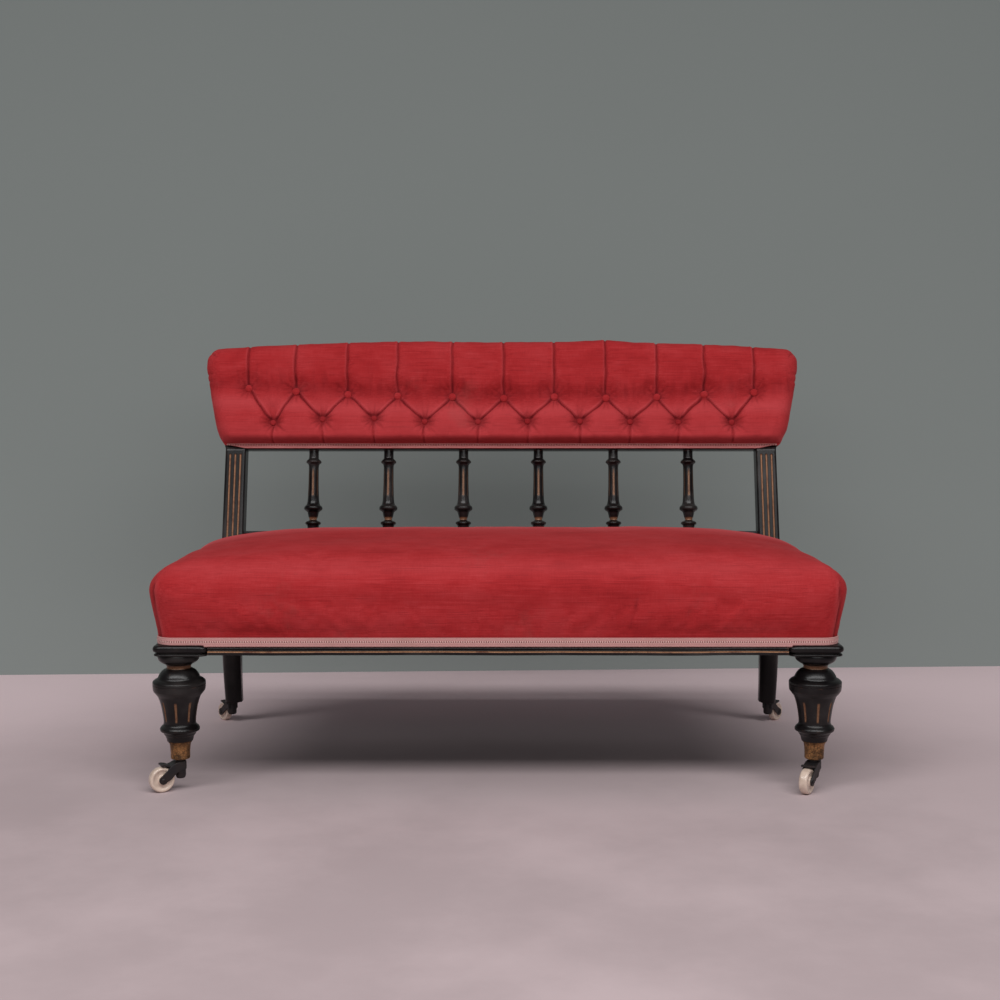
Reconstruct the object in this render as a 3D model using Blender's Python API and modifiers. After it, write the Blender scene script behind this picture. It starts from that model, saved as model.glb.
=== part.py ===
"""A button-back settee on casters: turned and sabre legs, a sprung seat and a buttoned back.

Metres, +Z up, front towards -Y. The origin is on the floor under the middle of the settee.
"""

import math

import bmesh
import bpy
import numpy as np
from mathutils import Matrix, Vector

# Overall places
LEG_SPACING = 1.100
FRONT_LEG_TO_MIDDLE = 0.2628
FIT_GAP = 0.0003
CUT_OVERRUN = 0.020

# Seat frame
RAIL_UNDERSIDE = 0.2470
RAIL_HEIGHT = 0.0530
RAIL_THICKNESS = 0.0260
BLOCK_SIDE = 0.0580
BLOCK_CORNER_CLEARANCE = 0.0030
CAP_SIDE = 0.0950
CAP_CORNER_RADIUS = 0.0120
CAP_BELOW_RAIL = 0.0050
CAP_HEIGHT = 0.0226
CAP_EDGE_ROUNDING = 0.0056
TENON_LENGTH = 0.0140
TENON_THICKNESS = 0.0100
TENON_HEIGHT = 0.0240
TENON_BELOW_RAIL_TOP = 0.0060
LIP_HEIGHT = 0.0132
LIP_PROJECTION = 0.0078
LIP_INNER_WIDTH = 0.0070
SIDE_RAIL_SETBACK = 0.0023
REAR_RAIL_SETBACK = 0.0074

# Front legs
LEG_BULB_RADIUS = 0.0454
LEG_SPIGOT_TOP_RADIUS = 0.0172
LEG_SPIGOT_END_RADIUS = 0.0142
LEG_STEPS = 18
LEG_FLUTES = 8
LEG_FLUTE_RADIUS = 0.0022
LEG_FLUTE_DEPTH = 0.0014

# Back posts
POST_REAR_OF_LEG_AXIS = 0.5095
PANEL_BASE_HEIGHT = 0.5650
RAKE = math.radians(11.0)
KNEE_HEIGHT = 0.3850
POST_SWEEP = 0.0452
POST_WIDTH_FOOT = 0.0340
POST_WIDTH_SEAT = 0.0400
POST_WIDTH_KNEE = 0.0415
POST_WIDTH_PANEL = 0.0400
POST_WIDTH_TOP = 0.0450
POST_INSET_FOOT = 0.0070
POST_INSET_SEAT = 0.0105
POST_INSET_KNEE = 0.0120
POST_INSET_PANEL = 0.0190
POST_DEPTH_FOOT = 0.0340
POST_DEPTH_SEAT = 0.0430
POST_BACK = 0.0200
POST_FRONT = 0.0180
POST_FLUTE_WIDTH = 0.0030
POST_FLUTE_SPACING = 0.0105
POST_FLUTE_DEPTH = 0.0015
POST_FLUTE_LENGTH = 0.1500
POST_FLUTE_BELOW_PANEL = 0.0080

# Back frame, measured in the raked plane
FRAME_FRONT = 0.0060
PANEL_HEIGHT = 0.2140
CREST_RISE = 0.0140
CREST_END_HEIGHT = 0.0260
CREST_BEYOND_FRAME = 0.0110
CREST_BEYOND_POST = 0.0010
MIDDLE_RAIL_HEIGHT = 0.0240
STAY_RAIL_ABOVE_SEAT = 0.0195
STAY_RAIL_HEIGHT = 0.0250
STAY_RAIL_THICKNESS = 0.0240
STAY_RAIL_BEAD_RADIUS = 0.0016
BACK_TENON_LENGTH = 0.0140
BACK_TENON_THICKNESS = 0.0090
BACK_TENON_HEIGHT = 0.0160

# Spindles
SPINDLE_COUNT = 6
SPINDLE_TO_POST = 0.1440
SPINDLE_RADIUS = 0.0183
SPINDLE_TENON_RADIUS = 0.0060
SPINDLE_TENON_LENGTH = 0.0100
SPINDLE_STEPS = 10

# Corner braces
BRACE_LEG = 0.0480
BRACE_HEIGHT = 0.0280
BRACE_BELOW_RAIL_TOP = 0.0060

# Casters
WHEEL_STEPS = 20
BOSS_STEPS = 10
FRONT_WHEEL_RADIUS = 0.0220
FRONT_WHEEL_WIDTH = 0.0160
FRONT_WHEEL_TO_BOSS = 0.0030
FRONT_CASTER_HEAD = 0.0112
REAR_WHEEL_RADIUS = 0.0185
REAR_WHEEL_WIDTH = 0.0140
REAR_WHEEL_TO_BOSS = 0.0015
REAR_CASTER_HEAD = 0.0075
AXLE_RADIUS = 0.0024
AXLE_HEAD_RADIUS = 0.0038
AXLE_HEAD_LENGTH = 0.0012
EAR_RADIUS = 0.0072
ARM_THICKNESS = 0.0030
WHEEL_SIDE_GAP = 0.0008
CROWN_CLEARANCE = 0.0022
CROWN_THICKNESS = 0.0032
BOSS_RADIUS = 0.0090
STEM_RADIUS = 0.0040
STEM_HEAD_RADIUS = 0.0062
STEM_HEAD_HEIGHT = 0.0030
STEM_POCKET_RADIUS = 0.0078
STEM_POCKET_DEPTH = 0.0072
SWIVEL_GAP = 0.0005
CUP_HEIGHT = 0.0316
CUP_WALL = 0.0016
CUP_FLOOR = 0.0030
FRONT_CROWN_DROP = 0.0030
REAR_CROWN_DROP = 0.0010
PLATE_RADIUS = 0.0150
PLATE_THICKNESS = 0.0025
CASTER_TURNS = {
    "front_left": math.radians(210.0),
    "front_right": math.radians(239.0),
    "rear_left": math.radians(131.0),
    "rear_right": math.radians(49.0),
}

# Seat upholstery
COVER_THICKNESS = 0.0020
COVER_GAP = 0.0016
COVER_ABOVE_LIP = 0.0008
SEAT_FRONT_CORNER_RADIUS = 0.0300
SEAT_CORNER_POINTS = 4
SEAT_LONG_POINTS = 6
SEAT_SHORT_POINTS = 4
SEAT_BULGE = 0.0175
SEAT_EDGE_HEIGHT = 0.1340
SEAT_CROWN = 0.0480
SEAT_REAR_DROP = 0.0320
SEAT_REAR_DROP_RUN = 0.1400
BULGE_FADE_RUN = 0.0700
BRAID_HEIGHT = 0.0185
BRAID_THICKNESS = 0.0016
WEB_THICKNESS = 0.0018
WEB_WIDTH = 0.0500
WEB_LONG_STRIPS = 3
WEB_CROSS_STRIPS = 7
WEB_END_MARGIN = 0.0310
WEB_FRONT_MARGIN = 0.0160
WEB_OUTER_STRIP_MARGIN = 0.0750
CLOTH_THICKNESS = 0.0012
CLOTH_MARGIN = 0.0016
SPRING_ROWS = 2
SPRING_COLUMNS = 3
SPRING_HEIGHT = 0.0960
SPRING_END_RADIUS = 0.0400
SPRING_WAIST_RADIUS = 0.0260
SPRING_WIRE_RADIUS = 0.0018
SPRING_CURLS = 3
SPRING_CURL_POINTS = 8
SPRING_LEAST_GAP = 0.0004
HESSIAN_THICKNESS = 0.0010
HESSIAN_SETBACK = 0.0040
HESSIAN_SLOPE_WIDTH = 0.0280
STUFFING_GAP = 0.0014

# Back upholstery, measured in the raked plane
PAD_SIDE_THICKNESS_BASE = 0.0040
PAD_SIDE_THICKNESS_TOP = 0.0106
PAD_TOP_THICKNESS = 0.0090
PAD_WIDEST_HEIGHT = 0.1650
PAD_UNDERSIDE = 0.0020
PAD_END_FALL_BEYOND_CREST = 0.0050
PAD_CORNER_RADIUS = 0.0300
PAD_PUFF = 0.0520
PAD_EDGE = 0.0170
PAD_ROLL = 0.0340
PAD_TUFT = 0.0235
TUFT_RADIUS = 0.0200
PLEAT_WIDTH = 0.0090
PLEAT_DEPTH = 0.0130
BUTTON_TO_PAD_END = 0.0921
BUTTONS_UPPER = 11
UPPER_ROW = 0.1080
LOWER_ROW = 0.0590
UPPER_ROW_END_RISE = 0.0140
BUTTON_RADIUS = 0.0088
BUTTON_HEIGHT = 0.0050
BUTTON_SIDES = 8
PAD_COLUMNS_PER_PITCH = 4
FIRST_STUFFING_THICKNESS = 0.0050
FIRST_STUFFING_MARGIN = 0.0120
OUTSIDE_BACK_THICKNESS = 0.0016
BACK_BRAID_HEIGHT = 0.0095
BACK_BRAID_SETBACK = 0.0040
RIM_BRAID_WIDTH = 0.0100

# Outlines as shares of the sizes that carry them
LEG_PROFILE_SHARES = [
    (1.000, 0.750), (0.955, 0.789), (0.929, 0.764), (0.906, 0.700), (0.861, 0.493),
    (0.839, 0.454), (0.816, 0.529), (0.771, 0.709), (0.726, 0.789), (0.700, 0.903),
    (0.680, 0.985), (0.655, 1.000), (0.568, 0.972), (0.545, 0.907), (0.510, 0.806),
    (0.465, 0.749), (0.407, 0.692), (0.317, 0.639), (0.227, 0.606), (0.200, 0.603),
    (0.180, 0.625), (0.160, 0.694), (0.140, 0.751), (0.115, 0.731), (0.070, 0.566),
    (0.040, 0.515), (0.000, 0.485),
]
FLUTE_SPAN_SHARES = (0.240, 0.455)
FLUTE_TURN_SHARE = 0.22
CAP_RING_SHARES = [
    (0.00, 0.60), (0.05, 0.35), (0.20, 0.35), (0.28, 1.00), (0.44, 0.15),
    (0.62, 0.00), (0.82, 0.15), (0.94, 0.55), (1.00, 1.05),
]
LIP_SHARES = [
    (1.00, 0.60), (0.93, 0.84), (0.84, 0.90), (0.76, 0.84), (0.70, 0.64),
    (0.54, 0.60), (0.46, 0.82), (0.38, 1.00), (0.12, 1.00), (0.00, 0.84),
]
SPINDLE_PROFILE_SHARES = [
    (1.000, 0.503), (0.870, 0.640), (0.840, 0.850), (0.815, 0.680), (0.795, 0.560),
    (0.700, 0.503), (0.430, 0.560), (0.345, 0.650), (0.310, 0.800), (0.262, 1.000),
    (0.216, 0.820), (0.172, 0.710), (0.121, 0.455), (0.077, 0.830), (0.060, 0.840),
    (0.036, 0.620), (0.000, 0.560),
]
BOSS_PROFILE_SHARES = [(1.00, 0.82), (0.95, 1.00), (0.20, 1.00), (0.06, 0.82), (0.00, 0.50)]
WHEEL_PROFILE_SHARES = [(0.34, 1.00), (0.40, 0.74), (0.80, 0.92), (1.00, 0.50)]
ARM_SHARES = [(-0.12, 0.94), (0.30, 0.94), (0.56, 0.80), (0.80, 0.52)]
EAR_ARC = (math.radians(40.0), math.radians(-150.0))
ARM_BACK_SHARES = [(0.60, 0.00), (0.36, 0.28), (0.12, 0.46), (-0.12, 0.50)]
CROWN_SHARES = [(0.10, 1.00), (-0.22, 1.00), (-0.22, 0.56), (0.00, 0.30)]
VISOR_OUTER_ARC = (math.radians(85.0), math.radians(118.0))
VISOR_INNER_ARC = (math.radians(150.0), math.radians(85.0))
BRAID_TOP_SHARE = 0.14
SEAT_SIDE_SHARES = [
    (0.00, 0.00), (BRAID_TOP_SHARE, 0.05), (0.33, 0.50), (0.52, 0.88),
    (0.67, 1.00), (0.80, 0.86), (0.90, 0.42), (1.00, -0.50),
]
SEAT_TOP_SHARES = [(0.12, 0.27), (0.24, 0.50), (0.44, 0.75), (0.68, 0.91), (0.92, 0.99)]
STUFFING_START_SHARES = (0.36, 0.56)
SIDE_FADE_SHARE = 0.25
PAD_WIDTH_CURVE_SHARE = 0.6
PAD_LOWER_ROW_SHARES = [0.12, 0.45, 1.0]
PAD_BETWEEN_ROW_SHARES = [0.5, 1.0]
PAD_UPPER_ROW_SHARES = [0.25, 0.50, 0.74, 0.91, 1.0]
PAD_EDGE_COLUMN_SHARES = [0.36, 0.68, 0.90, 1.0]
POST_FLARE_SHARE = 0.7

# Places worked out from the sizes above
LEG_Y = -FRONT_LEG_TO_MIDDLE
LEG_X = LEG_SPACING / 2
FRAME_OUTER_X = LEG_X + BLOCK_SIDE / 2
FRAME_OUTER_Y = LEG_Y - BLOCK_SIDE / 2
PANEL_Y = LEG_Y + POST_REAR_OF_LEG_AXIS
RAIL_TOP = RAIL_UNDERSIDE + RAIL_HEIGHT
CAP_UNDERSIDE = RAIL_UNDERSIDE - CAP_BELOW_RAIL
CAP_TOP = CAP_UNDERSIDE + CAP_HEIGHT
LIP_TOP = CAP_UNDERSIDE + LIP_HEIGHT
BLOCK_CORNER_RADIUS = SEAT_FRONT_CORNER_RADIUS - BLOCK_CORNER_CLEARANCE
CUP_UNDERSIDE = 2 * FRONT_WHEEL_RADIUS + FRONT_CASTER_HEAD
LEG_SHOULDER = CUP_UNDERSIDE + CUP_HEIGHT
LEG_SPIGOT_END = CUP_UNDERSIDE + CUP_FLOOR + FIT_GAP
POST_FOOT_HEIGHT = 2 * REAR_WHEEL_RADIUS + REAR_CASTER_HEAD
FRONT_TRAIL = FRONT_WHEEL_RADIUS + BOSS_RADIUS + FRONT_WHEEL_TO_BOSS
REAR_TRAIL = REAR_WHEEL_RADIUS + BOSS_RADIUS + REAR_WHEEL_TO_BOSS
POST_OUTER_FOOT = FRAME_OUTER_X - POST_INSET_FOOT
POST_OUTER_SEAT = FRAME_OUTER_X - POST_INSET_SEAT
POST_OUTER_KNEE = FRAME_OUTER_X - POST_INSET_KNEE
POST_OUTER_PANEL = FRAME_OUTER_X - POST_INSET_PANEL
CREST_HALF_LENGTH = FRAME_OUTER_X + CREST_BEYOND_FRAME
POST_OUTER_TOP = CREST_HALF_LENGTH - CREST_BEYOND_POST
SIDE_RAIL_OUTER_AT_POST = POST_OUTER_SEAT - SIDE_RAIL_SETBACK
UPPER_POST_LENGTH = PANEL_HEIGHT - CREST_RISE - CREST_END_HEIGHT
COVER_UNDERSIDE = LIP_TOP + COVER_ABOVE_LIP
STAY_RAIL_UNDERSIDE = COVER_UNDERSIDE + SEAT_EDGE_HEIGHT - SEAT_REAR_DROP + STAY_RAIL_ABOVE_SEAT
SPINDLE_LENGTH = (PANEL_BASE_HEIGHT - STAY_RAIL_UNDERSIDE) / math.cos(RAKE) - STAY_RAIL_HEIGHT
SPINDLE_ROW_REACH = POST_OUTER_KNEE - POST_WIDTH_KNEE - SPINDLE_TO_POST
SPINDLE_PITCH = 2 * SPINDLE_ROW_REACH / (SPINDLE_COUNT - 1)
WEB_HALF_LENGTH = FRAME_OUTER_X - WEB_END_MARGIN
PAD_HALF_WIDTH_BASE = POST_OUTER_PANEL + PAD_SIDE_THICKNESS_BASE
PAD_HALF_WIDTH_TOP = CREST_HALF_LENGTH + PAD_SIDE_THICKNESS_TOP
PAD_TOP = PANEL_HEIGHT + PAD_TOP_THICKNESS
PAD_END_FALL = CREST_RISE + PAD_END_FALL_BEYOND_CREST
BUTTON_ROW_REACH = PAD_HALF_WIDTH_TOP - BUTTON_TO_PAD_END
BUTTON_PITCH = 2 * BUTTON_ROW_REACH / (BUTTONS_UPPER - 1)


def clear_scene():
    """Empties the scene so that only the settee is left in it."""
    for obj in list(bpy.data.objects):
        bpy.data.objects.remove(obj, do_unlink=True)


def make_collection(name):
    """Adds a collection to the scene."""
    made = bpy.data.collections.new(name)
    bpy.context.scene.collection.children.link(made)
    return made


def make_material(name, colour, roughness, metallic=0.0):
    """A Principled material in the part's own colour."""
    made = bpy.data.materials.new(name)
    made.use_nodes = True
    shader = made.node_tree.nodes["Principled BSDF"]
    shader.inputs["Base Color"].default_value = (*colour, 1.0)
    shader.inputs["Roughness"].default_value = roughness
    shader.inputs["Metallic"].default_value = metallic
    made.diffuse_color = (*colour, 1.0)
    return made


clear_scene()
PIECES = make_collection("button_back_settee")
TOOLS = make_collection("cutters")
EBONISED = make_material("ebonised_wood", (0.022, 0.018, 0.018), 0.35)
BEECH = make_material("beech", (0.42, 0.27, 0.15), 0.6)
VELVET = make_material("red_velvet", (0.50, 0.030, 0.045), 0.9)
GIMP = make_material("gimp_braid", (0.55, 0.27, 0.26), 0.85)
JUTE = make_material("jute", (0.42, 0.32, 0.19), 0.95)
HAIR = make_material("hair_stuffing", (0.12, 0.08, 0.06), 1.0)
BLACK_CLOTH = make_material("black_cloth", (0.03, 0.03, 0.03), 0.95)
SPRING_STEEL = make_material("spring_steel", (0.30, 0.22, 0.16), 0.45, 1.0)
BRASS = make_material("brass", (0.45, 0.31, 0.12), 0.45, 1.0)
IRON = make_material("black_iron", (0.05, 0.045, 0.045), 0.5, 0.8)
PORCELAIN = make_material("porcelain", (0.80, 0.76, 0.70), 0.2)


def place(name, data, material=None, parent=None, location=(0, 0, 0), rotation=(0, 0, 0)):
    """Puts mesh or curve data in the scene, as a piece with a material or else as a hidden tool."""
    obj = bpy.data.objects.new(name, data)
    obj.location = location
    obj.rotation_euler = rotation
    obj.parent = parent
    if material is None:
        TOOLS.objects.link(obj)
        obj.hide_render = True
        obj.display_type = "WIRE"
    else:
        PIECES.objects.link(obj)
        data.materials.append(material)
    return obj


def make_empty(name, location, rotation=(0, 0, 0), parent=None):
    """An empty that carries pieces in its own turned frame."""
    obj = bpy.data.objects.new(name, None)
    obj.location = location
    obj.rotation_euler = rotation
    obj.parent = parent
    PIECES.objects.link(obj)
    return obj


def finish_mesh(name, shape):
    """Turns a bmesh into a mesh whose faces point outwards."""
    bmesh.ops.recalc_face_normals(shape, faces=shape.faces)
    mesh = bpy.data.meshes.new(name)
    shape.to_mesh(mesh)
    shape.free()
    return mesh


def box_mesh(name, low, high):
    """A box between two corners."""
    low, high = np.array(low, float), np.array(high, float)
    shape = bmesh.new()
    bmesh.ops.create_cube(shape, size=1.0)
    place_matrix = Matrix.Translation((low + high) / 2) @ Matrix.Diagonal((*(high - low), 1.0))
    bmesh.ops.transform(shape, matrix=place_matrix, verts=shape.verts)
    return finish_mesh(name, shape)


def loft_mesh(name, rings, closed=True):
    """A skin over rings of equally many points, with flat ends where closed."""
    rings = np.array(rings, float)
    count, around = rings.shape[:2]
    shape = bmesh.new()
    verts = [[shape.verts.new(point) for point in ring] for ring in rings]
    for low, high in zip(verts, verts[1:]):
        for k in range(around):
            after = (k + 1) % around
            shape.faces.new((low[k], low[after], high[after], high[k]))
    shape.faces.new(verts[-1])
    if closed:
        shape.faces.new(verts[0])
    return finish_mesh(name, shape)


def outline_mesh(name, outlines, thickness):
    """A flat shape, with holes where an outline lies inside another, centred on its own plane."""
    curve = bpy.data.curves.new(name, "CURVE")
    curve.dimensions = "2D"
    curve.fill_mode = "BOTH"
    curve.extrude = thickness / 2
    for outline in outlines:
        spline = curve.splines.new("POLY")
        spline.points.add(len(outline) - 1)
        for point, (x, y) in zip(spline.points, outline):
            point.co = (x, y, 0, 1)
        spline.use_cyclic_u = True
    holder = bpy.data.objects.new(name, curve)
    TOOLS.objects.link(holder)
    graph = bpy.context.evaluated_depsgraph_get()
    mesh = bpy.data.meshes.new_from_object(holder.evaluated_get(graph))
    bpy.data.objects.remove(holder)
    shape = bmesh.new()
    shape.from_mesh(mesh)
    bmesh.ops.remove_doubles(shape, verts=shape.verts, dist=FIT_GAP / 10)
    return finish_mesh(name, shape)


def turned_mesh(name, profile, start_angle=0.0):
    """The edges of a turned profile, given as (radius, height) from top to bottom."""
    points = [(r * math.cos(start_angle), r * math.sin(start_angle), z) for r, z in profile]
    mesh = bpy.data.meshes.new(name)
    mesh.from_pydata(points, [(i, i + 1) for i in range(len(points) - 1)], [])
    return mesh


def turn(obj, steps):
    """Turns the profile of an object about its own Z."""
    screw = obj.modifiers.new("turn", "SCREW")
    screw.axis = "Z"
    screw.steps = steps
    screw.render_steps = steps
    screw.use_merge_vertices = True
    screw.merge_threshold = FIT_GAP / 10
    screw.use_smooth_shade = True


def combine(obj, other, operation):
    """Adds a Boolean of another object."""
    boolean = obj.modifiers.new(operation.lower(), "BOOLEAN")
    boolean.operation = operation
    boolean.object = other
    boolean.solver = "EXACT"


def cut(obj, *others):
    """Cuts tools out of a piece."""
    for other in others:
        combine(obj, other, "DIFFERENCE")


def join(obj, *others):
    """Joins shapes to a piece."""
    for other in others:
        combine(obj, other, "UNION")


def grown(low, high, by):
    """The corners of a box moved out on every side."""
    return np.array(low, float) - by, np.array(high, float) + by


def rounded_rectangle(low, high, radius, corner_points, long_points=0, short_points=0):
    """Points around a rectangle with round corners, anticlockwise from its right front corner."""
    (x0, y0), (x1, y1) = low, high
    radius = min(radius, (x1 - x0) / 2, (y1 - y0) / 2)
    centres = [(x1 - radius, y0 + radius), (x1 - radius, y1 - radius),
               (x0 + radius, y1 - radius), (x0 + radius, y0 + radius)]
    corners = []
    for quarter, centre in enumerate(centres):
        angles = (np.linspace(0, 1, corner_points) + quarter - 1) * math.pi / 2
        corners.append(np.array(centre) + radius * np.stack([np.cos(angles), np.sin(angles)], 1))
    points = []
    for quarter, arc in enumerate(corners):
        ahead = corners[(quarter + 1) % 4][0]
        between = short_points if quarter % 2 == 0 else long_points
        shares = np.linspace(0, 1, between + 2)[1:-1, None]
        points += [arc, arc[-1] + (ahead - arc[-1]) * shares]
    return np.concatenate(points)


def smooth_step(t):
    """Goes from 0 to 1 with flat ends."""
    t = np.clip(t, 0, 1)
    return t * t * (3 - 2 * t)


# The back posts
def post_centre(z):
    """Where the post's middle line lies at a height: a raked line over the knee, a sweep under it."""
    knee_y = PANEL_Y + math.tan(RAKE) * (KNEE_HEIGHT - PANEL_BASE_HEIGHT)
    if z >= KNEE_HEIGHT:
        return PANEL_Y + math.tan(RAKE) * (z - PANEL_BASE_HEIGHT)
    fall = KNEE_HEIGHT - POST_FOOT_HEIGHT
    bend = (POST_SWEEP + math.tan(RAKE) * fall) / fall**2
    below = KNEE_HEIGHT - z
    return knee_y - math.tan(RAKE) * below + bend * below**2


def post_edges(z):
    """The post's outer and inner x at a height under the panel."""
    heights = [POST_FOOT_HEIGHT, RAIL_UNDERSIDE, KNEE_HEIGHT, PANEL_BASE_HEIGHT]
    outer = np.interp(z, heights, [POST_OUTER_FOOT, POST_OUTER_SEAT, POST_OUTER_KNEE, POST_OUTER_PANEL])
    width = np.interp(z, heights, [POST_WIDTH_FOOT, POST_WIDTH_SEAT, POST_WIDTH_KNEE, POST_WIDTH_PANEL])
    return outer, outer - width


def post_depths(z):
    """How far the post reaches to the front and to the back of its middle line at a height."""
    heights = [POST_FOOT_HEIGHT, RAIL_UNDERSIDE, RAIL_TOP, KNEE_HEIGHT]
    half_foot, half_seat = POST_DEPTH_FOOT / 2, POST_DEPTH_SEAT / 2
    front = np.interp(z, heights, [half_foot, half_seat, half_seat, POST_FRONT])
    back = np.interp(z, heights, [half_foot, half_seat, half_seat, POST_BACK])
    return front, back


def panel_edges(u):
    """The post's outer and inner x in the raked plane, u up from the panel's base."""
    share = max(u, 0) / UPPER_POST_LENGTH
    outer = POST_OUTER_PANEL + (POST_OUTER_TOP - POST_OUTER_PANEL) * share**POST_FLARE_SHARE
    width = POST_WIDTH_PANEL + (POST_WIDTH_TOP - POST_WIDTH_PANEL) * share
    return outer, outer - width


def height_in_plane(u):
    """World height of a point of the raked plane's middle line."""
    return PANEL_BASE_HEIGHT + u * math.cos(RAKE)


def post_section(side, centre, tilt, edges, depths):
    """Four corners of the post's section, turned with the rake."""
    front, back = depths
    ahead = np.array([0, -math.cos(tilt), math.sin(tilt)])
    corners = []
    for x, along in ((edges[0], -back), (edges[0], front), (edges[1], front), (edges[1], -back)):
        corners.append(np.array(centre) + ahead * along + np.array([side * x, 0, 0]))
    return corners


def post_rings(side, grow=None):
    """Sections from the foot to the top of a post, or of the space that it needs where grow is set."""
    lower = list(np.linspace(POST_FOOT_HEIGHT, RAIL_UNDERSIDE, 7))
    lower += [RAIL_TOP, (RAIL_TOP + KNEE_HEIGHT) / 2, KNEE_HEIGHT, PANEL_BASE_HEIGHT]
    rings = []
    for z in lower:
        tilt = RAKE * smooth_step((z - RAIL_TOP) / (KNEE_HEIGHT - RAIL_TOP))
        edges, depths = post_edges(z), post_depths(z)
        if grow is not None:
            edges = (edges[0] + CAP_SIDE, edges[1] - grow)
            depths = (depths[0] + grow, depths[1] + CAP_SIDE)
        rings.append(post_section(side, (0, post_centre(z), z), tilt, edges, depths))
    if grow is not None:
        return rings
    slope = POST_FRONT - FRAME_FRONT
    for u in [slope / 4] + list(np.linspace(0, UPPER_POST_LENGTH, 7)[1:]):
        centre = (0, PANEL_Y + u * math.sin(RAKE), height_in_plane(u))
        top = u - (FIT_GAP if u == UPPER_POST_LENGTH else 0)
        centre = (0, PANEL_Y + top * math.sin(RAKE), height_in_plane(top))
        rings.append(post_section(side, centre, RAKE, panel_edges(u), (FRAME_FRONT, POST_BACK)))
    return rings


def plane_box(name, low, high, parent, material=None):
    """A box in the raked plane, given as (x, forward, up) corners."""
    corner_a = (low[0], -high[1], low[2])
    corner_b = (high[0], -low[1], high[2])
    return place(name, box_mesh(name, corner_a, corner_b), material, parent)


def plane_plate(name, outlines, back, front, parent, material=None):
    """A flat piece of the raked plane, outlined as (x, up), between two depths measured forward."""
    mesh = outline_mesh(name, outlines, front - back)
    return place(name, mesh, material, parent, (0, -(back + front) / 2, 0), (math.pi / 2, 0, 0))


def rod_mesh(name, ends, radius, sides):
    """Round rods between pairs of points, in one mesh."""
    shape = bmesh.new()
    for start, end in ends:
        start, end = Vector(start), Vector(end)
        turned = (end - start).to_track_quat("Z", "Y").to_matrix().to_4x4()
        bmesh.ops.create_cone(
            shape, cap_ends=True, segments=sides, radius1=radius, radius2=radius,
            depth=(end - start).length, matrix=Matrix.Translation((start + end) / 2) @ turned,
        )
    return finish_mesh(name, shape)


def bore_radius(pin_radius, sides):
    """Corner radius of a many-sided bore whose flats clear a pin by the fitting gap."""
    return (pin_radius + FIT_GAP) / math.cos(math.pi / sides)


def band_mesh(name, outer, inner, low, high):
    """An upright band between two closed plans with equally many points."""
    rings = []
    for (ox, oy), (ix, iy) in zip(outer, inner):
        rings.append([(ox, oy, low), (ox, oy, high), (ix, iy, high), (ix, iy, low)])
    shape = bmesh.new()
    verts = [[shape.verts.new(point) for point in ring] for ring in rings]
    for k, ring in enumerate(verts):
        after = verts[(k + 1) % len(verts)]
        for c in range(4):
            d = (c + 1) % 4
            shape.faces.new((ring[c], ring[d], after[d], after[c]))
    return finish_mesh(name, shape)


def close_profile(mesh):
    """Joins the last point of a profile to its first, for a turned ring with a bore."""
    count = len(mesh.vertices)
    points = [tuple(vertex.co) for vertex in mesh.vertices]
    mesh.clear_geometry()
    mesh.from_pydata(points, [(i, (i + 1) % count) for i in range(count)], [])
    return mesh


# Front legs
def cap_rings():
    """Sections of the square moulded cap at a front leg's head."""
    rings = []
    for height_share, inset_share in CAP_RING_SHARES:
        half = CAP_SIDE / 2 - inset_share * CAP_EDGE_ROUNDING
        z = CAP_UNDERSIDE + height_share * CAP_HEIGHT
        ring = rounded_rectangle((-half, -half), (half, half), CAP_CORNER_RADIUS, 3)
        rings.append([(x, y, z) for x, y in ring])
    return rings


def cap_space(name, side):
    """The room that a cap needs in the pieces fitted over it."""
    half = CAP_SIDE / 2 + FIT_GAP
    ring = rounded_rectangle((-half, -half), (half, half), CAP_CORNER_RADIUS, 3)
    rings = [[(x, y, z) for x, y in ring] for z in (CAP_UNDERSIDE - CUT_OVERRUN, CAP_TOP + FIT_GAP)]
    return place(name, loft_mesh(name, rings), location=(side * LEG_X, LEG_Y, 0))


def tenon_heights():
    """Underside and top of the seat rails' tenons."""
    top = RAIL_TOP - TENON_BELOW_RAIL_TOP
    return top - TENON_HEIGHT, top


def front_tenon(side, overlap):
    """Corners of the front rail's tenon in a leg's block."""
    low, high = tenon_heights()
    middle = FRAME_OUTER_Y + RAIL_THICKNESS / 2
    inner = LEG_X - BLOCK_SIDE / 2
    xs = sorted((side * (inner - overlap), side * (inner + TENON_LENGTH)))
    return (xs[0], middle - TENON_THICKNESS / 2, low), (xs[1], middle + TENON_THICKNESS / 2, high)


def side_front_tenon(side, overlap):
    """Corners of a side rail's tenon in a leg's block."""
    low, high = tenon_heights()
    middle = side * (FRAME_OUTER_X - RAIL_THICKNESS / 2)
    rear = LEG_Y + BLOCK_SIDE / 2
    half = TENON_THICKNESS / 2
    return (middle - half, rear - TENON_LENGTH, low), (middle + half, rear + overlap, high)


def post_front_face():
    """How far forward a back post reaches beside the seat rails."""
    return post_centre(RAIL_TOP) - post_depths(RAIL_TOP)[0]


def side_rear_tenon(side, overlap):
    """Corners of a side rail's tenon in a back post."""
    low, high = tenon_heights()
    middle = side * (SIDE_RAIL_OUTER_AT_POST - RAIL_THICKNESS / 2)
    half = TENON_THICKNESS / 2
    front = post_front_face()
    return (middle - half, front - overlap, low), (middle + half, front + TENON_LENGTH, high)


def rear_rail_faces():
    """Front and rear faces of the rear rail."""
    rear = post_centre(RAIL_TOP) + post_depths(RAIL_TOP)[1] - REAR_RAIL_SETBACK
    return rear - RAIL_THICKNESS, rear


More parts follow.
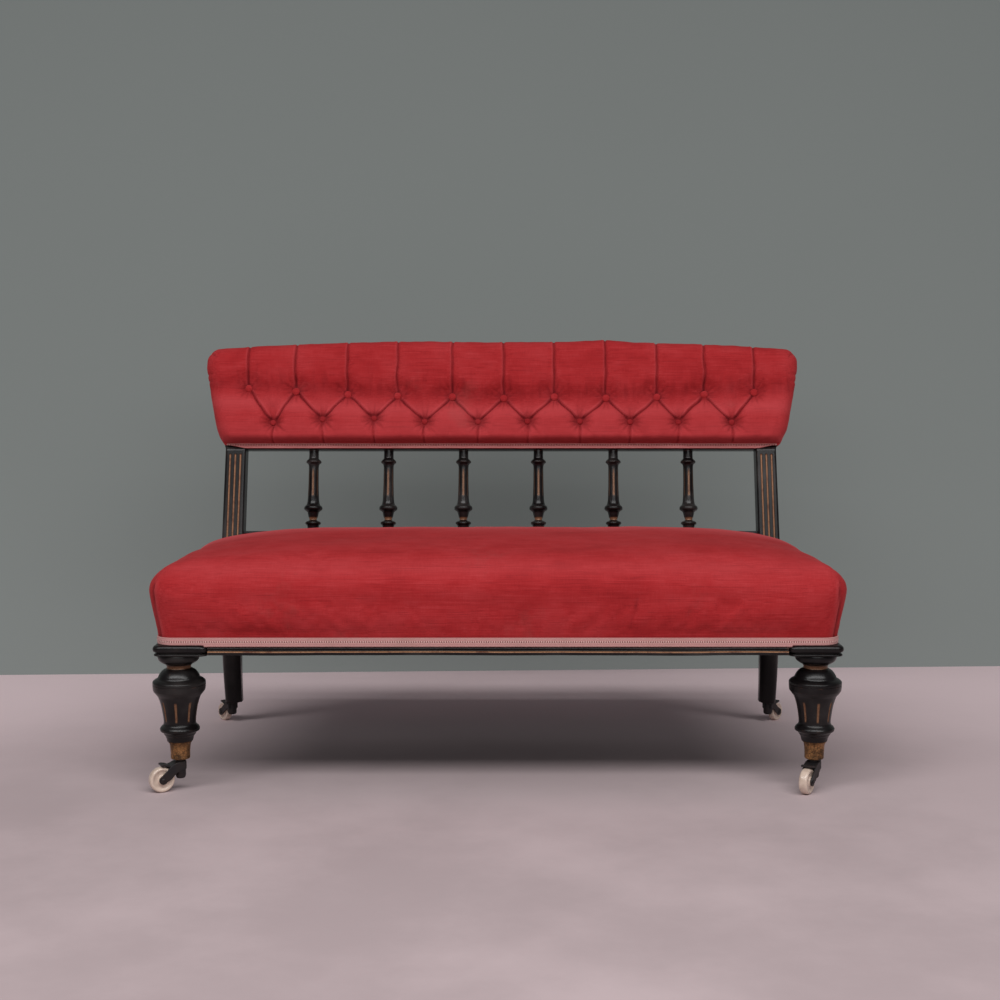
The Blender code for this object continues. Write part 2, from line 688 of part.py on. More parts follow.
def rear_tenon(side, overlap):
    """Corners of the rear rail's tenon in a back post."""
    low, high = tenon_heights()
    middle = sum(rear_rail_faces()) / 2
    inner = post_edges(RAIL_TOP)[1]
    xs = sorted((side * (inner - overlap), side * (inner + TENON_LENGTH)))
    return (xs[0], middle - TENON_THICKNESS / 2, low), (xs[1], middle + TENON_THICKNESS / 2, high)


def mortise(name, corners):
    """A cutter for a tenon, with the fitting gap all round."""
    return place(name, box_mesh(name, *grown(*corners, FIT_GAP)))


def block_plan(side):
    """The block's plan: square, with its outer front corner rounded for the cover."""
    half = BLOCK_SIDE / 2
    centre = half - BLOCK_CORNER_RADIUS
    corner = arc((centre, -centre), BLOCK_CORNER_RADIUS, -math.pi / 2, 0, 5)
    plan = corner + [(half, half), (-half, half), (-half, -half)]
    return [(side * x, y) for x, y in plan]


def arc(centre, radius, start, end, count):
    """Points on a circle between two angles."""
    angles = np.linspace(start, end, count)
    return [(centre[0] + radius * math.cos(a), centre[1] + radius * math.sin(a)) for a in angles]


def leg_outline():
    """Radius and height down the turned leg, its spigot and the pocket in its end."""
    head_radius = LEG_PROFILE_SHARES[0][1] * LEG_BULB_RADIUS
    head = CAP_UNDERSIDE + CAP_HEIGHT / 2
    turned = CAP_UNDERSIDE - LEG_SHOULDER
    outline = [(0, head), (head_radius, head)]
    outline += [(r * LEG_BULB_RADIUS, LEG_SHOULDER + t * turned) for t, r in LEG_PROFILE_SHARES]
    pocket = LEG_SPIGOT_END + STEM_POCKET_DEPTH
    outline += [(LEG_SPIGOT_TOP_RADIUS, LEG_SHOULDER), (LEG_SPIGOT_END_RADIUS, LEG_SPIGOT_END)]
    outline += [(STEM_POCKET_RADIUS, LEG_SPIGOT_END), (STEM_POCKET_RADIUS, pocket), (0, pocket)]
    return outline


def leg_radius(share):
    """The turned leg's radius at a share of its height."""
    shares = sorted(LEG_PROFILE_SHARES)
    return LEG_BULB_RADIUS * np.interp(share, [t for t, _ in shares], [r for _, r in shares])


def flute_rods(name, side):
    """Thin rods that cut the upright flutes in the leg's taper."""
    turned = CAP_UNDERSIDE - LEG_SHOULDER
    ends = []
    for k in range(LEG_FLUTES):
        angle = -math.pi / 2 + side * (k + FLUTE_TURN_SHARE) * 2 * math.pi / LEG_FLUTES
        pair = []
        for share in FLUTE_SPAN_SHARES:
            out = leg_radius(share) + LEG_FLUTE_RADIUS - LEG_FLUTE_DEPTH
            pair.append((out * math.cos(angle), out * math.sin(angle), LEG_SHOULDER + share * turned))
        ends.append(pair)
    return place(name, rod_mesh(name, ends, LEG_FLUTE_RADIUS, 6), location=(side * LEG_X, LEG_Y, 0))


def build_front_leg(name, side):
    """A turned leg with its moulded cap and the block that the rails are tenoned to."""
    place_at = (side * LEG_X, LEG_Y, 0)
    leg = place(name, turned_mesh(name, leg_outline()), EBONISED, location=place_at)
    turn(leg, LEG_STEPS)
    cap = place(name + "_cap", loft_mesh(name + "_cap", cap_rings()), location=place_at)
    rings = [[(x, y, z) for x, y in block_plan(side)] for z in (CAP_TOP - CAP_HEIGHT / 3, RAIL_TOP)]
    block = place(name + "_block", loft_mesh(name + "_block", rings), location=place_at)
    join(leg, cap, block)
    cut(leg, flute_rods(name + "_flutes", side))
    cut(leg, mortise(name + "_front_mortise", front_tenon(side, CUT_OVERRUN)))
    cut(leg, mortise(name + "_side_mortise", side_front_tenon(side, CUT_OVERRUN)))
    return leg


# Back posts and seat rails
def post_flutes(name, side, parent):
    """Rods that cut the three upright flutes in a back post's front face."""
    low = -POST_FLUTE_BELOW_PANEL - POST_FLUTE_LENGTH
    ends = []
    for k in (-1, 0, 1):
        pair = []
        for u in (-POST_FLUTE_BELOW_PANEL, low):
            middle = sum(post_edges(height_in_plane(u))) / 2
            pair.append((side * (middle + k * POST_FLUTE_SPACING), -POST_FRONT, u))
        ends.append(pair)
    return place(name, rod_mesh(name, ends, POST_FLUTE_DEPTH, 6), parent=parent)


def post_tenon(side, overlap):
    """Corners, as (x, forward, up), of the tenon that a post has in the crest rail."""
    middle = side * sum(panel_edges(UPPER_POST_LENGTH)) / 2
    forward = (FRAME_FRONT - POST_BACK) / 2
    half = BACK_TENON_THICKNESS / 2
    low = (middle - BACK_TENON_HEIGHT / 2, forward - half, UPPER_POST_LENGTH - overlap)
    return low, (middle + BACK_TENON_HEIGHT / 2, forward + half, UPPER_POST_LENGTH + BACK_TENON_LENGTH)


def cross_tenon(side, middle_height, forward, overlap):
    """Corners, as (x, forward, up), of a back rail's tenon in a post."""
    inner = post_inner_edge(middle_height)
    xs = sorted((side * (inner - overlap), side * (inner + BACK_TENON_LENGTH)))
    half_t, half_h = BACK_TENON_THICKNESS / 2, BACK_TENON_HEIGHT / 2
    low = (xs[0], forward - half_t, middle_height - half_h)
    return low, (xs[1], forward + half_t, middle_height + half_h)


def post_inner_edge(u):
    """The post's inner x at a place in the raked plane."""
    if u < 0:
        return post_edges(height_in_plane(u))[1]
    knots = [0, (POST_FRONT - FRAME_FRONT) / 4] + list(np.linspace(0, UPPER_POST_LENGTH, 7)[1:])
    return np.interp(u, knots, [panel_edges(knot)[1] for knot in knots])


def stay_rail_levels():
    """Underside and top of the stay rail in the raked plane."""
    top = -SPINDLE_LENGTH
    return top - STAY_RAIL_HEIGHT, top


def stay_tenon(side, overlap):
    """The stay rail's tenon."""
    middle = sum(stay_rail_levels()) / 2
    return cross_tenon(side, middle, FRAME_FRONT - STAY_RAIL_THICKNESS / 2, overlap)


def middle_tenon(side, overlap):
    """The middle rail's tenon."""
    return cross_tenon(side, MIDDLE_RAIL_HEIGHT / 2, (FRAME_FRONT - POST_BACK) / 2, overlap)


def plane_mortise(name, corners, parent):
    """A cutter for a tenon given in the raked plane."""
    return plane_box(name, *grown(*corners, FIT_GAP), parent)


def foot_pocket(name, side):
    """The blind hole in a post's foot for the head of a caster's stem."""
    x = sum(post_edges(POST_FOOT_HEIGHT)) / 2
    y = post_centre(POST_FOOT_HEIGHT)
    low, high = POST_FOOT_HEIGHT - CUT_OVERRUN, POST_FOOT_HEIGHT + STEM_POCKET_DEPTH
    ends = [((side * x, y, low), (side * x, y, high))]
    return place(name, rod_mesh(name, ends, STEM_POCKET_RADIUS, 10))


def build_post(name, side, plane):
    """A back post: a sabre leg under the seat that goes on as the upright of the back."""
    post = place(name, loft_mesh(name, post_rings(side)), EBONISED)
    tenon = plane_box(name + "_tenon", *post_tenon(side, POST_BACK), plane)
    join(post, tenon)
    cut(post, foot_pocket(name + "_pocket", side), post_flutes(name + "_flutes", side, plane))
    cut(post, mortise(name + "_side_mortise", side_rear_tenon(side, CUT_OVERRUN)))
    cut(post, mortise(name + "_rear_mortise", rear_tenon(side, CUT_OVERRUN)))
    cut(post, plane_mortise(name + "_stay_mortise", stay_tenon(side, CUT_OVERRUN), plane))
    cut(post, plane_mortise(name + "_middle_mortise", middle_tenon(side, CUT_OVERRUN), plane))
    return post


def lip_outline(face, outward):
    """The show-wood moulding under a seat rail, as (across, up) from the rail's outer face."""
    points = []
    for height_share, out_share in LIP_SHARES:
        across = face + outward * out_share * LIP_PROJECTION
        points.append((across, CAP_UNDERSIDE + height_share * LIP_HEIGHT))
    inner = face - outward * LIP_INNER_WIDTH
    points += [(inner, CAP_UNDERSIDE), (inner, LIP_TOP)]
    return points


def build_front_rail():
    """The front seat rail, notched over the leg caps and tenoned to the leg blocks."""
    end = LEG_X - BLOCK_SIDE / 2 - FIT_GAP
    low = (-end, FRAME_OUTER_Y, RAIL_UNDERSIDE)
    rail = place("front_rail", box_mesh("front_rail", low, (end, FRAME_OUTER_Y + RAIL_THICKNESS, RAIL_TOP)), BEECH)
    length = LEG_SPACING
    lip = outline_mesh("front_lip", [lip_outline(FRAME_OUTER_Y, -1)], length)
    lip = place("front_lip", lip, rotation=(math.pi / 2, 0, math.pi / 2))
    join(rail, lip)
    cut(rail, CAP_SPACES[-1], CAP_SPACES[1])
    for side in (-1, 1):
        corners = front_tenon(side, RAIL_THICKNESS / 2)
        join(rail, place("front_tenon", box_mesh("front_tenon", *corners)))
    return rail


def side_face_x(y):
    """The seat frame's outer x beside a side rail at a y."""
    front, rear = LEG_Y + BLOCK_SIDE / 2, post_front_face()
    share = (y - front) / (rear - front)
    return FRAME_OUTER_X + (SIDE_RAIL_OUTER_AT_POST - FRAME_OUTER_X) * share


def side_strip(name, side, section):
    """A strip along a side rail's tapering outer face with a section given as (inwards, up)."""
    front = LEG_Y + BLOCK_SIDE / 2 + FIT_GAP
    rear = post_front_face() + POST_DEPTH_SEAT / 4
    rings = []
    for y in (front, rear):
        rings.append([(side * (side_face_x(y) - inwards), y, up) for inwards, up in section])
    return place(name, loft_mesh(name, rings))


def build_side_rail(name, side):
    """A side seat rail that narrows to the back, with the same moulded lip as the front."""
    section = [(0, RAIL_UNDERSIDE), (RAIL_THICKNESS, RAIL_UNDERSIDE), (RAIL_THICKNESS, RAIL_TOP), (0, RAIL_TOP)]
    rail = side_strip(name, side, section)
    TOOLS.objects.unlink(rail)
    PIECES.objects.link(rail)
    rail.hide_render = False
    rail.display_type = "TEXTURED"
    rail.data.materials.append(BEECH)
    lip = side_strip(name + "_lip", side, [(-out, up) for out, up in lip_outline(0, 1)])
    join(rail, lip)
    cut(rail, CAP_SPACES[side], POST_SPACES[side])
    overlap = RAIL_THICKNESS
    join(rail, place(name + "_tenon", box_mesh(name + "_tenon", *side_front_tenon(side, overlap))))
    join(rail, place(name + "_rear_tenon", box_mesh(name + "_rear_tenon", *side_rear_tenon(side, overlap))))
    return rail


def build_rear_rail():
    """The rear seat rail between the posts."""
    front, rear = rear_rail_faces()
    reach = POST_OUTER_SEAT - POST_WIDTH_SEAT / 2
    rail = box_mesh("rear_rail", (-reach, front, RAIL_UNDERSIDE), (reach, rear, RAIL_TOP))
    rail = place("rear_rail", rail, BEECH)
    cut(rail, POST_SPACES[-1], POST_SPACES[1])
    for side in (-1, 1):
        corners = rear_tenon(side, RAIL_THICKNESS)
        join(rail, place("rear_tenon", box_mesh("rear_tenon", *corners)))
    return rail


def brace_top():
    """Height of the corner braces' upper faces."""
    return RAIL_TOP - BRACE_BELOW_RAIL_TOP


def front_brace_outline(side):
    """A brace's plan round the inner corner of a leg's block."""
    front = FRAME_OUTER_Y + RAIL_THICKNESS + FIT_GAP
    rear = LEG_Y + BLOCK_SIDE / 2 + FIT_GAP
    inner = LEG_X - BLOCK_SIDE / 2 - FIT_GAP
    far = rear + BRACE_LEG
    outline = [(inner - BRACE_LEG, front), (inner, front), (inner, rear)]
    for y in (rear, far):
        outline.append((side_face_x(y) - RAIL_THICKNESS - FIT_GAP, y))
    return [(side * x, y) for x, y in outline]


def rear_brace_outline(side):
    """A brace's plan round the inner corner of a back post."""
    rear = rear_rail_faces()[0] - FIT_GAP
    front = post_front_face() - FIT_GAP
    inner = post_edges(RAIL_TOP)[1] - FIT_GAP
    far = front - BRACE_LEG
    outline = [(inner - BRACE_LEG, rear), (inner, rear), (inner, front)]
    for y in (front, far):
        outline.append((side_face_x(y) - RAIL_THICKNESS - FIT_GAP, y))
    return [(side * x, y) for x, y in outline]


def build_braces():
    """Four glue blocks in the corners of the seat frame."""
    plans = {"front": front_brace_outline, "rear": rear_brace_outline}
    for end, plan in plans.items():
        for hand, side in SIDES.items():
            name = f"corner_brace_{end}_{hand}"
            mesh = outline_mesh(name, [plan(side)], BRACE_HEIGHT)
            place(name, mesh, BEECH, location=(0, 0, brace_top() - BRACE_HEIGHT / 2))


# Back frame
def spindle_places():
    """The x of each spindle."""
    return [(k - (SPINDLE_COUNT - 1) / 2) * SPINDLE_PITCH for k in range(SPINDLE_COUNT)]


def spindle_forward():
    """How far forward of the raked plane the spindles' axes lie."""
    return FRAME_FRONT - STAY_RAIL_THICKNESS / 2


def spindle_bores(name, base, direction, parent):
    """Blind bores for the spindles' tenons, up or down from a rail's face."""
    ends = []
    for x in spindle_places():
        start = (x, -spindle_forward(), base - direction * CUT_OVERRUN / 4)
        end = (x, -spindle_forward(), base + direction * (SPINDLE_TENON_LENGTH + FIT_GAP))
        ends.append((start, end))
    mesh = rod_mesh(name, ends, bore_radius(SPINDLE_TENON_RADIUS, SPINDLE_STEPS), SPINDLE_STEPS)
    return place(name, mesh, parent=parent)


def build_spindles(plane):
    """Six turned spindles between the stay rail and the middle rail."""
    length = SPINDLE_LENGTH - 2 * FIT_GAP
    top = length + SPINDLE_TENON_LENGTH
    outline = [(0, top), (SPINDLE_TENON_RADIUS, top), (SPINDLE_TENON_RADIUS, length)]
    outline += [(r * SPINDLE_RADIUS, t * length) for t, r in SPINDLE_PROFILE_SHARES]
    outline += [(SPINDLE_TENON_RADIUS, 0), (SPINDLE_TENON_RADIUS, -SPINDLE_TENON_LENGTH)]
    outline.append((0, -SPINDLE_TENON_LENGTH))
    mesh = turned_mesh("spindle", outline)
    mesh.materials.append(EBONISED)
    for k, x in enumerate(spindle_places()):
        spindle = bpy.data.objects.new(f"spindle_{k + 1}", mesh)
        PIECES.objects.link(spindle)
        spindle.parent = plane
        spindle.location = (x, -spindle_forward(), FIT_GAP - SPINDLE_LENGTH)
        turn(spindle, SPINDLE_STEPS)


def build_stay_rail(plane):
    """The low rail of the back, with a beaded front face, that carries the spindles."""
    low, high = stay_rail_levels()
    reach = POST_OUTER_KNEE - POST_WIDTH_KNEE / 2
    rear = FRAME_FRONT - STAY_RAIL_THICKNESS
    rail = plane_box("stay_rail", (-reach, rear, low), (reach, FRAME_FRONT, high), plane, EBONISED)
    beads = []
    for u in (low + STAY_RAIL_HEIGHT / 4, high - STAY_RAIL_HEIGHT / 4):
        beads.append(((-reach - CUT_OVERRUN, -FRAME_FRONT, u), (reach + CUT_OVERRUN, -FRAME_FRONT, u)))
    grooves = place("stay_grooves", rod_mesh("stay_grooves", beads, STAY_RAIL_BEAD_RADIUS, 6), parent=plane)
    cut(rail, POST_SPACES[-1], POST_SPACES[1], grooves, spindle_bores("stay_bores", high, -1, plane))
    for side in (-1, 1):
        join(rail, plane_box("stay_tenon", *stay_tenon(side, POST_DEPTH_SEAT), plane))


def build_middle_rail(plane):
    """The rail behind the pad's lower edge, which takes the spindles' heads."""
    levels = [0, (POST_FRONT - FRAME_FRONT) / 4, MIDDLE_RAIL_HEIGHT]
    right = [(post_inner_edge(u) - FIT_GAP, u) for u in levels]
    outline = right + [(-x, u) for x, u in reversed(right)]
    rail = plane_plate("middle_rail", [outline], -POST_BACK, FRAME_FRONT, plane, EBONISED)
    cut(rail, spindle_bores("middle_bores", 0, 1, plane))
    for side in (-1, 1):
        join(rail, plane_box("middle_tenon", *middle_tenon(side, POST_DEPTH_SEAT), plane))


def crest_top(x):
    """The crest rail's upper edge in the raked plane."""
    share = x / CREST_HALF_LENGTH
    return PANEL_HEIGHT - CREST_RISE * share**2


def build_crest_rail(plane):
    """The arched top rail of the back, seated on the posts."""
    xs = np.linspace(CREST_HALF_LENGTH, -CREST_HALF_LENGTH, 13)
    outline = [(x, crest_top(x)) for x in xs]
    outline += [(-CREST_HALF_LENGTH, UPPER_POST_LENGTH), (CREST_HALF_LENGTH, UPPER_POST_LENGTH)]
    rail = plane_plate("crest_rail", [outline], -POST_BACK, FRAME_FRONT, plane, BEECH)
    for side in (-1, 1):
        cut(rail, plane_mortise("crest_mortise", post_tenon(side, CUT_OVERRUN), plane))


# Casters
def swivel_frame(name, side, front):
    """Where a caster's stem stands, with X along its trail."""
    if front:
        x, y = side * LEG_X, LEG_Y
    else:
        x, y = side * sum(post_edges(POST_FOOT_HEIGHT)) / 2, post_centre(POST_FOOT_HEIGHT)
    return make_empty(name + "_swivel_axis", (x, y, 0), (0, 0, CASTER_TURNS[name]))


def caster_sizes(front):
    """Wheel radius, wheel width, trail, underside of the fixed fitting and crown height."""
    if front:
        level = CUP_UNDERSIDE - SWIVEL_GAP
        return FRONT_WHEEL_RADIUS, FRONT_WHEEL_WIDTH, FRONT_TRAIL, level, level - FRONT_CROWN_DROP
    level = POST_FOOT_HEIGHT - FIT_GAP - PLATE_THICKNESS - SWIVEL_GAP
    return REAR_WHEEL_RADIUS, REAR_WHEEL_WIDTH, REAR_TRAIL, level, level - REAR_CROWN_DROP


def build_cup(name, side):
    """A tapered brass cup on a front leg's spigot, with a hole for the stem in its floor."""
    inner_top = LEG_SPIGOT_TOP_RADIUS + FIT_GAP
    inner_end = LEG_SPIGOT_END_RADIUS + FIT_GAP
    floor = CUP_UNDERSIDE + CUP_FLOOR
    hole = STEM_RADIUS + SWIVEL_GAP
    rim = LEG_SHOULDER - FIT_GAP
    outline = [(inner_top, rim), (inner_top + CUP_WALL, rim), (inner_end + CUP_WALL, CUP_UNDERSIDE)]
    outline += [(hole, CUP_UNDERSIDE), (hole, floor), (inner_end, floor)]
    mesh = close_profile(turned_mesh(name, outline))
    cup = place(name, mesh, BRASS, location=(side * LEG_X, LEG_Y, 0))
    turn(cup, LEG_STEPS)


def build_plate(name, side):
    """A round screw plate under a back leg's foot."""
    top = POST_FOOT_HEIGHT - FIT_GAP
    hole = STEM_RADIUS + SWIVEL_GAP
    outline = [(hole, top), (PLATE_RADIUS, top), (PLATE_RADIUS, top - PLATE_THICKNESS), (hole, top - PLATE_THICKNESS)]
    mesh = close_profile(turned_mesh(name, outline))
    x, y = sum(post_edges(POST_FOOT_HEIGHT)) / 2, post_centre(POST_FOOT_HEIGHT)
    plate = place(name, mesh, IRON, location=(side * x, y, 0))
    turn(plate, LEG_STEPS)


def boss_outline(radius, level, head_base):
    """The fork's post, its stem and the riveted head over the fixed fitting."""
    base = radius - EAR_RADIUS / 4
    head = head_base + SWIVEL_GAP
    outline = [(0, head + STEM_HEAD_HEIGHT), (STEM_HEAD_RADIUS / 2, head + STEM_HEAD_HEIGHT)]
    outline += [(STEM_HEAD_RADIUS, head + STEM_HEAD_HEIGHT / 2), (STEM_HEAD_RADIUS, head)]
    outline += [(STEM_RADIUS, head), (STEM_RADIUS, level)]
    outline += [(r * BOSS_RADIUS, base + t * (level - base)) for t, r in BOSS_PROFILE_SHARES]
    outline.append((0, base))
    return outline


def fork_plans(sizes):
    """Side outlines, as (along the trail, up), of the arms and of the crown over the wheel."""
    radius, width, trail, level, crown = sizes
    axle = (trail, radius)
    rise = crown - radius
    outer = radius + CROWN_CLEARANCE + CROWN_THICKNESS
    arm = [(share * trail, radius + up * rise) for share, up in ARM_SHARES]
    arm += arc(axle, EAR_RADIUS, *EAR_ARC, 7)
    arm += [(share * trail, radius + up * rise) for share, up in ARM_BACK_SHARES]
    top = arc(axle, outer, *VISOR_OUTER_ARC, 4)
    top += [(share * trail, radius + up * rise) for share, up in CROWN_SHARES]
    top += arc(axle, radius + CROWN_CLEARANCE, *VISOR_INNER_ARC, 6)
    return arm, top


def build_fork(name, front, swivel):
    """A caster's horn: post, crown over the wheel and two arms with eyes for the axle pin."""
    sizes = caster_sizes(front)
    radius, width, trail, level, crown = sizes
    fixed_top = CUP_UNDERSIDE + CUP_FLOOR if front else POST_FOOT_HEIGHT - FIT_GAP
    fork = place(name, turned_mesh(name, boss_outline(radius, level, fixed_top)), IRON, swivel)
    turn(fork, BOSS_STEPS)
    arm_plan, crown_plan = fork_plans(sizes)
    half = width / 2 + WHEEL_SIDE_GAP
    crown_mesh = outline_mesh(name + "_crown", [crown_plan], 2 * half + ARM_THICKNESS)
    join(fork, place(name + "_crown", crown_mesh, parent=swivel, rotation=(math.pi / 2, 0, 0)))
    for hand, side in SIDES.items():
        arm = outline_mesh(name + "_arm_" + hand, [arm_plan], ARM_THICKNESS)
        at = (0, side * (half + ARM_THICKNESS / 2), 0)
        join(fork, place(name + "_arm_" + hand, arm, parent=swivel, location=at, rotation=(math.pi / 2, 0, 0)))
    reach = half + ARM_THICKNESS + CUT_OVERRUN
    ends = [((trail, -reach, radius), (trail, reach, radius))]
    cut(fork, place(name + "_eye", rod_mesh(name + "_eye", ends, AXLE_RADIUS + FIT_GAP, 10), parent=swivel))


def build_wheel(name, front, axle_frame):
    """A porcelain wheel with a raised hub and rounded tread."""
    radius, width = caster_sizes(front)[:2]
    half = width / 2
    tread = radius / math.cos(math.pi / WHEEL_STEPS)
    bore = AXLE_RADIUS + FIT_GAP
    side = [(r * tread, h * half) for r, h in WHEEL_PROFILE_SHARES]
    outline = [(bore, half)] + side + [(r, -h) for r, h in reversed(side)] + [(bore, -half)]
    mesh = close_profile(turned_mesh(name, outline, math.pi / WHEEL_STEPS))
    wheel = place(name, mesh, PORCELAIN, axle_frame, rotation=(math.pi / 2, 0, 0))
    turn(wheel, WHEEL_STEPS)


def build_axle(name, front, axle_frame):
    """A pin through the arms with a head at each end."""
    width = caster_sizes(front)[1]
    inner = width / 2 + WHEEL_SIDE_GAP + ARM_THICKNESS + FIT_GAP
    end = inner + AXLE_HEAD_LENGTH
    outline = [(0, end), (AXLE_HEAD_RADIUS, end), (AXLE_HEAD_RADIUS, inner), (AXLE_RADIUS, inner)]
    outline += [(r, -z) for r, z in reversed(outline)]
    axle = place(name, turned_mesh(name, outline), IRON, axle_frame, rotation=(math.pi / 2, 0, 0))
    turn(axle, BOSS_STEPS)


def build_casters():
    """Four casters: cups at the front, plates at the back, each with a fork, a wheel and a pin."""
    for end in ("front", "rear"):
        for hand, side in SIDES.items():
            name = f"{end}_{hand}"
            front = end == "front"
            if front:
                build_cup(name + "_caster_cup", side)
            else:
                build_plate(name + "_caster_plate", side)
            swivel = swivel_frame(name, side, front)
            radius, width, trail = caster_sizes(front)[:3]
            axle = make_empty(name + "_axle_axis", (trail, 0, radius), parent=swivel)
            build_fork(name + "_fork", front, swivel)
            build_wheel(name + "_wheel", front, axle)
            build_axle(name + "_axle", front, axle)


# Seat upholstery
def seat_lines():
    """The y of the cover's front and rear faces at its lower edge."""
    beyond = COVER_THICKNESS + COVER_GAP
    return FRAME_OUTER_Y - beyond, rear_rail_faces()[1] + beyond


def seat_outline(out):
    """Points round the seat at a distance outside the cover's lower edge, or inside it if negative."""
    front, rear = seat_lines()
    half = FRAME_OUTER_X + COVER_THICKNESS + COVER_GAP + out
    radius = max(SEAT_FRONT_CORNER_RADIUS + out, SEAT_FRONT_CORNER_RADIUS / 3)
    points = rounded_rectangle(
        (-half, front - out), (half, rear + out), radius,
        SEAT_CORNER_POINTS, SEAT_LONG_POINTS, SEAT_SHORT_POINTS,
    )
    narrowing = FRAME_OUTER_X - side_face_x(np.maximum(points[:, 1], LEG_Y + BLOCK_SIDE / 2))
    points[:, 0] *= 1 - narrowing / FRAME_OUTER_X
    return points


def bulge_fade(y):
    """How much of the sides' swell is left where the cover nears the back posts."""
    start = post_front_face() - BULGE_FADE_RUN
    return 1 - (1 - SIDE_FADE_SHARE) * smooth_step((y - start) / BULGE_FADE_RUN)


def rear_drop(y, z):
    """How far the cover falls to pass under the stay rail."""
    rear = seat_lines()[1]
    run = smooth_step((y - rear + SEAT_REAR_DROP_RUN) / SEAT_REAR_DROP_RUN)
    return SEAT_REAR_DROP * run * np.clip((z - COVER_UNDERSIDE) / SEAT_EDGE_HEIGHT, 0, 1)


def side_height(height_share):
    """Height over the cover's lower edge, with the share under the braid as tall as the braid."""
    levels = [0, BRAID_HEIGHT + FIT_GAP, SEAT_EDGE_HEIGHT]
    return np.interp(height_share, [0, BRAID_TOP_SHARE, 1], levels)


def seat_side_ring(height_share, bulge_share, inset):
    """A ring of points round the seat's side."""
    base = seat_outline(-inset)
    swollen = seat_outline(bulge_share * SEAT_BULGE - inset)
    points = base + (swollen - base) * bulge_fade(base[:, 1])[:, None]
    z = COVER_UNDERSIDE + side_height(height_share)
    lowered = inset * smooth_step(2 * height_share - 1)
    heights = z - lowered - rear_drop(points[:, 1], z)
    return np.column_stack([points, heights])


def seat_top_ring(inset_share, rise_share, lowered):
    """A ring of points over the seat's crown."""
    front, rear = seat_lines()
    points = seat_outline(-inset_share * (rear - front) / 2)
    z = COVER_UNDERSIDE + SEAT_EDGE_HEIGHT + rise_share * SEAT_CROWN
    heights = z - lowered - rear_drop(points[:, 1], z)
    return np.column_stack([points, heights])


def build_seat_cover():
    """The sprung seat's velvet cover, drawn in at its edges and fitted round the posts."""
    rings = [seat_side_ring(*shares, 0) for shares in SEAT_SIDE_SHARES]
    rings += [seat_top_ring(*shares, 0) for shares in SEAT_TOP_SHARES]
    cover = place("seat_cover", loft_mesh("seat_cover", rings, closed=False), VELVET)
    shell = cover.modifiers.new("cloth", "SOLIDIFY")
    shell.thickness = COVER_THICKNESS
    shell.offset = -1
    cut(cover, CAP_SPACES[-1], CAP_SPACES[1], POST_SPACES[-1], POST_SPACES[1])


def spring_top():
    """Height of the springs' upper coils."""
    return web_levels()[1] + FIT_GAP + SPRING_HEIGHT


def hessian_rings(lift):
    """Rings of the hessian's upper side, from its rim on the rails to the flat over the springs."""
    rim = RAIL_TOP + FIT_GAP + HESSIAN_THICKNESS + lift
    flat = spring_top() + FIT_GAP + HESSIAN_THICKNESS + lift
    inner = HESSIAN_SETBACK + RAIL_THICKNESS
    rings = []
    for inset, z in ((HESSIAN_SETBACK, rim), (inner, rim), (inner + HESSIAN_SLOPE_WIDTH, flat)):
        points = seat_outline(-inset)
        rings.append(np.column_stack([points, np.full(len(points), z)]))
    return rings


def build_seat_hessian():
    """Hessian tacked to the rails and raised over the springs."""
    cloth = place("seat_hessian", loft_mesh("seat_hessian", hessian_rings(0), closed=False), JUTE)
    shell = cloth.modifiers.new("cloth", "SOLIDIFY")
    shell.thickness = HESSIAN_THICKNESS
    shell.offset = -1
    cut(cloth, POST_SPACES[-1], POST_SPACES[1])


def build_seat_stuffing():
    """The stuffing between the hessian and the cover, rolled over the rails' edges."""
    inset = COVER_THICKNESS + STUFFING_GAP
    under = hessian_rings(STUFFING_GAP)
    start = seat_side_ring(*STUFFING_START_SHARES, inset)
    foot = start.copy()
    foot[:, 2] = under[0][0, 2]
    start[:, 2] = np.maximum(start[:, 2], foot[:, 2] + STUFFING_GAP)
    sides = [seat_side_ring(*shares, inset) for shares in SEAT_SIDE_SHARES[3:]]
    top = [seat_top_ring(*shares, inset) for shares in SEAT_TOP_SHARES]
    rings = [under[2], under[1], foot, start] + sides + top
    stuffing = place("seat_stuffing", loft_mesh("seat_stuffing", rings), HAIR)
    cut(stuffing, POST_SPACES[-1], POST_SPACES[1])


def web_levels():
    """Underside and top of the webbing below the rails."""
    top = RAIL_UNDERSIDE - FIT_GAP
    return top - WEB_THICKNESS, top


def web_places():
    """Middle lines of the long strips, as y, and of the cross strips, as x."""
    front, rear = LEG_Y + WEB_OUTER_STRIP_MARGIN, post_front_face() - WEB_OUTER_STRIP_MARGIN
    reach = LEG_X - CAP_SIDE / 2 - WEB_WIDTH / 2 - CLOTH_MARGIN
    return np.linspace(front, rear, WEB_LONG_STRIPS), np.linspace(-reach, reach, WEB_CROSS_STRIPS)


def build_webbing():
    """Jute webbing in both directions under the seat, as one lattice."""
    low, high = web_levels()
    long_ys, cross_xs = web_places()
    front = FRAME_OUTER_Y + LIP_INNER_WIDTH + FIT_GAP
    rear = rear_rail_faces()[1]
    strips = [((x - WEB_WIDTH / 2, front, low), (x + WEB_WIDTH / 2, rear, high)) for x in cross_xs]
    reach = WEB_HALF_LENGTH
    strips += [((-reach, y - WEB_WIDTH / 2, low), (reach, y + WEB_WIDTH / 2, high)) for y in long_ys]
    xs = sorted({x for corners in strips for x in (corners[0][0], corners[1][0])})
    ys = sorted({y for corners in strips for y in (corners[0][1], corners[1][1])})
    place("seat_webbing", lattice_mesh("seat_webbing", strips, xs, ys, low, high), JUTE)


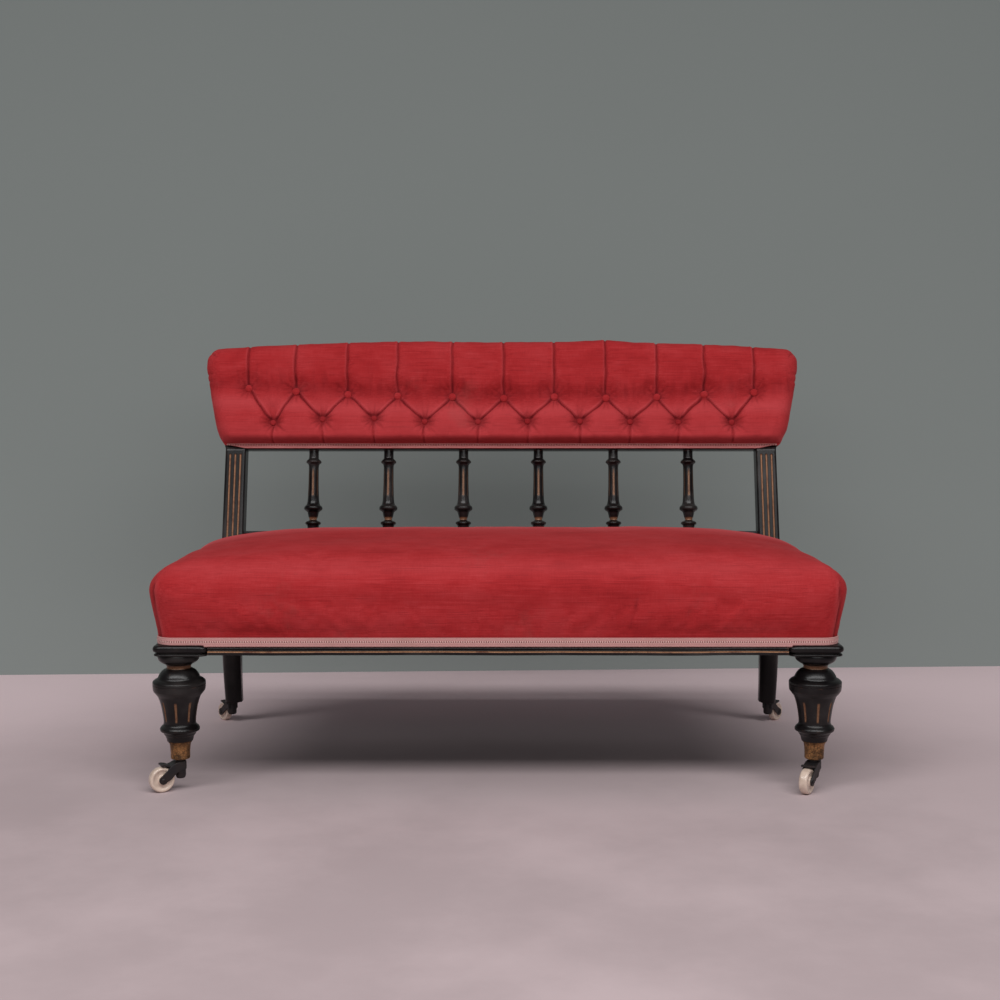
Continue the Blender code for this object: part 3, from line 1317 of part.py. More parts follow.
def lattice_mesh(name, strips, xs, ys, low, high):
    """A flat lattice of crossing strips, laid out on the lines where they start and end."""
    shape = bmesh.new()
    corners = {}

    def corner(i, j):
        if (i, j) not in corners:
            corners[i, j] = shape.verts.new((xs[i], ys[j], low))
        return corners[i, j]

    for i in range(len(xs) - 1):
        for j in range(len(ys) - 1):
            x, y = (xs[i] + xs[i + 1]) / 2, (ys[j] + ys[j + 1]) / 2
            if any(a[0] < x < b[0] and a[1] < y < b[1] for a, b in strips):
                shape.faces.new((corner(i, j), corner(i + 1, j), corner(i + 1, j + 1), corner(i, j + 1)))
    bmesh.ops.dissolve_limit(shape, angle_limit=math.radians(1), verts=shape.verts, edges=shape.edges)
    raised = bmesh.ops.extrude_face_region(shape, geom=list(shape.faces))
    tops = [item for item in raised["geom"] if isinstance(item, bmesh.types.BMVert)]
    bmesh.ops.translate(shape, vec=(0, 0, high - low), verts=tops)
    return finish_mesh(name, shape)


def spring_points():
    """Middle line of a waisted spring, as one unbroken wire."""
    steps = SPRING_CURLS * SPRING_CURL_POINTS
    points = []
    for k in range(steps + 1):
        t = k / steps
        waist = (2 * t - 1) ** 2
        radius = SPRING_WAIST_RADIUS + (SPRING_END_RADIUS - SPRING_WAIST_RADIUS) * waist
        angle = 2 * math.pi * k / SPRING_CURL_POINTS
        level = SPRING_WIRE_RADIUS + t * (SPRING_HEIGHT - 2 * SPRING_WIRE_RADIUS)
        points.append((radius * math.cos(angle), radius * math.sin(angle), level))
    return np.array(points)


def spring_gap(points):
    """Least distance between the surfaces of two curls of a spring."""
    apart = np.linalg.norm(points[:, None] - points[None], axis=2)
    index = np.arange(len(points))
    far = np.abs(index[:, None] - index[None]) > SPRING_CURL_POINTS / 2
    return apart[far].min() - 2 * SPRING_WIRE_RADIUS


def build_springs():
    """Waisted coil springs in rows, standing on the webbing under the hessian."""
    points = spring_points()
    gap = spring_gap(points)
    print(f"least gap of a spring to itself: {gap:.4f}, allowed {SPRING_LEAST_GAP:.4f}")
    long_ys, cross_xs = web_places()
    ys = (long_ys[:-1] + long_ys[1:]) / 2
    xs = cross_xs[1::2]
    base = web_levels()[1] + FIT_GAP
    for row, y in enumerate(ys[:SPRING_ROWS]):
        for column, x in enumerate(xs[:SPRING_COLUMNS]):
            name = f"spring_{row + 1}_{column + 1}"
            curve = bpy.data.curves.new(name, "CURVE")
            curve.dimensions = "3D"
            curve.bevel_depth = SPRING_WIRE_RADIUS
            curve.bevel_resolution = 1
            curve.use_fill_caps = True
            spline = curve.splines.new("POLY")
            spline.points.add(len(points) - 1)
            for point, place_at in zip(spline.points, points):
                point.co = (*place_at, 1)
            place(name, curve, SPRING_STEEL, location=(x, y, base))


def build_bottom_cloth():
    """Black cloth under the webbing, notched at the legs and posts."""
    top = web_levels()[0] - FIT_GAP
    front = FRAME_OUTER_Y + LIP_INNER_WIDTH + FIT_GAP
    rear = rear_rail_faces()[1]
    cap_inner, cap_rear = LEG_X - CAP_SIDE / 2 - CLOTH_MARGIN, LEG_Y + CAP_SIDE / 2 + CLOTH_MARGIN
    post_inner, post_front = post_edges(RAIL_UNDERSIDE)[1] - CLOTH_MARGIN, post_front_face() - CLOTH_MARGIN
    front_edge = side_face_x(cap_rear) - LIP_INNER_WIDTH - CLOTH_MARGIN
    rear_edge = side_face_x(post_front) - LIP_INNER_WIDTH - CLOTH_MARGIN
    right = [(cap_inner, front), (cap_inner, cap_rear), (front_edge, cap_rear)]
    right += [(rear_edge, post_front), (post_inner, post_front), (post_inner, rear)]
    outline = right + [(-x, y) for x, y in reversed(right)]
    mesh = outline_mesh("bottom_cloth", [outline], CLOTH_THICKNESS)
    place("bottom_cloth", mesh, BLACK_CLOTH, location=(0, 0, top - CLOTH_THICKNESS / 2))


def braid_offsets():
    """Inner and outer faces of the seat braid, outside the cover's lower edge."""
    inner = SEAT_SIDE_SHARES[1][1] * SEAT_BULGE + FIT_GAP
    return inner, inner + BRAID_THICKNESS


def build_seat_braid():
    """Gimp braid round the front and sides of the seat, and a strip along its back."""
    inner, outer = braid_offsets()
    top = COVER_UNDERSIDE + BRAID_HEIGHT
    mesh = band_mesh("seat_braid", seat_outline(outer), seat_outline(inner), COVER_UNDERSIDE, top)
    braid = place("seat_braid", mesh, GIMP)
    wide = FRAME_OUTER_X + SEAT_BULGE + CUT_OVERRUN
    low = (-wide, post_front_face() - FIT_GAP, COVER_UNDERSIDE - CUT_OVERRUN)
    high = (wide, seat_lines()[1] + CUT_OVERRUN, COVER_UNDERSIDE + BRAID_HEIGHT + CUT_OVERRUN)
    cut(braid, CAP_SPACES[-1], CAP_SPACES[1], place("braid_end", box_mesh("braid_end", low, high)))
    reach = post_edges(RAIL_UNDERSIDE)[1] - BRAID_THICKNESS
    rear = seat_lines()[1]
    low = (-reach, rear + inner, COVER_UNDERSIDE)
    high = (reach, rear + outer, COVER_UNDERSIDE + BRAID_HEIGHT)
    place("seat_braid_rear", box_mesh("seat_braid_rear", low, high), GIMP)


# Back upholstery, in the raked plane
def pad_half_width(u):
    """Half width of the back pad at a height in the raked plane."""
    share = np.clip(u / PAD_WIDEST_HEIGHT, 0, 1) ** PAD_WIDTH_CURVE_SHARE
    return PAD_HALF_WIDTH_BASE + (PAD_HALF_WIDTH_TOP - PAD_HALF_WIDTH_BASE) * share


def pad_top(x):
    """The pad's upper edge: flat in the middle, with falling ends."""
    return PAD_TOP - PAD_END_FALL * np.clip(np.abs(x) / PAD_HALF_WIDTH_TOP, 0, 1) ** 2.4


def upper_row(x):
    """Height of the upper row of buttons, which rises to the ends."""
    return UPPER_ROW + UPPER_ROW_END_RISE * np.clip(np.abs(x) / (BUTTON_PITCH * BUTTONS_UPPER / 2), 0, 1) ** 2


def button_places():
    """The (x, up) of every button, upper row first."""
    half = (BUTTONS_UPPER - 1) / 2
    upper = [((k - half) * BUTTON_PITCH, upper_row((k - half) * BUTTON_PITCH)) for k in range(BUTTONS_UPPER)]
    lower = [((k - half) * BUTTON_PITCH + BUTTON_PITCH / 2, LOWER_ROW) for k in range(BUTTONS_UPPER - 1)]
    return np.array(upper + lower)


def pleats():
    """The folds between buttons, and those from the outer rows to the pad's edges, as pairs of ends."""
    places = button_places()
    upper, lower = places[:BUTTONS_UPPER], places[BUTTONS_UPPER:]
    folds = []
    for k, low in enumerate(lower):
        folds += [(low, upper[k]), (low, upper[k + 1]), (low, (low[0], PAD_UNDERSIDE + BACK_BRAID_HEIGHT))]
    folds += [(high, (high[0], pad_top(high[0]))) for high in upper]
    return np.array([np.concatenate(fold) for fold in folds])


def fold_distance(points):
    """Least distance of each point to a fold."""
    lines = pleats()
    start, along = lines[:, :2], lines[:, 2:] - lines[:, :2]
    offset = points[:, None] - start[None]
    share = np.clip((offset * along).sum(2) / (along**2).sum(1), 0, 1)
    return np.linalg.norm(offset - share[..., None] * along, axis=2).min(1)


def puff_height(points):
    """How far the buttoned face stands forward, before its edges are rolled back."""
    buttons = np.linalg.norm(points[:, None] - button_places()[None], axis=2).min(1)
    tuft = np.exp(-((buttons / TUFT_RADIUS) ** 2))
    fold = np.exp(-((fold_distance(points) / PLEAT_WIDTH) ** 2))
    return PAD_PUFF - PLEAT_DEPTH * fold * (1 - tuft) - (PAD_PUFF - PAD_TUFT) * tuft


def pad_columns():
    """Column places as (x share to the last full column, share on to the edge)."""
    count = (BUTTONS_UPPER - 1) * PAD_COLUMNS_PER_PITCH
    inner = [(k / count * 2 - 1, 0.0) for k in range(count + 1)]
    edge = [(1.0, share) for share in PAD_EDGE_COLUMN_SHARES]
    return [(-a, b) for a, b in reversed(edge)] + inner + edge


def pad_rows(x):
    """Row heights at an x, from the lower edge over both rows of buttons to the top."""
    rows = [PAD_UNDERSIDE, PAD_UNDERSIDE + BACK_BRAID_HEIGHT]
    for target, shares in (
        (LOWER_ROW, PAD_LOWER_ROW_SHARES),
        (upper_row(x), PAD_BETWEEN_ROW_SHARES),
        (pad_top(x), PAD_UPPER_ROW_SHARES),
    ):
        base = rows[-1]
        rows += [base + (target - base) * share for share in shares]
    return rows


def round_corner(x, u):
    """Draws a point near an upper corner of the pad onto the round of the corner."""
    along = (abs(x) - pad_half_width(u) + PAD_CORNER_RADIUS) / PAD_CORNER_RADIUS
    up = (u - pad_top(x) + PAD_CORNER_RADIUS) / PAD_CORNER_RADIUS
    if along <= 0 or up <= 0:
        return x, u
    drawn = 1 - max(along, up) / math.hypot(along, up)
    return x - math.copysign(along * drawn * PAD_CORNER_RADIUS, x), u - up * drawn * PAD_CORNER_RADIUS


def pad_roll(x, u):
    """Goes from 0 at the pad's outline to 1 where its face is flat."""
    side = np.clip((pad_half_width(u) - abs(x)) / PAD_ROLL, 0, 1)
    top = np.clip((pad_top(x) - u) / PAD_ROLL, 0, 1)
    base = np.clip((u - PAD_UNDERSIDE - BACK_BRAID_HEIGHT) / PAD_ROLL, 0, 1)
    falls = [math.sqrt(1 - (1 - share) ** 2) for share in (side, top, base)]
    return falls[0] * falls[1] * falls[2]


def pad_grid():
    """Front face of the pad as rows of (x, -forward, up)."""
    half_reach = BUTTON_ROW_REACH
    columns = pad_columns()
    count = len(pad_rows(0.0))
    grid = np.zeros((count, len(columns), 3))
    for c, (share, beyond) in enumerate(columns):
        for r in range(count):
            x = share * half_reach
            u = pad_rows(x)[r]
            x = x + math.copysign(beyond * (pad_half_width(u) - half_reach), share)
            u = pad_rows(x)[r]
            grid[r, c] = (x, pad_roll(x, u), u)
    flat = grid.reshape(-1, 3)
    height = puff_height(flat[:, [0, 2]])
    flat[:, 1] = -(PAD_EDGE + (height - PAD_EDGE) * flat[:, 1])
    for point in flat:
        point[0], point[2] = round_corner(point[0], point[2])
    return grid


def pad_mesh(name):
    """The pad's body: buttoned front, rolled edges and a skirt back round the frame."""
    grid = pad_grid()
    rows, columns = grid.shape[:2]
    shape = bmesh.new()
    verts = [[shape.verts.new(point) for point in row] for row in grid]
    for r in range(rows - 1):
        for c in range(columns - 1):
            a, b, d, e = verts[r][c], verts[r][c + 1], verts[r + 1][c + 1], verts[r + 1][c]
            if a.co.y + d.co.y > b.co.y + e.co.y:
                shape.faces.new((a, b, d))
                shape.faces.new((a, d, e))
            else:
                shape.faces.new((a, b, e))
                shape.faces.new((b, d, e))
    rim = verts[0] + [row[-1] for row in verts[1:]]
    rim += verts[-1][-2::-1] + [row[0] for row in verts[-2:0:-1]]
    for level in (0, POST_BACK):
        ring = [shape.verts.new((vert.co.x, level, vert.co.z)) for vert in rim]
        for k, vert in enumerate(rim):
            after = (k + 1) % len(rim)
            shape.faces.new((vert, rim[after], ring[after], ring[k]))
        rim = ring
    shape.faces.new(rim)
    return finish_mesh(name, shape)


def frame_outline(grow):
    """The back frame's silhouette over the middle rail, let out by a clearance."""
    levels = np.linspace(0, UPPER_POST_LENGTH, 7)
    right = [(panel_edges(u)[0] + grow, u) for u in levels]
    right[-1] = (CREST_HALF_LENGTH + grow, UPPER_POST_LENGTH - grow)
    right[0] = (right[0][0], -CUT_OVERRUN)
    xs = np.linspace(CREST_HALF_LENGTH, -CREST_HALF_LENGTH, 13)
    top = [(x, crest_top(x) + grow) for x in xs]
    top[0] = (CREST_HALF_LENGTH + grow, crest_top(CREST_HALF_LENGTH) + grow)
    top[-1] = (-CREST_HALF_LENGTH - grow, crest_top(CREST_HALF_LENGTH) + grow)
    return right + top + [(-x, u) for x, u in reversed(right)]


def back_layers():
    """Depths, forward of the raked plane, of the faces of the back's hidden layers."""
    hessian = FRAME_FRONT + FIT_GAP
    stuffing = hessian + HESSIAN_THICKNESS + FIT_GAP
    cover = stuffing + FIRST_STUFFING_THICKNESS + FIT_GAP
    return hessian, stuffing, cover


def build_back_cover(plane):
    """The deep-buttoned velvet back with its two rows of covered buttons."""
    cover = place("back_cover", pad_mesh("back_cover"), VELVET, plane)
    recess = [frame_outline(FIT_GAP)]
    cut(cover, plane_plate("back_recess", recess, -POST_BACK - CUT_OVERRUN, back_layers()[2], plane))
    for k, (x, u) in enumerate(button_places()):
        shape = bmesh.new()
        bmesh.ops.create_uvsphere(shape, u_segments=BUTTON_SIDES, v_segments=6, radius=BUTTON_RADIUS)
        flatten = Matrix.Diagonal((1, 1, BUTTON_HEIGHT / BUTTON_RADIUS, 1))
        bmesh.ops.transform(shape, matrix=flatten, verts=shape.verts)
        button = place(f"button_{k + 1}", finish_mesh("button", shape), parent=plane)
        button.location = (x, -PAD_TUFT, u)
        button.rotation_euler = (math.pi / 2, 0, 0)
        join(cover, button)


def inner_sheet(name, margin, back, front, plane, material):
    """A layer inside the back, the frame's shape less a margin."""
    levels = [MIDDLE_RAIL_HEIGHT / 2, UPPER_POST_LENGTH]
    right = [(panel_edges(u)[0] - margin, u) for u in levels]
    xs = np.linspace(CREST_HALF_LENGTH - margin, -CREST_HALF_LENGTH + margin, 9)
    top = [(x, crest_top(x) - margin) for x in xs]
    outline = right + top + [(-x, u) for x, u in reversed(right)]
    plane_plate(name, [outline], back, front, plane, material)


def build_back_layers(plane):
    """Hessian and first stuffing under the buttoned cover."""
    hessian, stuffing, cover = back_layers()
    margin = FIRST_STUFFING_MARGIN
    inner_sheet("back_hessian", margin, hessian, hessian + HESSIAN_THICKNESS, plane, JUTE)
    inner_sheet("back_stuffing", margin, stuffing, stuffing + FIRST_STUFFING_THICKNESS, plane, HAIR)


def pad_rear_outline(margin):
    """The pad's outline less a margin, for what closes the back."""
    grid = pad_grid()
    right = grid[:, -1][:, [0, 2]]
    top = grid[-1, ::-1][:, [0, 2]]
    thin = np.concatenate([right[:1], right[2::2], top[1::3]])
    outline = [point for point in thin if point[0] > 0]
    centre = np.array([0, PAD_TOP / 2])
    drawn = [centre + (point - centre) * (1 - margin / np.abs(point - centre).max()) for point in outline]
    return [tuple(p) for p in drawn] + [(-p[0], p[1]) for p in reversed(drawn)]


def build_outside_back(plane):
    """The velvet outside back and the braid over its seam at the sides and top."""
    cover_back = -POST_BACK - 2 * FIT_GAP
    sheet_back = cover_back - OUTSIDE_BACK_THICKNESS
    outer = pad_rear_outline(FIT_GAP)
    plane_plate("outside_back", [outer], sheet_back, cover_back, plane, VELVET)
    inner = pad_rear_outline(RIM_BRAID_WIDTH)
    braid_front = sheet_back - FIT_GAP
    braid = plane_plate("back_rim_braid", [outer, inner], braid_front - BRAID_THICKNESS, braid_front, plane, GIMP)
    reach = PAD_HALF_WIDTH_TOP + CUT_OVERRUN
    low = (-reach, sheet_back - CUT_OVERRUN, -CUT_OVERRUN)
    high = (reach, sheet_back + CUT_OVERRUN, PAD_UNDERSIDE + RIM_BRAID_WIDTH + FIT_GAP)
    cut(braid, plane_box("rim_braid_end", low, high, plane))


def build_back_braid(plane):
    """Braid over the lower edge of the buttoned cover."""
    half = PAD_HALF_WIDTH_BASE - BACK_BRAID_SETBACK
    front = PAD_EDGE + FIT_GAP
    low = (-half, front, PAD_UNDERSIDE + FIT_GAP)
    high = (half, front + BRAID_THICKNESS, PAD_UNDERSIDE + BACK_BRAID_HEIGHT - FIT_GAP)
    plane_box("back_braid", low, high, plane, GIMP)


SIDES = {"left": -1, "right": 1}
CAP_SPACES = {side: cap_space(f"cap_space_{hand}", side) for hand, side in SIDES.items()}
POST_SPACES = {
    side: place(f"post_space_{hand}", loft_mesh(f"post_space_{hand}", post_rings(side, FIT_GAP)))
    for hand, side in SIDES.items()
}


def build_settee():
    """Models every piece in its place."""
    plane = make_empty("raked_plane", (0, PANEL_Y, PANEL_BASE_HEIGHT), (-RAKE, 0, 0))
    bpy.context.view_layer.update()
    for hand, side in SIDES.items():
        build_front_leg(f"front_leg_{hand}", side)
        build_post(f"back_post_{hand}", side, plane)
        build_side_rail(f"side_rail_{hand}", side)
    build_front_rail()
    build_rear_rail()
    build_braces()
    build_stay_rail(plane)
    build_spindles(plane)
    build_middle_rail(plane)
    build_crest_rail(plane)
    build_casters()
    build_webbing()
    build_springs()
    build_seat_hessian()
    build_seat_stuffing()
    build_seat_cover()
    build_seat_braid()
    build_bottom_cloth()
    build_back_layers(plane)
    build_back_cover(plane)
    build_outside_back(plane)
    build_back_braid(plane)


build_settee()
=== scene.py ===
"""The button-back settee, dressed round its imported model: turned and gilt ebonised wood, porcelain casters,
a sprung velvet seat and a deep-buttoned velvet back. Metres, +Z up, front towards -Y."""

import math

import bpy
import numpy as np
from bpy.props import FloatProperty, FloatVectorProperty, IntProperty, PointerProperty
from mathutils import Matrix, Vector


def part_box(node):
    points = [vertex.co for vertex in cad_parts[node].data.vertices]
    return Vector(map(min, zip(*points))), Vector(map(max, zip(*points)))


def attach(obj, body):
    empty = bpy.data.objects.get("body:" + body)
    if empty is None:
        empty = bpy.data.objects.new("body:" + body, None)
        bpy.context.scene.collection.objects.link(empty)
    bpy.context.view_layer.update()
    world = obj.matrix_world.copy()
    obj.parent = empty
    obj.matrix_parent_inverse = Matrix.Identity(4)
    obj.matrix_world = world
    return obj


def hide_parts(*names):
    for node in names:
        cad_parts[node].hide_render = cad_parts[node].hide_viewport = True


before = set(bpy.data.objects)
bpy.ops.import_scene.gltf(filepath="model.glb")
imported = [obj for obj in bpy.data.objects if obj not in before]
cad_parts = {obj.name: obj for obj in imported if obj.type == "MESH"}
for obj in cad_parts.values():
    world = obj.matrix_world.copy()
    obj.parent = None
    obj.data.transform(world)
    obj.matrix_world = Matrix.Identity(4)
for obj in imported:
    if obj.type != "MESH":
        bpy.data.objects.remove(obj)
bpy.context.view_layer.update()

bl_info = {
    "name": "Button-back settee",
    "version": (1, 0, 0),
    "blender": (4, 5, 0),
    "location": "View3D > Sidebar > Settee",
    "description": "Builds a button-back settee on casters, its velvet, braid and gilt wood",
    "category": "Add Mesh",
}

SIDES = {"left": -1, "right": 1}

# Seat frame
LEG_X, LEG_Y = 0.550, -0.2628
FRAME_X, FRAME_Y = 0.579, -0.2918
RAIL_LOW, RAIL_TOP, RAIL_DEEP = 0.2470, 0.3000, 0.0260
BLOCK_HALF = 0.0290
CAP_LOW, CAP_HIGH, CAP_HALF, CAP_ROUND, CAP_EDGE = 0.2394, 0.2586, 0.0475, 0.0120, 0.0056
CAP_X, CAP_Y, LEG_TOP = {-1: 0.5410, 1: 0.5450}, -0.2538, 0.2408
LIP_LOW, LIP_HIGH, LIP_OUT, LIP_IN = 0.2420, 0.2552, 0.0078, 0.0070
REAR_RAIL_BACK = 0.2162
GAP = 0.0003

# Front legs and casters
LEG_FOOT, LEG_BULB = 0.0868, 0.0454
SPIGOT_TOP, SPIGOT_END, SPIGOT_LOW = 0.0172, 0.0142, 0.0585
FLUTES, FLUTE_HALF, FLUTE_DEEP = 8, 0.0024, 0.0014
CUP_LOW, CUP_WALL, CUP_FLOOR = 0.0552, 0.0016, 0.0030
STEM_HOLE = 0.0045
CASTERS = {
    "front_left": (-0.5500, -0.2628, 210.0),
    "front_right": (0.5500, -0.2628, 239.0),
    "rear_left": (-0.5550, 0.256912, 131.0),
    "rear_right": (0.5550, 0.256912, 49.0),
}
FRONT_CASTER = {"radius": 0.0220, "width": 0.0160, "trail": 0.0340, "level": 0.0547, "crown": 0.0517, "head": 0.0587}
REAR_CASTER = {"radius": 0.0185, "width": 0.0140, "trail": 0.0290, "level": 0.0412, "crown": 0.0402, "head": 0.0447}
EAR, ARM_THICK, BOSS, AXLE, PIN_HEAD = 0.0072, 0.0030, 0.0090, 0.0024, 0.0038

# Back posts and back frame; u runs up the raked plane from the panel's base
RAKE = math.radians(11.0)
PANEL_Y, PANEL_Z, KNEE, FOOT, SWEEP = 0.2467, 0.5650, 0.3850, 0.0445, 0.0452
POST_UP = 0.1740
PLANE_FRONT, PLANE_BACK = 0.0060, 0.0200
STAY_LOW, STAY_HIGH = -0.19101, -0.16601
SPINDLES, SPINDLE_STEP, SPINDLE_LONG, SPINDLE_BULB = 6, 0.1526, 0.16601, 0.0183

# Seat upholstery
SEAT_HALF, SEAT_FRONT, SEAT_REAR = 0.5826, -0.2954, 0.2198
SEAT_LOW, SEAT_EDGE, SEAT_ROUND, SEAT_FALL, SEAT_FALL_RUN, SEAT_END_FALL = 0.2560, 0.1340, 0.0300, 0.0400, 0.1700, 0.0060
SEAT_SKEW, BACK_SKEW = 0.0022, 0.0024
POST_FACE, POST_TUCK = 0.1806, 0.5450
HESSIAN_THICK, HESSIAN_SETBACK, WEB_WIDTH = 0.0010, 0.0040, 0.0500
LINING_EDGE = np.array([(0.5009, -0.2845), (0.5009, -0.2137), (0.5698, -0.2137), (0.5576, 0.1790), (0.5269, 0.1790), (0.5269, 0.2162)])
GIMP_HIGH = 0.0160

# Back upholstery
PAD_BASE_HALF, PAD_HALF, PAD_WIDEST = 0.5605, 0.6006, 0.1650
PAD_FOOT, PAD_FOOT_IN, PAD_FOOT_RISE = 0.0400, 0.0065, 0.0070
PAD_LOW, PAD_HIGH, PAD_FALL, PAD_EDGE, PAD_ROLL, PAD_TUFT, PAD_SKEW = 0.0012, 0.2200, 0.0170, 0.0170, 0.0340, 0.0300, 0.0050
PAD_CORNER, PAD_INNER = 0.0255, 0.0129
BACK_GIMP = 0.0108

# How far each button sits from its even place, in millimetres: (right, up)
UPPER_WANDER = [(-3.3, 0.8), (-7.9, -0.8), (-3.3, -4.1), (-3.3, -5.0), (5.8, -5.0), (8.3, -7.4), (8.7, -5.0), (10.8, -9.0),
                (11.4, -9.4), (5.0, -7.5), (2.9, -7.0)]
LOWER_WANDER = [(-2.9, -8.0), (-3.3, -1.2), (-0.4, 0.0), (0.4, -6.2), (7.0, -6.6), (5.4, -5.4), (9.1, -5.4), (8.3, -6.2),
                (2.5, -7.0), (8.3, -8.0)]


def linear(red, green, blue):
    """A screen colour of 0 to 255 as the linear numbers that Blender takes."""
    share = np.array([red, green, blue]) / 255
    return tuple(float(c) for c in np.where(share <= 0.04045, share / 12.92, ((share + 0.055) / 1.055) ** 2.4))


def colour_prop(name, description, *screen):
    return FloatVectorProperty(name=name, description=description, subtype="COLOR", min=0, max=1, default=linear(*screen))


def size_prop(name, description, default, **more):
    return FloatProperty(name=name, description=description, default=default, unit="LENGTH", subtype="DISTANCE", **more)


class SetteeSizes(bpy.types.PropertyGroup):
    seat_swell: size_prop("Seat swell", "How far the seat's sides stand out over its lower edge", 0.0155)
    seat_crown: size_prop("Seat crown", "Rise of the seat's middle over its edge", 0.0340)
    back_puff: size_prop("Back puff", "How far the buttoned back stands forward of its frame", 0.0500)
    button_step: size_prop("Button step", "Distance between two buttons of a row", 0.1017)
    upper_row: size_prop("Upper row", "Height of the upper row of buttons up the back", 0.1080)
    lower_row: size_prop("Lower row", "Height of the lower row of buttons up the back", 0.0590)
    upper_rise: size_prop("Row rise", "How much the upper row rises to the ends", 0.0140)
    button_radius: size_prop("Button radius", "Radius of a covered button", 0.0088)
    pleat_deep: size_prop("Pleat depth", "Depth of the folds between two buttons", 0.0026)
    gimp_step: size_prop("Gimp step", "Distance between two loops of the braid", 0.0040)
    seat_spacing: size_prop("Seat mesh", "Distance between two points of the seat's cloth", 0.0055)
    back_spacing: size_prop("Back mesh", "Distance between two points of the back's cloth", 0.0022)
    buttons: IntProperty(name="Buttons", description="Buttons in the upper row", default=11, min=3)
    cloth_frames: IntProperty(name="Cloth frames", description="Steps of the cloth simulation", default=12, min=4)


class SetteeColours(bpy.types.PropertyGroup):
    velvet: colour_prop("Velvet", "Pile of the velvet", 164, 38, 41)
    # velvet_bright is the lighter nap, the painted highlights and the rosy tint of the back braid; velvet_dark is the
    # darker nap and the painted shade in folds, round the buttons and at their rims
    velvet_bright: colour_prop("Velvet sheen", "Velvet where the pile catches the light", 206, 86, 90)
    velvet_dark: colour_prop("Velvet folds", "Velvet in the depth of a fold", 98, 16, 22)
    gimp: colour_prop("Gimp", "Ground of the braid", 188, 130, 128)
    gimp_pale: colour_prop("Gimp loops", "Loops of the braid", 222, 186, 178)
    gimp_dark: colour_prop("Gimp gaps", "Gaps between the braid's loops", 120, 62, 62)
    black: colour_prop("Ebonised wood", "Polish over the wood", 15, 12, 13)
    worn: colour_prop("Worn wood", "Brown wood where the polish is rubbed", 98, 60, 42)
    gilt: colour_prop("Gilt", "Gilding in the flutes and coves", 146, 106, 78)
    beech: colour_prop("Beech", "Bare frame wood", 166, 128, 88)
    brass: colour_prop("Brass", "Aged brass of the cups", 168, 120, 74)
    iron: colour_prop("Iron", "Blackened iron of the casters", 36, 34, 36)
    porcelain: colour_prop("Porcelain", "Glaze of the wheels", 222, 200, 184)
    jute: colour_prop("Jute", "Hessian and webbing", 158, 130, 92)
    floor: colour_prop("Floor", "Studio floor", 192, 174, 176)
    wall: colour_prop("Wall", "Studio backdrop", 120, 125, 123)


# ---- Shapes worked out as whole arrays ----


def smooth_step(t):
    """Goes from 0 to 1 with level ends: 3 t squared less 2 t cubed."""
    t = np.clip(t, 0, 1)
    return t * t * (3 - 2 * t)


def bump(distance, width):
    """A bell: e to the minus square of the distance over the width."""
    return np.exp(-((distance / width) ** 2))


def eased(points, steps):
    """A smooth run through points: a cubic between each two, with the harmonic mean of the slopes beside a point."""
    points = np.asarray(points, float)
    gaps = np.maximum(np.linalg.norm(np.diff(points, axis=0), axis=1), 1e-9)[:, None]
    slopes = np.diff(points, axis=0) / gaps
    before, after = slopes[:-1], slopes[1:]
    same = before * after > 0
    middle = np.where(same, 2 * before * after / np.where(same, before + after, 1), 0)
    tangents = np.vstack([slopes[:1], middle, slopes[-1:]])
    t = np.linspace(0, 1, steps + 1)[:-1].reshape(1, -1, 1)
    start, end = points[:-1, None], points[1:, None]
    gap = gaps[:, None]
    run = start * (1 + 2 * t) * (1 - t) ** 2 + gap * tangents[:-1, None] * t * (1 - t) ** 2
    run = run + end * t * t * (3 - 2 * t) - gap * tangents[1:, None] * t * t * (1 - t)
    return np.vstack([run.reshape(-1, points.shape[1]), points[-1:]])


def profile(*runs, steps=5):
    """Smooth runs joined at corners into one profile."""
    return np.vstack([eased(run, steps)[: None if k == len(runs) - 1 else -1] for k, run in enumerate(runs)])


class Shell:
    """A closed skin: points, four-sided faces, flat caps, and marks that its material reads."""

    def __init__(self, points, quads, caps=(), **marks):
        self.points, self.quads, self.caps, self.marks = points, quads, [list(c) for c in caps], marks

    def carried(self, place):
        """The shell with each point passed through a function of whole arrays."""
        return Shell(place(self.points), self.quads, self.caps, **self.marks)


def strip_faces(first, second):
    """Faces between two rows of point numbers; a closed row repeats its first number."""
    return np.stack([first[:-1], first[1:], second[1:], second[:-1]], axis=1)


def skin(grid, closed_rows=True, closed_ends=False, **marks):
    """The faces of a grid of points: rows closed round, and capped at both ends or joined end to end."""
    rows, columns = grid.shape[:2]
    number = np.arange(rows * columns).reshape(rows, columns)
    if closed_rows:
        number = np.hstack([number, number[:, :1]])
    if closed_ends:
        number = np.vstack([number, number[:1]])
    quads = np.stack([number[:-1, :-1], number[:-1, 1:], number[1:, 1:], number[1:, :-1]], axis=-1).reshape(-1, 4)
    caps = [] if closed_ends or not closed_rows else [number[0, :-1][::-1], number[-1, :-1]]
    marks = {name: np.broadcast_to(value, (rows, columns)).reshape(-1) for name, value in marks.items()}
    return Shell(grid.reshape(-1, 3), quads, caps, **marks)


def lathe(outline, angles, cut=None, marks=None, closed=False):
    """An outline of (radius, height) turned round the upright axis; cut takes depth off the radius."""
    radius, height = outline[:, :1], outline[:, 1:]
    around = np.asarray(angles)[None]
    radii = radius - (cut(height, around) if cut else 0) + 0 * around
    grid = np.stack([radii * np.cos(around), radii * np.sin(around), height + 0 * radii], axis=-1)
    found = {name: mark(height, around) + 0 * radii for name, mark in (marks or {}).items()}
    return skin(grid, closed_ends=closed, **found)


def even_angles(count):
    return np.linspace(0, 2 * math.pi, count, endpoint=False)


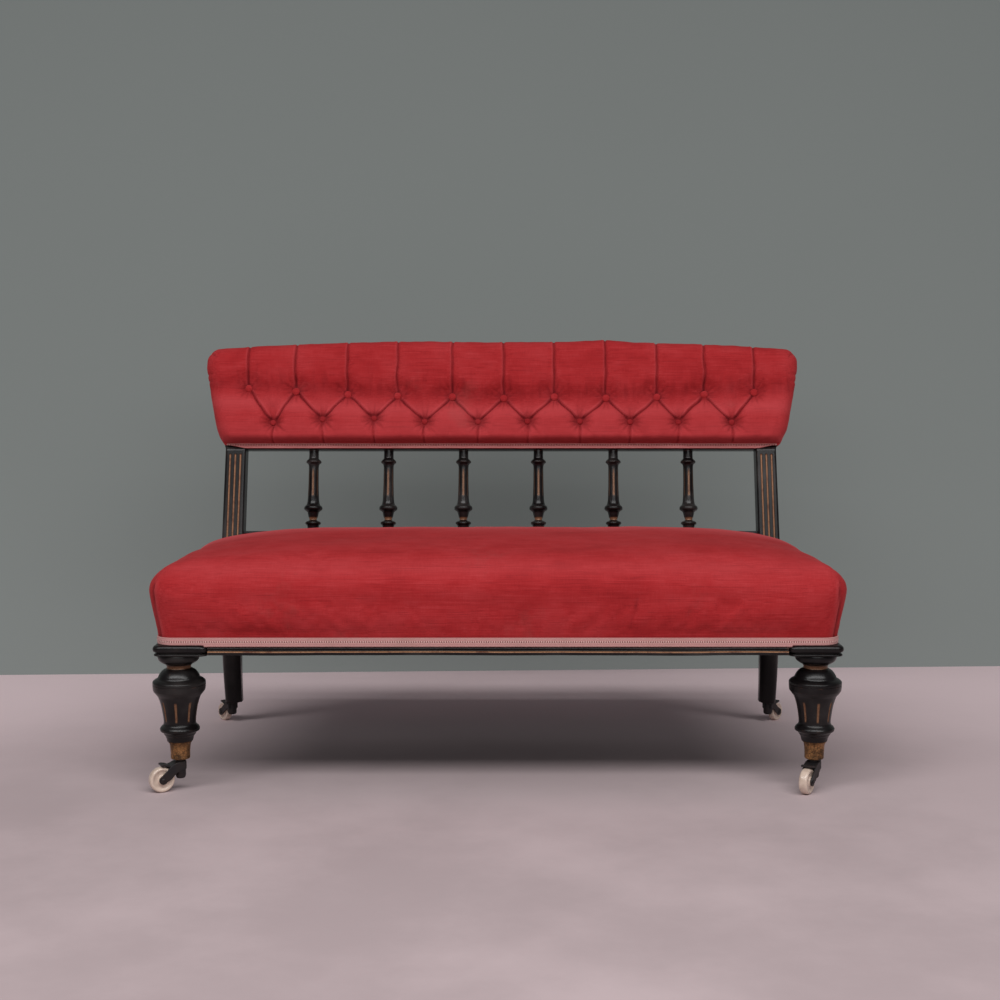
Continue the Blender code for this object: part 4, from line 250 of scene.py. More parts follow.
def fluted_angles(centres, half, between):
    """Angles round a shaft, close together in its flutes and even between them."""
    inner = np.array([-1.35, -1.0, -0.85, -0.6, -0.3, 0, 0.3, 0.6, 0.85, 1.0, 1.35]) * half
    step = 2 * math.pi / len(centres)
    outer = np.linspace(inner[-1], step + inner[0], between + 2)[1:-1]
    return np.sort((np.asarray(centres)[:, None] + np.concatenate([inner, outer])[None]).ravel() % (2 * math.pi))


def flute_share(height, around, centres, half, low, high):
    """1 in the middle of a flute and 0 at its edges: a half round across, with round ends."""
    away = np.abs((around[..., None] - centres + math.pi) % (2 * math.pi) - math.pi).min(-1) / half
    middle, reach = (low + high) / 2, (high - low) / 2
    end = np.clip((np.abs(height - middle) - reach) / 0.003 + 1, 0, 1)
    return np.sqrt(np.clip(1 - away**2 - end**2, 0, 1))


def plane(points):
    """Points given as (x, forward, up the raked plane) in the object's own frame."""
    x, forward, up = points[..., 0], points[..., 1], points[..., 2]
    y = PANEL_Y + up * math.sin(RAKE) - forward * math.cos(RAKE)
    return np.stack([x, y, PANEL_Z + up * math.cos(RAKE) + forward * math.sin(RAKE)], axis=-1)


def rounded_loop(half_x, half_y, radius, corner=6, side=1, centre=(0, 0)):
    """Points round a rectangle with rounded corners, anticlockwise."""
    turns = np.linspace(0, math.pi / 2, corner + 1)
    arcs = [
        np.column_stack([sx * (half_x - radius) + radius * np.cos(turns + k * math.pi / 2),
                         sy * (half_y - radius) + radius * np.sin(turns + k * math.pi / 2)])
        for k, (sx, sy) in enumerate(((1, 1), (-1, 1), (-1, -1), (1, -1)))
    ]
    spans = []
    for k, arc in enumerate(arcs):
        after = arcs[(k + 1) % 4][0]
        share = np.linspace(0, 1, side + 1)[1:-1, None]
        spans += [arc, arc[-1] + (after - arc[-1]) * share]
    return np.vstack(spans) + np.array(centre)


def block(low, high, rounding=0.0012):
    """A block with eased upright corners and eased ends."""
    low, high = np.array(low, float), np.array(high, float)
    half, middle = (high - low) / 2, (high + low) / 2
    rows = []
    for inset, z in ((rounding, low[2]), (0, low[2] + rounding), (0, high[2] - rounding), (rounding, high[2])):
        loop = rounded_loop(half[0] - inset, half[1] - inset, rounding * 1.5, 3, 1, middle[:2])
        rows.append(np.column_stack([loop, np.full(len(loop), z)]))
    return skin(np.stack(rows))


def extruded(outline, thickness, place):
    """A plate: a closed outline given a thickness across it, eased by the piece's bevel."""
    outline = np.asarray(outline, float)
    rows = [np.column_stack([outline[:, 0], np.full(len(outline), t), outline[:, 1]]) for t in (-thickness / 2, thickness / 2)]
    return skin(np.stack(rows)).carried(place)


def tube(path, radius, sides=8):
    """A round wire along a path of points: a circle square to the path at each."""
    path = np.asarray(path, float)
    along = np.gradient(path, axis=0)
    along /= np.linalg.norm(along, axis=1)[:, None]
    side = np.cross(along, [0, 0, 1.0])
    side /= np.maximum(np.linalg.norm(side, axis=1), 1e-9)[:, None]
    up = np.cross(side, along)
    turn = even_angles(sides)[None, :, None]
    return skin(path[:, None] + radius * (np.cos(turn) * side[:, None] + np.sin(turn) * up[:, None]))


def ripples(x, y, count, shortest, longest, seed):
    """Sum of plane waves of random bearing, length and phase, about -1 to 1."""
    draw = np.random.default_rng(seed)
    length = np.exp(draw.uniform(math.log(shortest), math.log(longest), count))
    bearing, phase = draw.uniform(0, math.pi, count), draw.uniform(0, 2 * math.pi, count)
    weight = length / length.sum() * math.sqrt(count)
    total = np.zeros(np.shape(x))
    for step, turn, start, share in zip(length, bearing, phase, weight):
        total = total + share * np.sin(2 * math.pi * (x * math.cos(turn) + y * math.sin(turn)) / step + start)
    return total / 1.6


# ---- Pieces in the scene ----


def outward(shell):
    """The shell with its faces turned out, told by the sign of the volume that they enclose."""
    quads = shell.quads
    corners = [shell.points[quads[:, [0, 1, 2]]], shell.points[quads[:, [0, 2, 3]]]]
    for cap in shell.caps:
        fan = np.column_stack([np.full(len(cap) - 2, cap[0]), cap[1:-1], cap[2:]])
        corners.append(shell.points[fan])
    if np.linalg.det(np.concatenate(corners) - shell.points.mean(0)).sum() < 0:
        shell.quads = quads[:, ::-1]
        shell.caps = [cap[::-1] for cap in shell.caps]
    return shell


def mesh_of(name, shells, sharp=38.0):
    """One mesh from closed shells, smooth but for edges sharper than an angle."""
    points, quads, caps, marks, start = [], [], [], {}, 0
    names = {key for shell in shells for key in shell.marks}
    for shell in map(outward, shells):
        points.append(shell.points)
        quads.append(shell.quads + start)
        caps += [np.array(cap) + start for cap in shell.caps]
        for key in names:
            marks.setdefault(key, []).append(shell.marks.get(key, np.zeros(len(shell.points))))
        start += len(shell.points)
    points, quads = np.concatenate(points), np.concatenate(quads)
    sizes = np.concatenate([np.full(len(quads), 4), [len(cap) for cap in caps]]).astype(np.int32)
    corners = np.concatenate([quads.ravel(), *caps]).astype(np.int32)
    mesh = bpy.data.meshes.new(name)
    mesh.vertices.add(len(points))
    mesh.vertices.foreach_set("co", points.astype(np.float32).ravel())
    mesh.loops.add(len(corners))
    mesh.loops.foreach_set("vertex_index", corners)
    mesh.polygons.add(len(sizes))
    mesh.polygons.foreach_set("loop_start", np.concatenate([[0], np.cumsum(sizes)[:-1]]).astype(np.int32))
    mesh.polygons.foreach_set("loop_total", sizes)
    mesh.update(calc_edges=True)
    mesh.shade_smooth()
    mesh.set_sharp_from_angle(angle=math.radians(sharp))
    for key, values in marks.items():
        mark(mesh, key, np.concatenate(values))
    mark(mesh, "edge", ridge_share(mesh, points))
    return mesh


def mark(mesh, name, values):
    """Numbers on the mesh's points that a material reads by name."""
    found = mesh.attributes.get(name) or mesh.attributes.new(name, "FLOAT", "POINT")
    found.data.foreach_set("value", np.asarray(values, np.float32).ravel())


def marked(mesh, name):
    values = np.empty(len(mesh.vertices), np.float32)
    mesh.attributes[name].data.foreach_get("value", values)
    return values.astype(float)


def points_of(mesh):
    values = np.empty(len(mesh.vertices) * 3, np.float32)
    mesh.vertices.foreach_get("co", values)
    return values.reshape(-1, 3).astype(float)


def normals_of(mesh):
    values = np.empty(len(mesh.vertices) * 3, np.float32)
    mesh.vertices.foreach_get("normal", values)
    return values.reshape(-1, 3).astype(float)


def ridge_share(mesh, points):
    """How sharply each point bulges: twice its height over its neighbours' middle, over their distance squared."""
    ends = np.empty(len(mesh.edges) * 2, np.int32)
    mesh.edges.foreach_get("vertices", ends)
    a, b = ends.reshape(-1, 2).T
    total, spread, count = np.zeros_like(points), np.zeros(len(points)), np.zeros(len(points))
    for here, there in ((a, b), (b, a)):
        np.add.at(total, here, points[there])
        np.add.at(spread, here, ((points[here] - points[there]) ** 2).sum(1))
        np.add.at(count, here, 1)
    count = np.maximum(count, 1)
    height = ((points - total / count[:, None]) * normals_of(mesh)).sum(1)
    return smooth_step((2 * height / np.maximum(spread / count, 1e-9) - 60) / 420)


def piece(name, shells, material, body="frame", stands_for=(), sharp=38.0):
    """A finished piece at the origin, riding on a body and taking the place of CAD nodes."""
    mesh = shells if isinstance(shells, bpy.types.Mesh) else mesh_of(name, shells, sharp)
    mesh.materials.append(material)
    made = bpy.data.objects.new(name, mesh)
    bpy.context.scene.collection.objects.link(made)
    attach(made, body)
    if stands_for:
        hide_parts(*stands_for)
    return made


def add_bevel(made, width, segments=2, angle=38.0):
    bevel = made.modifiers.new("eased edges", "BEVEL")
    bevel.width, bevel.segments, bevel.limit_method = width, segments, "ANGLE"
    bevel.angle_limit = math.radians(angle)


# ---- Materials ----


def node(tree, kind, inputs=(), **settings):
    """A node with its settings, its inputs set or linked by name or number."""
    made = tree.nodes.new(kind)
    for key, value in settings.items():
        setattr(made, key, value)
    for key, value in dict(inputs).items():
        if isinstance(value, bpy.types.NodeSocket):
            tree.links.new(value, made.inputs[key])
        else:
            made.inputs[key].default_value = value
    return made


def calc(tree, operation, *values, clamp=False):
    return node(tree, "ShaderNodeMath", dict(enumerate(values)), operation=operation, use_clamp=clamp).outputs[0]


def between(tree, value, low, high):
    """The value's share of the way from low to high, eased at both ends."""
    made = node(tree, "ShaderNodeMapRange", {0: value, 1: low, 2: high}, interpolation_type="SMOOTHSTEP")
    return made.outputs[0]


def blend(tree, share, first, second, how="MIX"):
    """Two colours mixed by a share."""
    first, second = (c if isinstance(c, bpy.types.NodeSocket) else (*c[:3], 1) for c in (first, second))
    made = node(tree, "ShaderNodeMix", {0: share, 6: first, 7: second}, data_type="RGBA", blend_type=how)
    return made.outputs[2]


def place_on_object(tree, scale):
    """Object coordinates stretched by a scale along each axis."""
    here = node(tree, "ShaderNodeTexCoord").outputs["Object"]
    return node(tree, "ShaderNodeMapping", {"Vector": here, "Scale": scale}).outputs[0]


def noise(tree, scale, detail=3.0, rough=0.55, stretch=(1, 1, 1)):
    at = place_on_object(tree, stretch)
    made = node(tree, "ShaderNodeTexNoise", {"Vector": at, "Scale": scale, "Detail": detail, "Roughness": rough})
    return made.outputs["Fac"]


def attribute(tree, name):
    return node(tree, "ShaderNodeAttribute", attribute_name=name).outputs["Fac"]


def group(name, inputs, outputs, fill):
    """A node group with named sockets, built once: fill(tree, inputs) gives its outputs by name."""
    tree = bpy.data.node_groups.new(name, "ShaderNodeTree")
    kinds = {"c": "NodeSocketColor", "f": "NodeSocketFloat"}
    for label, kind in inputs.items():
        tree.interface.new_socket(label, in_out="INPUT", socket_type=kinds[kind])
    for label, kind in outputs.items():
        tree.interface.new_socket(label, in_out="OUTPUT", socket_type=kinds[kind])
    found = fill(tree, node(tree, "NodeGroupInput").outputs)
    node(tree, "NodeGroupOutput", found)
    return tree


def placed(tree, name, inputs):
    """A node group set into a material with its own values."""
    made = tree.nodes.new("ShaderNodeGroup")
    made.node_tree = bpy.data.node_groups[name]
    for key, value in inputs.items():
        if isinstance(value, bpy.types.NodeSocket):
            tree.links.new(value, made.inputs[key])
        else:
            made.inputs[key].default_value = (*value, 1) if isinstance(value, (tuple, list)) and len(value) == 3 else value
    return made.outputs


def material(name, fill, **constants):
    """A material whose fill gives colour, roughness and height; its constants are the shader's own."""
    made = bpy.data.materials.new(name)
    made.use_nodes = True
    tree = made.node_tree
    tree.nodes.clear()
    found = fill(tree)
    height, strength, distance = found.pop("Height"), found.pop("Strength", 0.6), found.pop("Distance", 0.0006)
    inputs = {"Height": height, "Strength": strength, "Distance": distance}
    found["Normal"] = node(tree, "ShaderNodeBump", inputs).outputs[0]
    shader = node(tree, "ShaderNodeBsdfPrincipled", found)
    for key, value in constants.items():
        shader.inputs[key.replace("_", " ")].default_value = (*value, 1) if isinstance(value, tuple) else value
    node(tree, "ShaderNodeOutputMaterial", {"Surface": shader.outputs[0]})
    return made


def fill_wear(tree, given):
    """Polish rubbed to the wood on edges and in long scratches, with dust in its lower tones."""
    grain = noise(tree, 26.0, 5.0, 0.6, (1, 1, 0.22))
    fine = noise(tree, 210.0, 4.0, 0.65)
    broken = calc(tree, "MULTIPLY", given["Edge"], between(tree, fine, 0.36, 0.62))
    scratch = between(tree, noise(tree, 60.0, 6.0, 0.72, (1.6, 1.6, 0.35)), 0.63, 0.74)
    rubbed = calc(tree, "MULTIPLY_ADD", scratch, 0.35, broken, clamp=True)
    rubbed = calc(tree, "MULTIPLY", rubbed, given["Wear"], clamp=True)
    tone = blend(tree, calc(tree, "MULTIPLY", grain, 0.55), given["Base"], given["Worn"], "SOFT_LIGHT")
    colour = blend(tree, rubbed, tone, given["Worn"])
    dust = calc(tree, "MULTIPLY", between(tree, noise(tree, 9.0, 4.0), 0.45, 0.75), 0.06)
    colour = blend(tree, dust, colour, (0.42, 0.38, 0.36))
    rough = calc(tree, "MULTIPLY_ADD", fine, 0.22, calc(tree, "MULTIPLY_ADD", rubbed, 0.28, given["Gloss"]))
    height = calc(tree, "MULTIPLY_ADD", rubbed, -0.5, calc(tree, "MULTIPLY_ADD", grain, 0.5, fine))
    return {"Color": colour, "Roughness": rough, "Height": height}


def fill_gilding(tree, given):
    """Old leaf: bright on what is proud, brown where it has gone, in small flakes."""
    flakes = noise(tree, 330.0, 5.0, 0.7)
    patches = noise(tree, 46.0, 3.0, 0.6)
    kept = calc(tree, "MULTIPLY", between(tree, flakes, 0.30, 0.52), between(tree, patches, 0.25, 0.50))
    colour = blend(tree, kept, given["Worn"], given["Gilt"])
    return {"Color": colour, "Mask": kept, "Height": flakes}


def fill_pile(tree, given):
    """Velvet: fine slubs along the cloth, nap brushed in patches, rubbed and soiled places, painted highlights and
    painted shade in folds.
    """
    slub = noise(tree, 1.0, 3.0, 0.62, (11, 560, 560))
    cross = noise(tree, 1.0, 2.0, 0.5, (520, 60, 60))
    brushed = noise(tree, 7.5, 4.0, 0.62, (1.0, 1.5, 1.5))
    soft = noise(tree, 34.0, 3.0, 0.6, (0.7, 1.2, 1.2))
    streaks = calc(tree, "ADD", calc(tree, "MULTIPLY", slub, 0.80), calc(tree, "MULTIPLY", cross, 0.20))
    nap = calc(tree, "ADD", calc(tree, "MULTIPLY", brushed, 0.6), calc(tree, "MULTIPLY", soft, 0.4))
    light = calc(tree, "ADD", calc(tree, "MULTIPLY", between(tree, nap, 0.40, 0.66), 0.13),
                 calc(tree, "MULTIPLY", between(tree, streaks, 0.50, 0.68), 0.15))
    colour = blend(tree, light, given["Base"], given["Bright"])
    low = calc(tree, "ADD", calc(tree, "MULTIPLY", between(tree, nap, 0.52, 0.30), 0.16),
               calc(tree, "MULTIPLY", between(tree, streaks, 0.50, 0.34), 0.28))
    colour = blend(tree, low, colour, given["Dark"])
    # painted highlight where the mesh is marked lit
    colour = blend(tree, given["Lit"], colour, given["Bright"])
    # painted shade where the mesh is marked fold: in folds, round the buttons and at their rims
    colour = blend(tree, given["Painted_shade"], colour, given["Dark"])
    soil = between(tree, noise(tree, 5.2, 5.0, 0.7), 0.60, 0.72)
    colour = blend(tree, calc(tree, "MULTIPLY", soil, given["Soil"]), colour, (0.20, 0.085, 0.075))
    height = calc(tree, "MULTIPLY_ADD", streaks, 1.0, calc(tree, "MULTIPLY", noise(tree, 700.0, 2.0), 0.5))
    rough = calc(tree, "MULTIPLY_ADD", streaks, 0.12, 0.82)
    return {"Color": colour, "Roughness": rough, "Height": height}


def fill_gimp(tree, given):
    """Braid: a row of loops along its middle, twisted ribs under it and a corded edge over it."""
    along = calc(tree, "DIVIDE", given["Along"], given["Step"])
    wave = calc(tree, "MULTIPLY_ADD", calc(tree, "COSINE", calc(tree, "MULTIPLY", along, 2 * math.pi)), 0.5, 0.5)
    across = given["Across"]
    row = calc(tree, "SUBTRACT", 1.0, calc(tree, "ABSOLUTE", calc(tree, "DIVIDE", calc(tree, "SUBTRACT", across, 0.54), 0.13)), clamp=True)
    row = between(tree, row, 0.0, 0.55)
    loop = calc(tree, "MULTIPLY", row, between(tree, wave, 0.35, 0.75))
    hole = calc(tree, "MULTIPLY", row, between(tree, wave, 0.45, 0.10))
    slant = calc(tree, "MULTIPLY_ADD", across, 2.4, calc(tree, "MULTIPLY", along, 3.0))
    rib = calc(tree, "MULTIPLY_ADD", calc(tree, "COSINE", calc(tree, "MULTIPLY", slant, 2 * math.pi)), 0.5, 0.5)
    edges = calc(tree, "COSINE", calc(tree, "MULTIPLY", across, 2 * math.pi * 5))
    threads = noise(tree, 480.0, 3.0, 0.6)
    ground = blend(tree, calc(tree, "MULTIPLY", calc(tree, "ADD", rib, threads), 0.22), given["Base"], given["Pale"])
    ground = blend(tree, calc(tree, "MULTIPLY", between(tree, edges, 0.2, -1.0), 0.22), ground, given["Dark"])
    grime = calc(tree, "MULTIPLY", between(tree, noise(tree, 16.0, 4.0, 0.6), 0.48, 0.72), 0.22)
    ground = blend(tree, grime, ground, (0.30, 0.18, 0.14))
    colour = blend(tree, calc(tree, "MULTIPLY", hole, 0.75), blend(tree, calc(tree, "MULTIPLY", loop, 0.8), ground, given["Pale"]), given["Dark"])
    height = calc(tree, "ADD", calc(tree, "MULTIPLY_ADD", loop, 1.0, calc(tree, "MULTIPLY", hole, -1.0)),
                  calc(tree, "MULTIPLY_ADD", rib, 0.35, calc(tree, "MULTIPLY", threads, 0.4)))
    return {"Color": colour, "Height": height}


def fill_weave(tree, given):
    """Plain weave: warp and weft as two waves at right angles, over and under in turn."""
    here = node(tree, "ShaderNodeTexCoord").outputs["Object"]
    split = node(tree, "ShaderNodeSeparateXYZ", {0: here}).outputs
    turns = calc(tree, "DIVIDE", 2 * math.pi, given["Pitch"])
    first = calc(tree, "SINE", calc(tree, "MULTIPLY", split[0], turns))
    second = calc(tree, "SINE", calc(tree, "MULTIPLY", calc(tree, "ADD", split[1], split[2]), turns))
    over = calc(tree, "MULTIPLY_ADD", calc(tree, "MULTIPLY", first, second), 0.5, 0.5)
    uneven = noise(tree, 130.0, 4.0, 0.65)
    height = calc(tree, "MULTIPLY_ADD", uneven, 0.6, over)
    colour = blend(tree, between(tree, height, 0.35, 1.2), given["Dark"], given["Base"])
    return {"Color": colour, "Height": height}


def fill_tarnish(tree, given):
    """Metal or glaze gone dark over broad cloudy places and in small pits."""
    cloud = noise(tree, 60.0, 5.0, 0.62)
    pits = between(tree, noise(tree, 420.0, 3.0, 0.6), 0.58, 0.72)
    share = calc(tree, "MULTIPLY", between(tree, cloud, 0.35, 0.68), given["Amount"])
    share = calc(tree, "MAXIMUM", share, calc(tree, "MULTIPLY", pits, calc(tree, "MULTIPLY", given["Amount"], 0.7)))
    colour = blend(tree, share, given["Base"], given["Dark"])
    rough = calc(tree, "MULTIPLY_ADD", share, 0.3, given["Gloss"])
    return {"Color": colour, "Roughness": rough, "Height": calc(tree, "MULTIPLY_ADD", pits, -0.6, cloud)}


def make_groups():
    finish = {"Color": "c", "Roughness": "f", "Height": "f"}
    group("edge wear", {"Base": "c", "Worn": "c", "Edge": "f", "Wear": "f", "Gloss": "f"}, finish, fill_wear)
    group("gilding", {"Gilt": "c", "Worn": "c"}, {"Color": "c", "Mask": "f", "Height": "f"}, fill_gilding)
    group("pile", {"Base": "c", "Bright": "c", "Dark": "c", "Painted_shade": "f", "Lit": "f", "Soil": "f"}, finish, fill_pile)
    shades = {"Base": "c", "Pale": "c", "Dark": "c"}
    group("gimp", {"Along": "f", "Across": "f", "Step": "f", **shades}, {"Color": "c", "Height": "f"}, fill_gimp)
    group("weave", {"Base": "c", "Dark": "c", "Pitch": "f"}, {"Color": "c", "Height": "f"}, fill_weave)
    group("tarnish", {"Base": "c", "Dark": "c", "Amount": "f", "Gloss": "f"}, finish, fill_tarnish)


def wood_material(name, colours, wear, gloss):
    """Ebonised wood with gilt where the piece is marked for it."""

    def fill(tree):
        inputs = {"Base": colours.black, "Worn": colours.worn, "Edge": attribute(tree, "edge"), "Wear": wear, "Gloss": gloss}
        wood = placed(tree, "edge wear", {k: tuple(v) if k in ("Base", "Worn") else v for k, v in inputs.items()})
        leaf = placed(tree, "gilding", {"Gilt": tuple(colours.gilt), "Worn": tuple(colours.worn)})
        gilt = calc(tree, "MULTIPLY", attribute(tree, "gilt"), 1.0, clamp=True)
        bright = calc(tree, "MULTIPLY", gilt, leaf["Mask"])
        return {
            "Base Color": blend(tree, gilt, wood["Color"], leaf["Color"]),
            "Roughness": calc(tree, "MULTIPLY_ADD", bright, 0.12, wood["Roughness"], clamp=True),
            "Metallic": calc(tree, "MULTIPLY", bright, 0.40),
            "Height": wood["Height"], "Strength": 0.35, "Distance": 0.0004,
        }

    return material(name, fill, Coat_Weight=0.10, Coat_Roughness=0.14, Specular_IOR_Level=0.26)


def velvet_material(name, colours, soil):
    def fill(tree):
        # the fold and lit marks carry painted shade and painted highlights
        inputs = {"Base": tuple(colours.velvet), "Bright": tuple(colours.velvet_bright), "Dark": tuple(colours.velvet_dark),
                  "Painted_shade": attribute(tree, "fold"), "Lit": attribute(tree, "lit"), "Soil": soil}
        pile = placed(tree, "pile", inputs)
        return {"Base Color": pile["Color"], "Roughness": pile["Roughness"], "Height": pile["Height"],
                "Strength": 0.5, "Distance": 0.0005}

    return material(name, fill, Sheen_Weight=0.26, Sheen_Roughness=0.36, Sheen_Tint=linear(236, 140, 140),
                    Specular_IOR_Level=0.12)


def gimp_material(name, colours, step):
    def fill(tree):
        rosy = calc(tree, "MULTIPLY", attribute(tree, "rosy"), 0.55)
        inputs = {"Along": attribute(tree, "along"), "Across": attribute(tree, "across"), "Step": step,
                  "Base": blend(tree, rosy, tuple(colours.gimp), tuple(colours.velvet_bright)),
                  "Pale": tuple(colours.gimp_pale), "Dark": tuple(colours.gimp_dark)}
        braid = placed(tree, "gimp", inputs)
        rough = calc(tree, "MULTIPLY_ADD", braid["Height"], -0.1, 0.9, clamp=True)
        return {"Base Color": braid["Color"], "Roughness": rough, "Height": braid["Height"], "Distance": 0.0007}

    return material(name, fill, Sheen_Weight=0.15, Specular_IOR_Level=0.2)


def weave_material(name, base, dark, pitch, soil=0.2):
    def fill(tree):
        cloth = placed(tree, "weave", {"Base": tuple(base), "Dark": tuple(dark), "Pitch": pitch})
        stain = calc(tree, "MULTIPLY", between(tree, noise(tree, 7.0, 4.0), 0.45, 0.7), soil)
        return {"Base Color": blend(tree, stain, cloth["Color"], tuple(dark)),
                "Roughness": calc(tree, "MULTIPLY_ADD", cloth["Height"], 0.08, 0.84, clamp=True),
                "Height": cloth["Height"], "Distance": pitch / 4}

    return material(name, fill, Specular_IOR_Level=0.15)


def metal_material(name, base, dark, amount, gloss, metallic, relief=None, **constants):
    def fill(tree):
        found = placed(tree, "tarnish", {"Base": tuple(base), "Dark": tuple(dark), "Amount": amount, "Gloss": gloss})
        colour, height = found["Color"], found["Height"]
        if relief:
            height, hollow = relief(tree, height)
            colour = blend(tree, hollow, colour, tuple(dark))
        return {"Base Color": colour, "Roughness": found["Roughness"], "Height": height, "Metallic": metallic,
                "Strength": 0.5, "Distance": 0.0005}

    return material(name, fill, **constants)


def engraving(tree, height):
    """Scrolled chasing on brass: a warped cell pattern cut over the whole piece."""
    warp = node(tree, "ShaderNodeTexVoronoi", {"Vector": place_on_object(tree, (1, 1, 1.5)), "Scale": 190.0},
                feature="DISTANCE_TO_EDGE").outputs["Distance"]
    cuts = between(tree, warp, 0.10, 0.02)
    return calc(tree, "MULTIPLY_ADD", cuts, -1.2, height), calc(tree, "MULTIPLY", cuts, 0.7)


def beech_material(colours):
    def fill(tree):
        rings = noise(tree, 9.0, 6.0, 0.62, (0.25, 3.0, 3.0))
        pores = noise(tree, 220.0, 3.0, 0.6, (0.15, 1, 1))
        dark = tuple(c * 0.55 for c in colours.beech)
        tone = blend(tree, between(tree, rings, 0.35, 0.65), dark, tuple(colours.beech))
        return {"Base Color": blend(tree, calc(tree, "MULTIPLY", pores, 0.3), tone, dark),
                "Roughness": calc(tree, "MULTIPLY_ADD", pores, 0.2, 0.6), "Height": pores}

    return material("beech_bare", fill, Specular_IOR_Level=0.3)


def make_materials(colours, sizes):
    """Every finish of the settee, by the record's slot or its use."""
    make_groups()
    jute = tuple(colours.jute)
    return {
        "wood": wood_material("ebonised_wood_gilt", colours, 0.75, 0.20),
        "rail": wood_material("ebonised_rail_gilt", colours, 1.0, 0.24),
        "velvet": velvet_material("velvet_red", colours, 0.14),
        "gimp": gimp_material("gimp_braid_pink", colours, 1.0),
        "jute": weave_material("jute_hessian", jute, tuple(c * 0.35 for c in jute), 0.0026),
        "web": weave_material("jute_webbing", jute, tuple(c * 0.4 for c in jute), 0.0040),
        "black_cloth": weave_material("black_lining", linear(44, 42, 42), linear(18, 17, 17), 0.0014),
        "beech": beech_material(colours),
        "spring": metal_material("copper_washed_wire", linear(126, 96, 76), linear(60, 44, 36), 0.6, 0.38, 0.8),
        "brass": metal_material("brass_chased", tuple(colours.brass), linear(34, 22, 14), 0.85, 0.34, 0.6, engraving),
        "iron": metal_material("iron_blackened", tuple(colours.iron), linear(62, 46, 38), 0.35, 0.42, 0.35),
        "porcelain": metal_material("porcelain_glazed", tuple(colours.porcelain), linear(150, 124, 104), 0.40, 0.22, 0.0,
                                    Coat_Weight=0.4, Coat_Roughness=0.1),
    }


def finish_of(name):
    """The material made for one finish."""
    return MATERIALS[name]


MATERIALS = {}


# ---- Turned and shaped wood ----

LEG_RUNS = [
    [(1.000, 0.750), (0.980, 0.780), (0.955, 0.789), (0.929, 0.764), (0.906, 0.700), (0.880, 0.560)],
    [(0.880, 0.560), (0.876, 0.500), (0.861, 0.478), (0.846, 0.454), (0.832, 0.462), (0.818, 0.500)],
    [(0.818, 0.500), (0.812, 0.560), (0.795, 0.640), (0.771, 0.709), (0.745, 0.762), (0.726, 0.789)],
    [(0.726, 0.789), (0.716, 0.812), (0.700, 0.903), (0.684, 0.972)],
    [(0.684, 0.972), (0.674, 0.994), (0.655, 1.000), (0.648, 0.999)],
    [(0.648, 0.999), (0.644, 0.984), (0.640, 0.998)],
    [(0.640, 0.998), (0.610, 0.994), (0.575, 0.974)],
    [(0.575, 0.974), (0.568, 0.958), (0.545, 0.900), (0.510, 0.806), (0.465, 0.749), (0.407, 0.692), (0.317, 0.639),
     (0.227, 0.606), (0.205, 0.606)],
    [(0.205, 0.606), (0.192, 0.622), (0.180, 0.650), (0.160, 0.715), (0.140, 0.751), (0.122, 0.745), (0.112, 0.700)],
    [(0.112, 0.700), (0.104, 0.655), (0.088, 0.610), (0.070, 0.580)],
    [(0.070, 0.580), (0.064, 0.556), (0.040, 0.520), (0.000, 0.485)],
]
CAP_RUNS = [
    [(0.00, 0.70), (0.02, 0.42), (0.06, 0.30), (0.14, 0.30), (0.20, 0.48)],
    [(0.20, 0.48), (0.25, 1.00), (0.30, 1.00)],
    [(0.30, 1.00), (0.34, 0.52), (0.42, 0.18), (0.52, 0.03), (0.62, 0.00), (0.74, 0.05), (0.86, 0.25), (0.95, 0.62), (1.00, 1.20)],
]
LIP_RUNS = [
    [(1.00, 0.30), (0.985, 0.66), (0.95, 0.84), (0.89, 0.92), (0.82, 0.90), (0.76, 0.80)],
    [(0.76, 0.80), (0.72, 0.66), (0.62, 0.60), (0.56, 0.64)],
    [(0.56, 0.64), (0.50, 0.80), (0.44, 0.95), (0.38, 1.00), (0.20, 1.00)],
    [(0.20, 1.00), (0.10, 1.00), (0.02, 0.95), (0.00, 0.84)],
]
SPINDLE_RUNS = [
    [(1.000, 0.540), (0.960, 0.530), (0.902, 0.540)],
    [(0.902, 0.540), (0.888, 0.640), (0.870, 0.800), (0.855, 0.850), (0.842, 0.780)],
    [(0.842, 0.780), (0.831, 0.640), (0.812, 0.570), (0.780, 0.545), (0.620, 0.555), (0.450, 0.600), (0.372, 0.650), (0.340, 0.700)],
    [(0.340, 0.700), (0.323, 0.770), (0.308, 0.930), (0.293, 1.000)],
    [(0.293, 1.000), (0.280, 1.010), (0.268, 0.985), (0.258, 0.900), (0.251, 0.800)],
    [(0.251, 0.800), (0.243, 0.710), (0.233, 0.630), (0.200, 0.560)],
    [(0.200, 0.560), (0.170, 0.490), (0.150, 0.405), (0.138, 0.420), (0.128, 0.520)],
    [(0.128, 0.520), (0.118, 0.740), (0.105, 0.850), (0.092, 0.850), (0.080, 0.720)],
    [(0.080, 0.720), (0.068, 0.650), (0.040, 0.610), (0.000, 0.600)],
]


def side_face(y):
    """The side rail's outer x at a y, which draws in towards the posts."""
    share = np.clip((y - LEG_Y - BLOCK_HALF) / (POST_FACE - LEG_Y - BLOCK_HALF), 0, 2)
    return FRAME_X - (FRAME_X - 0.5640) * share


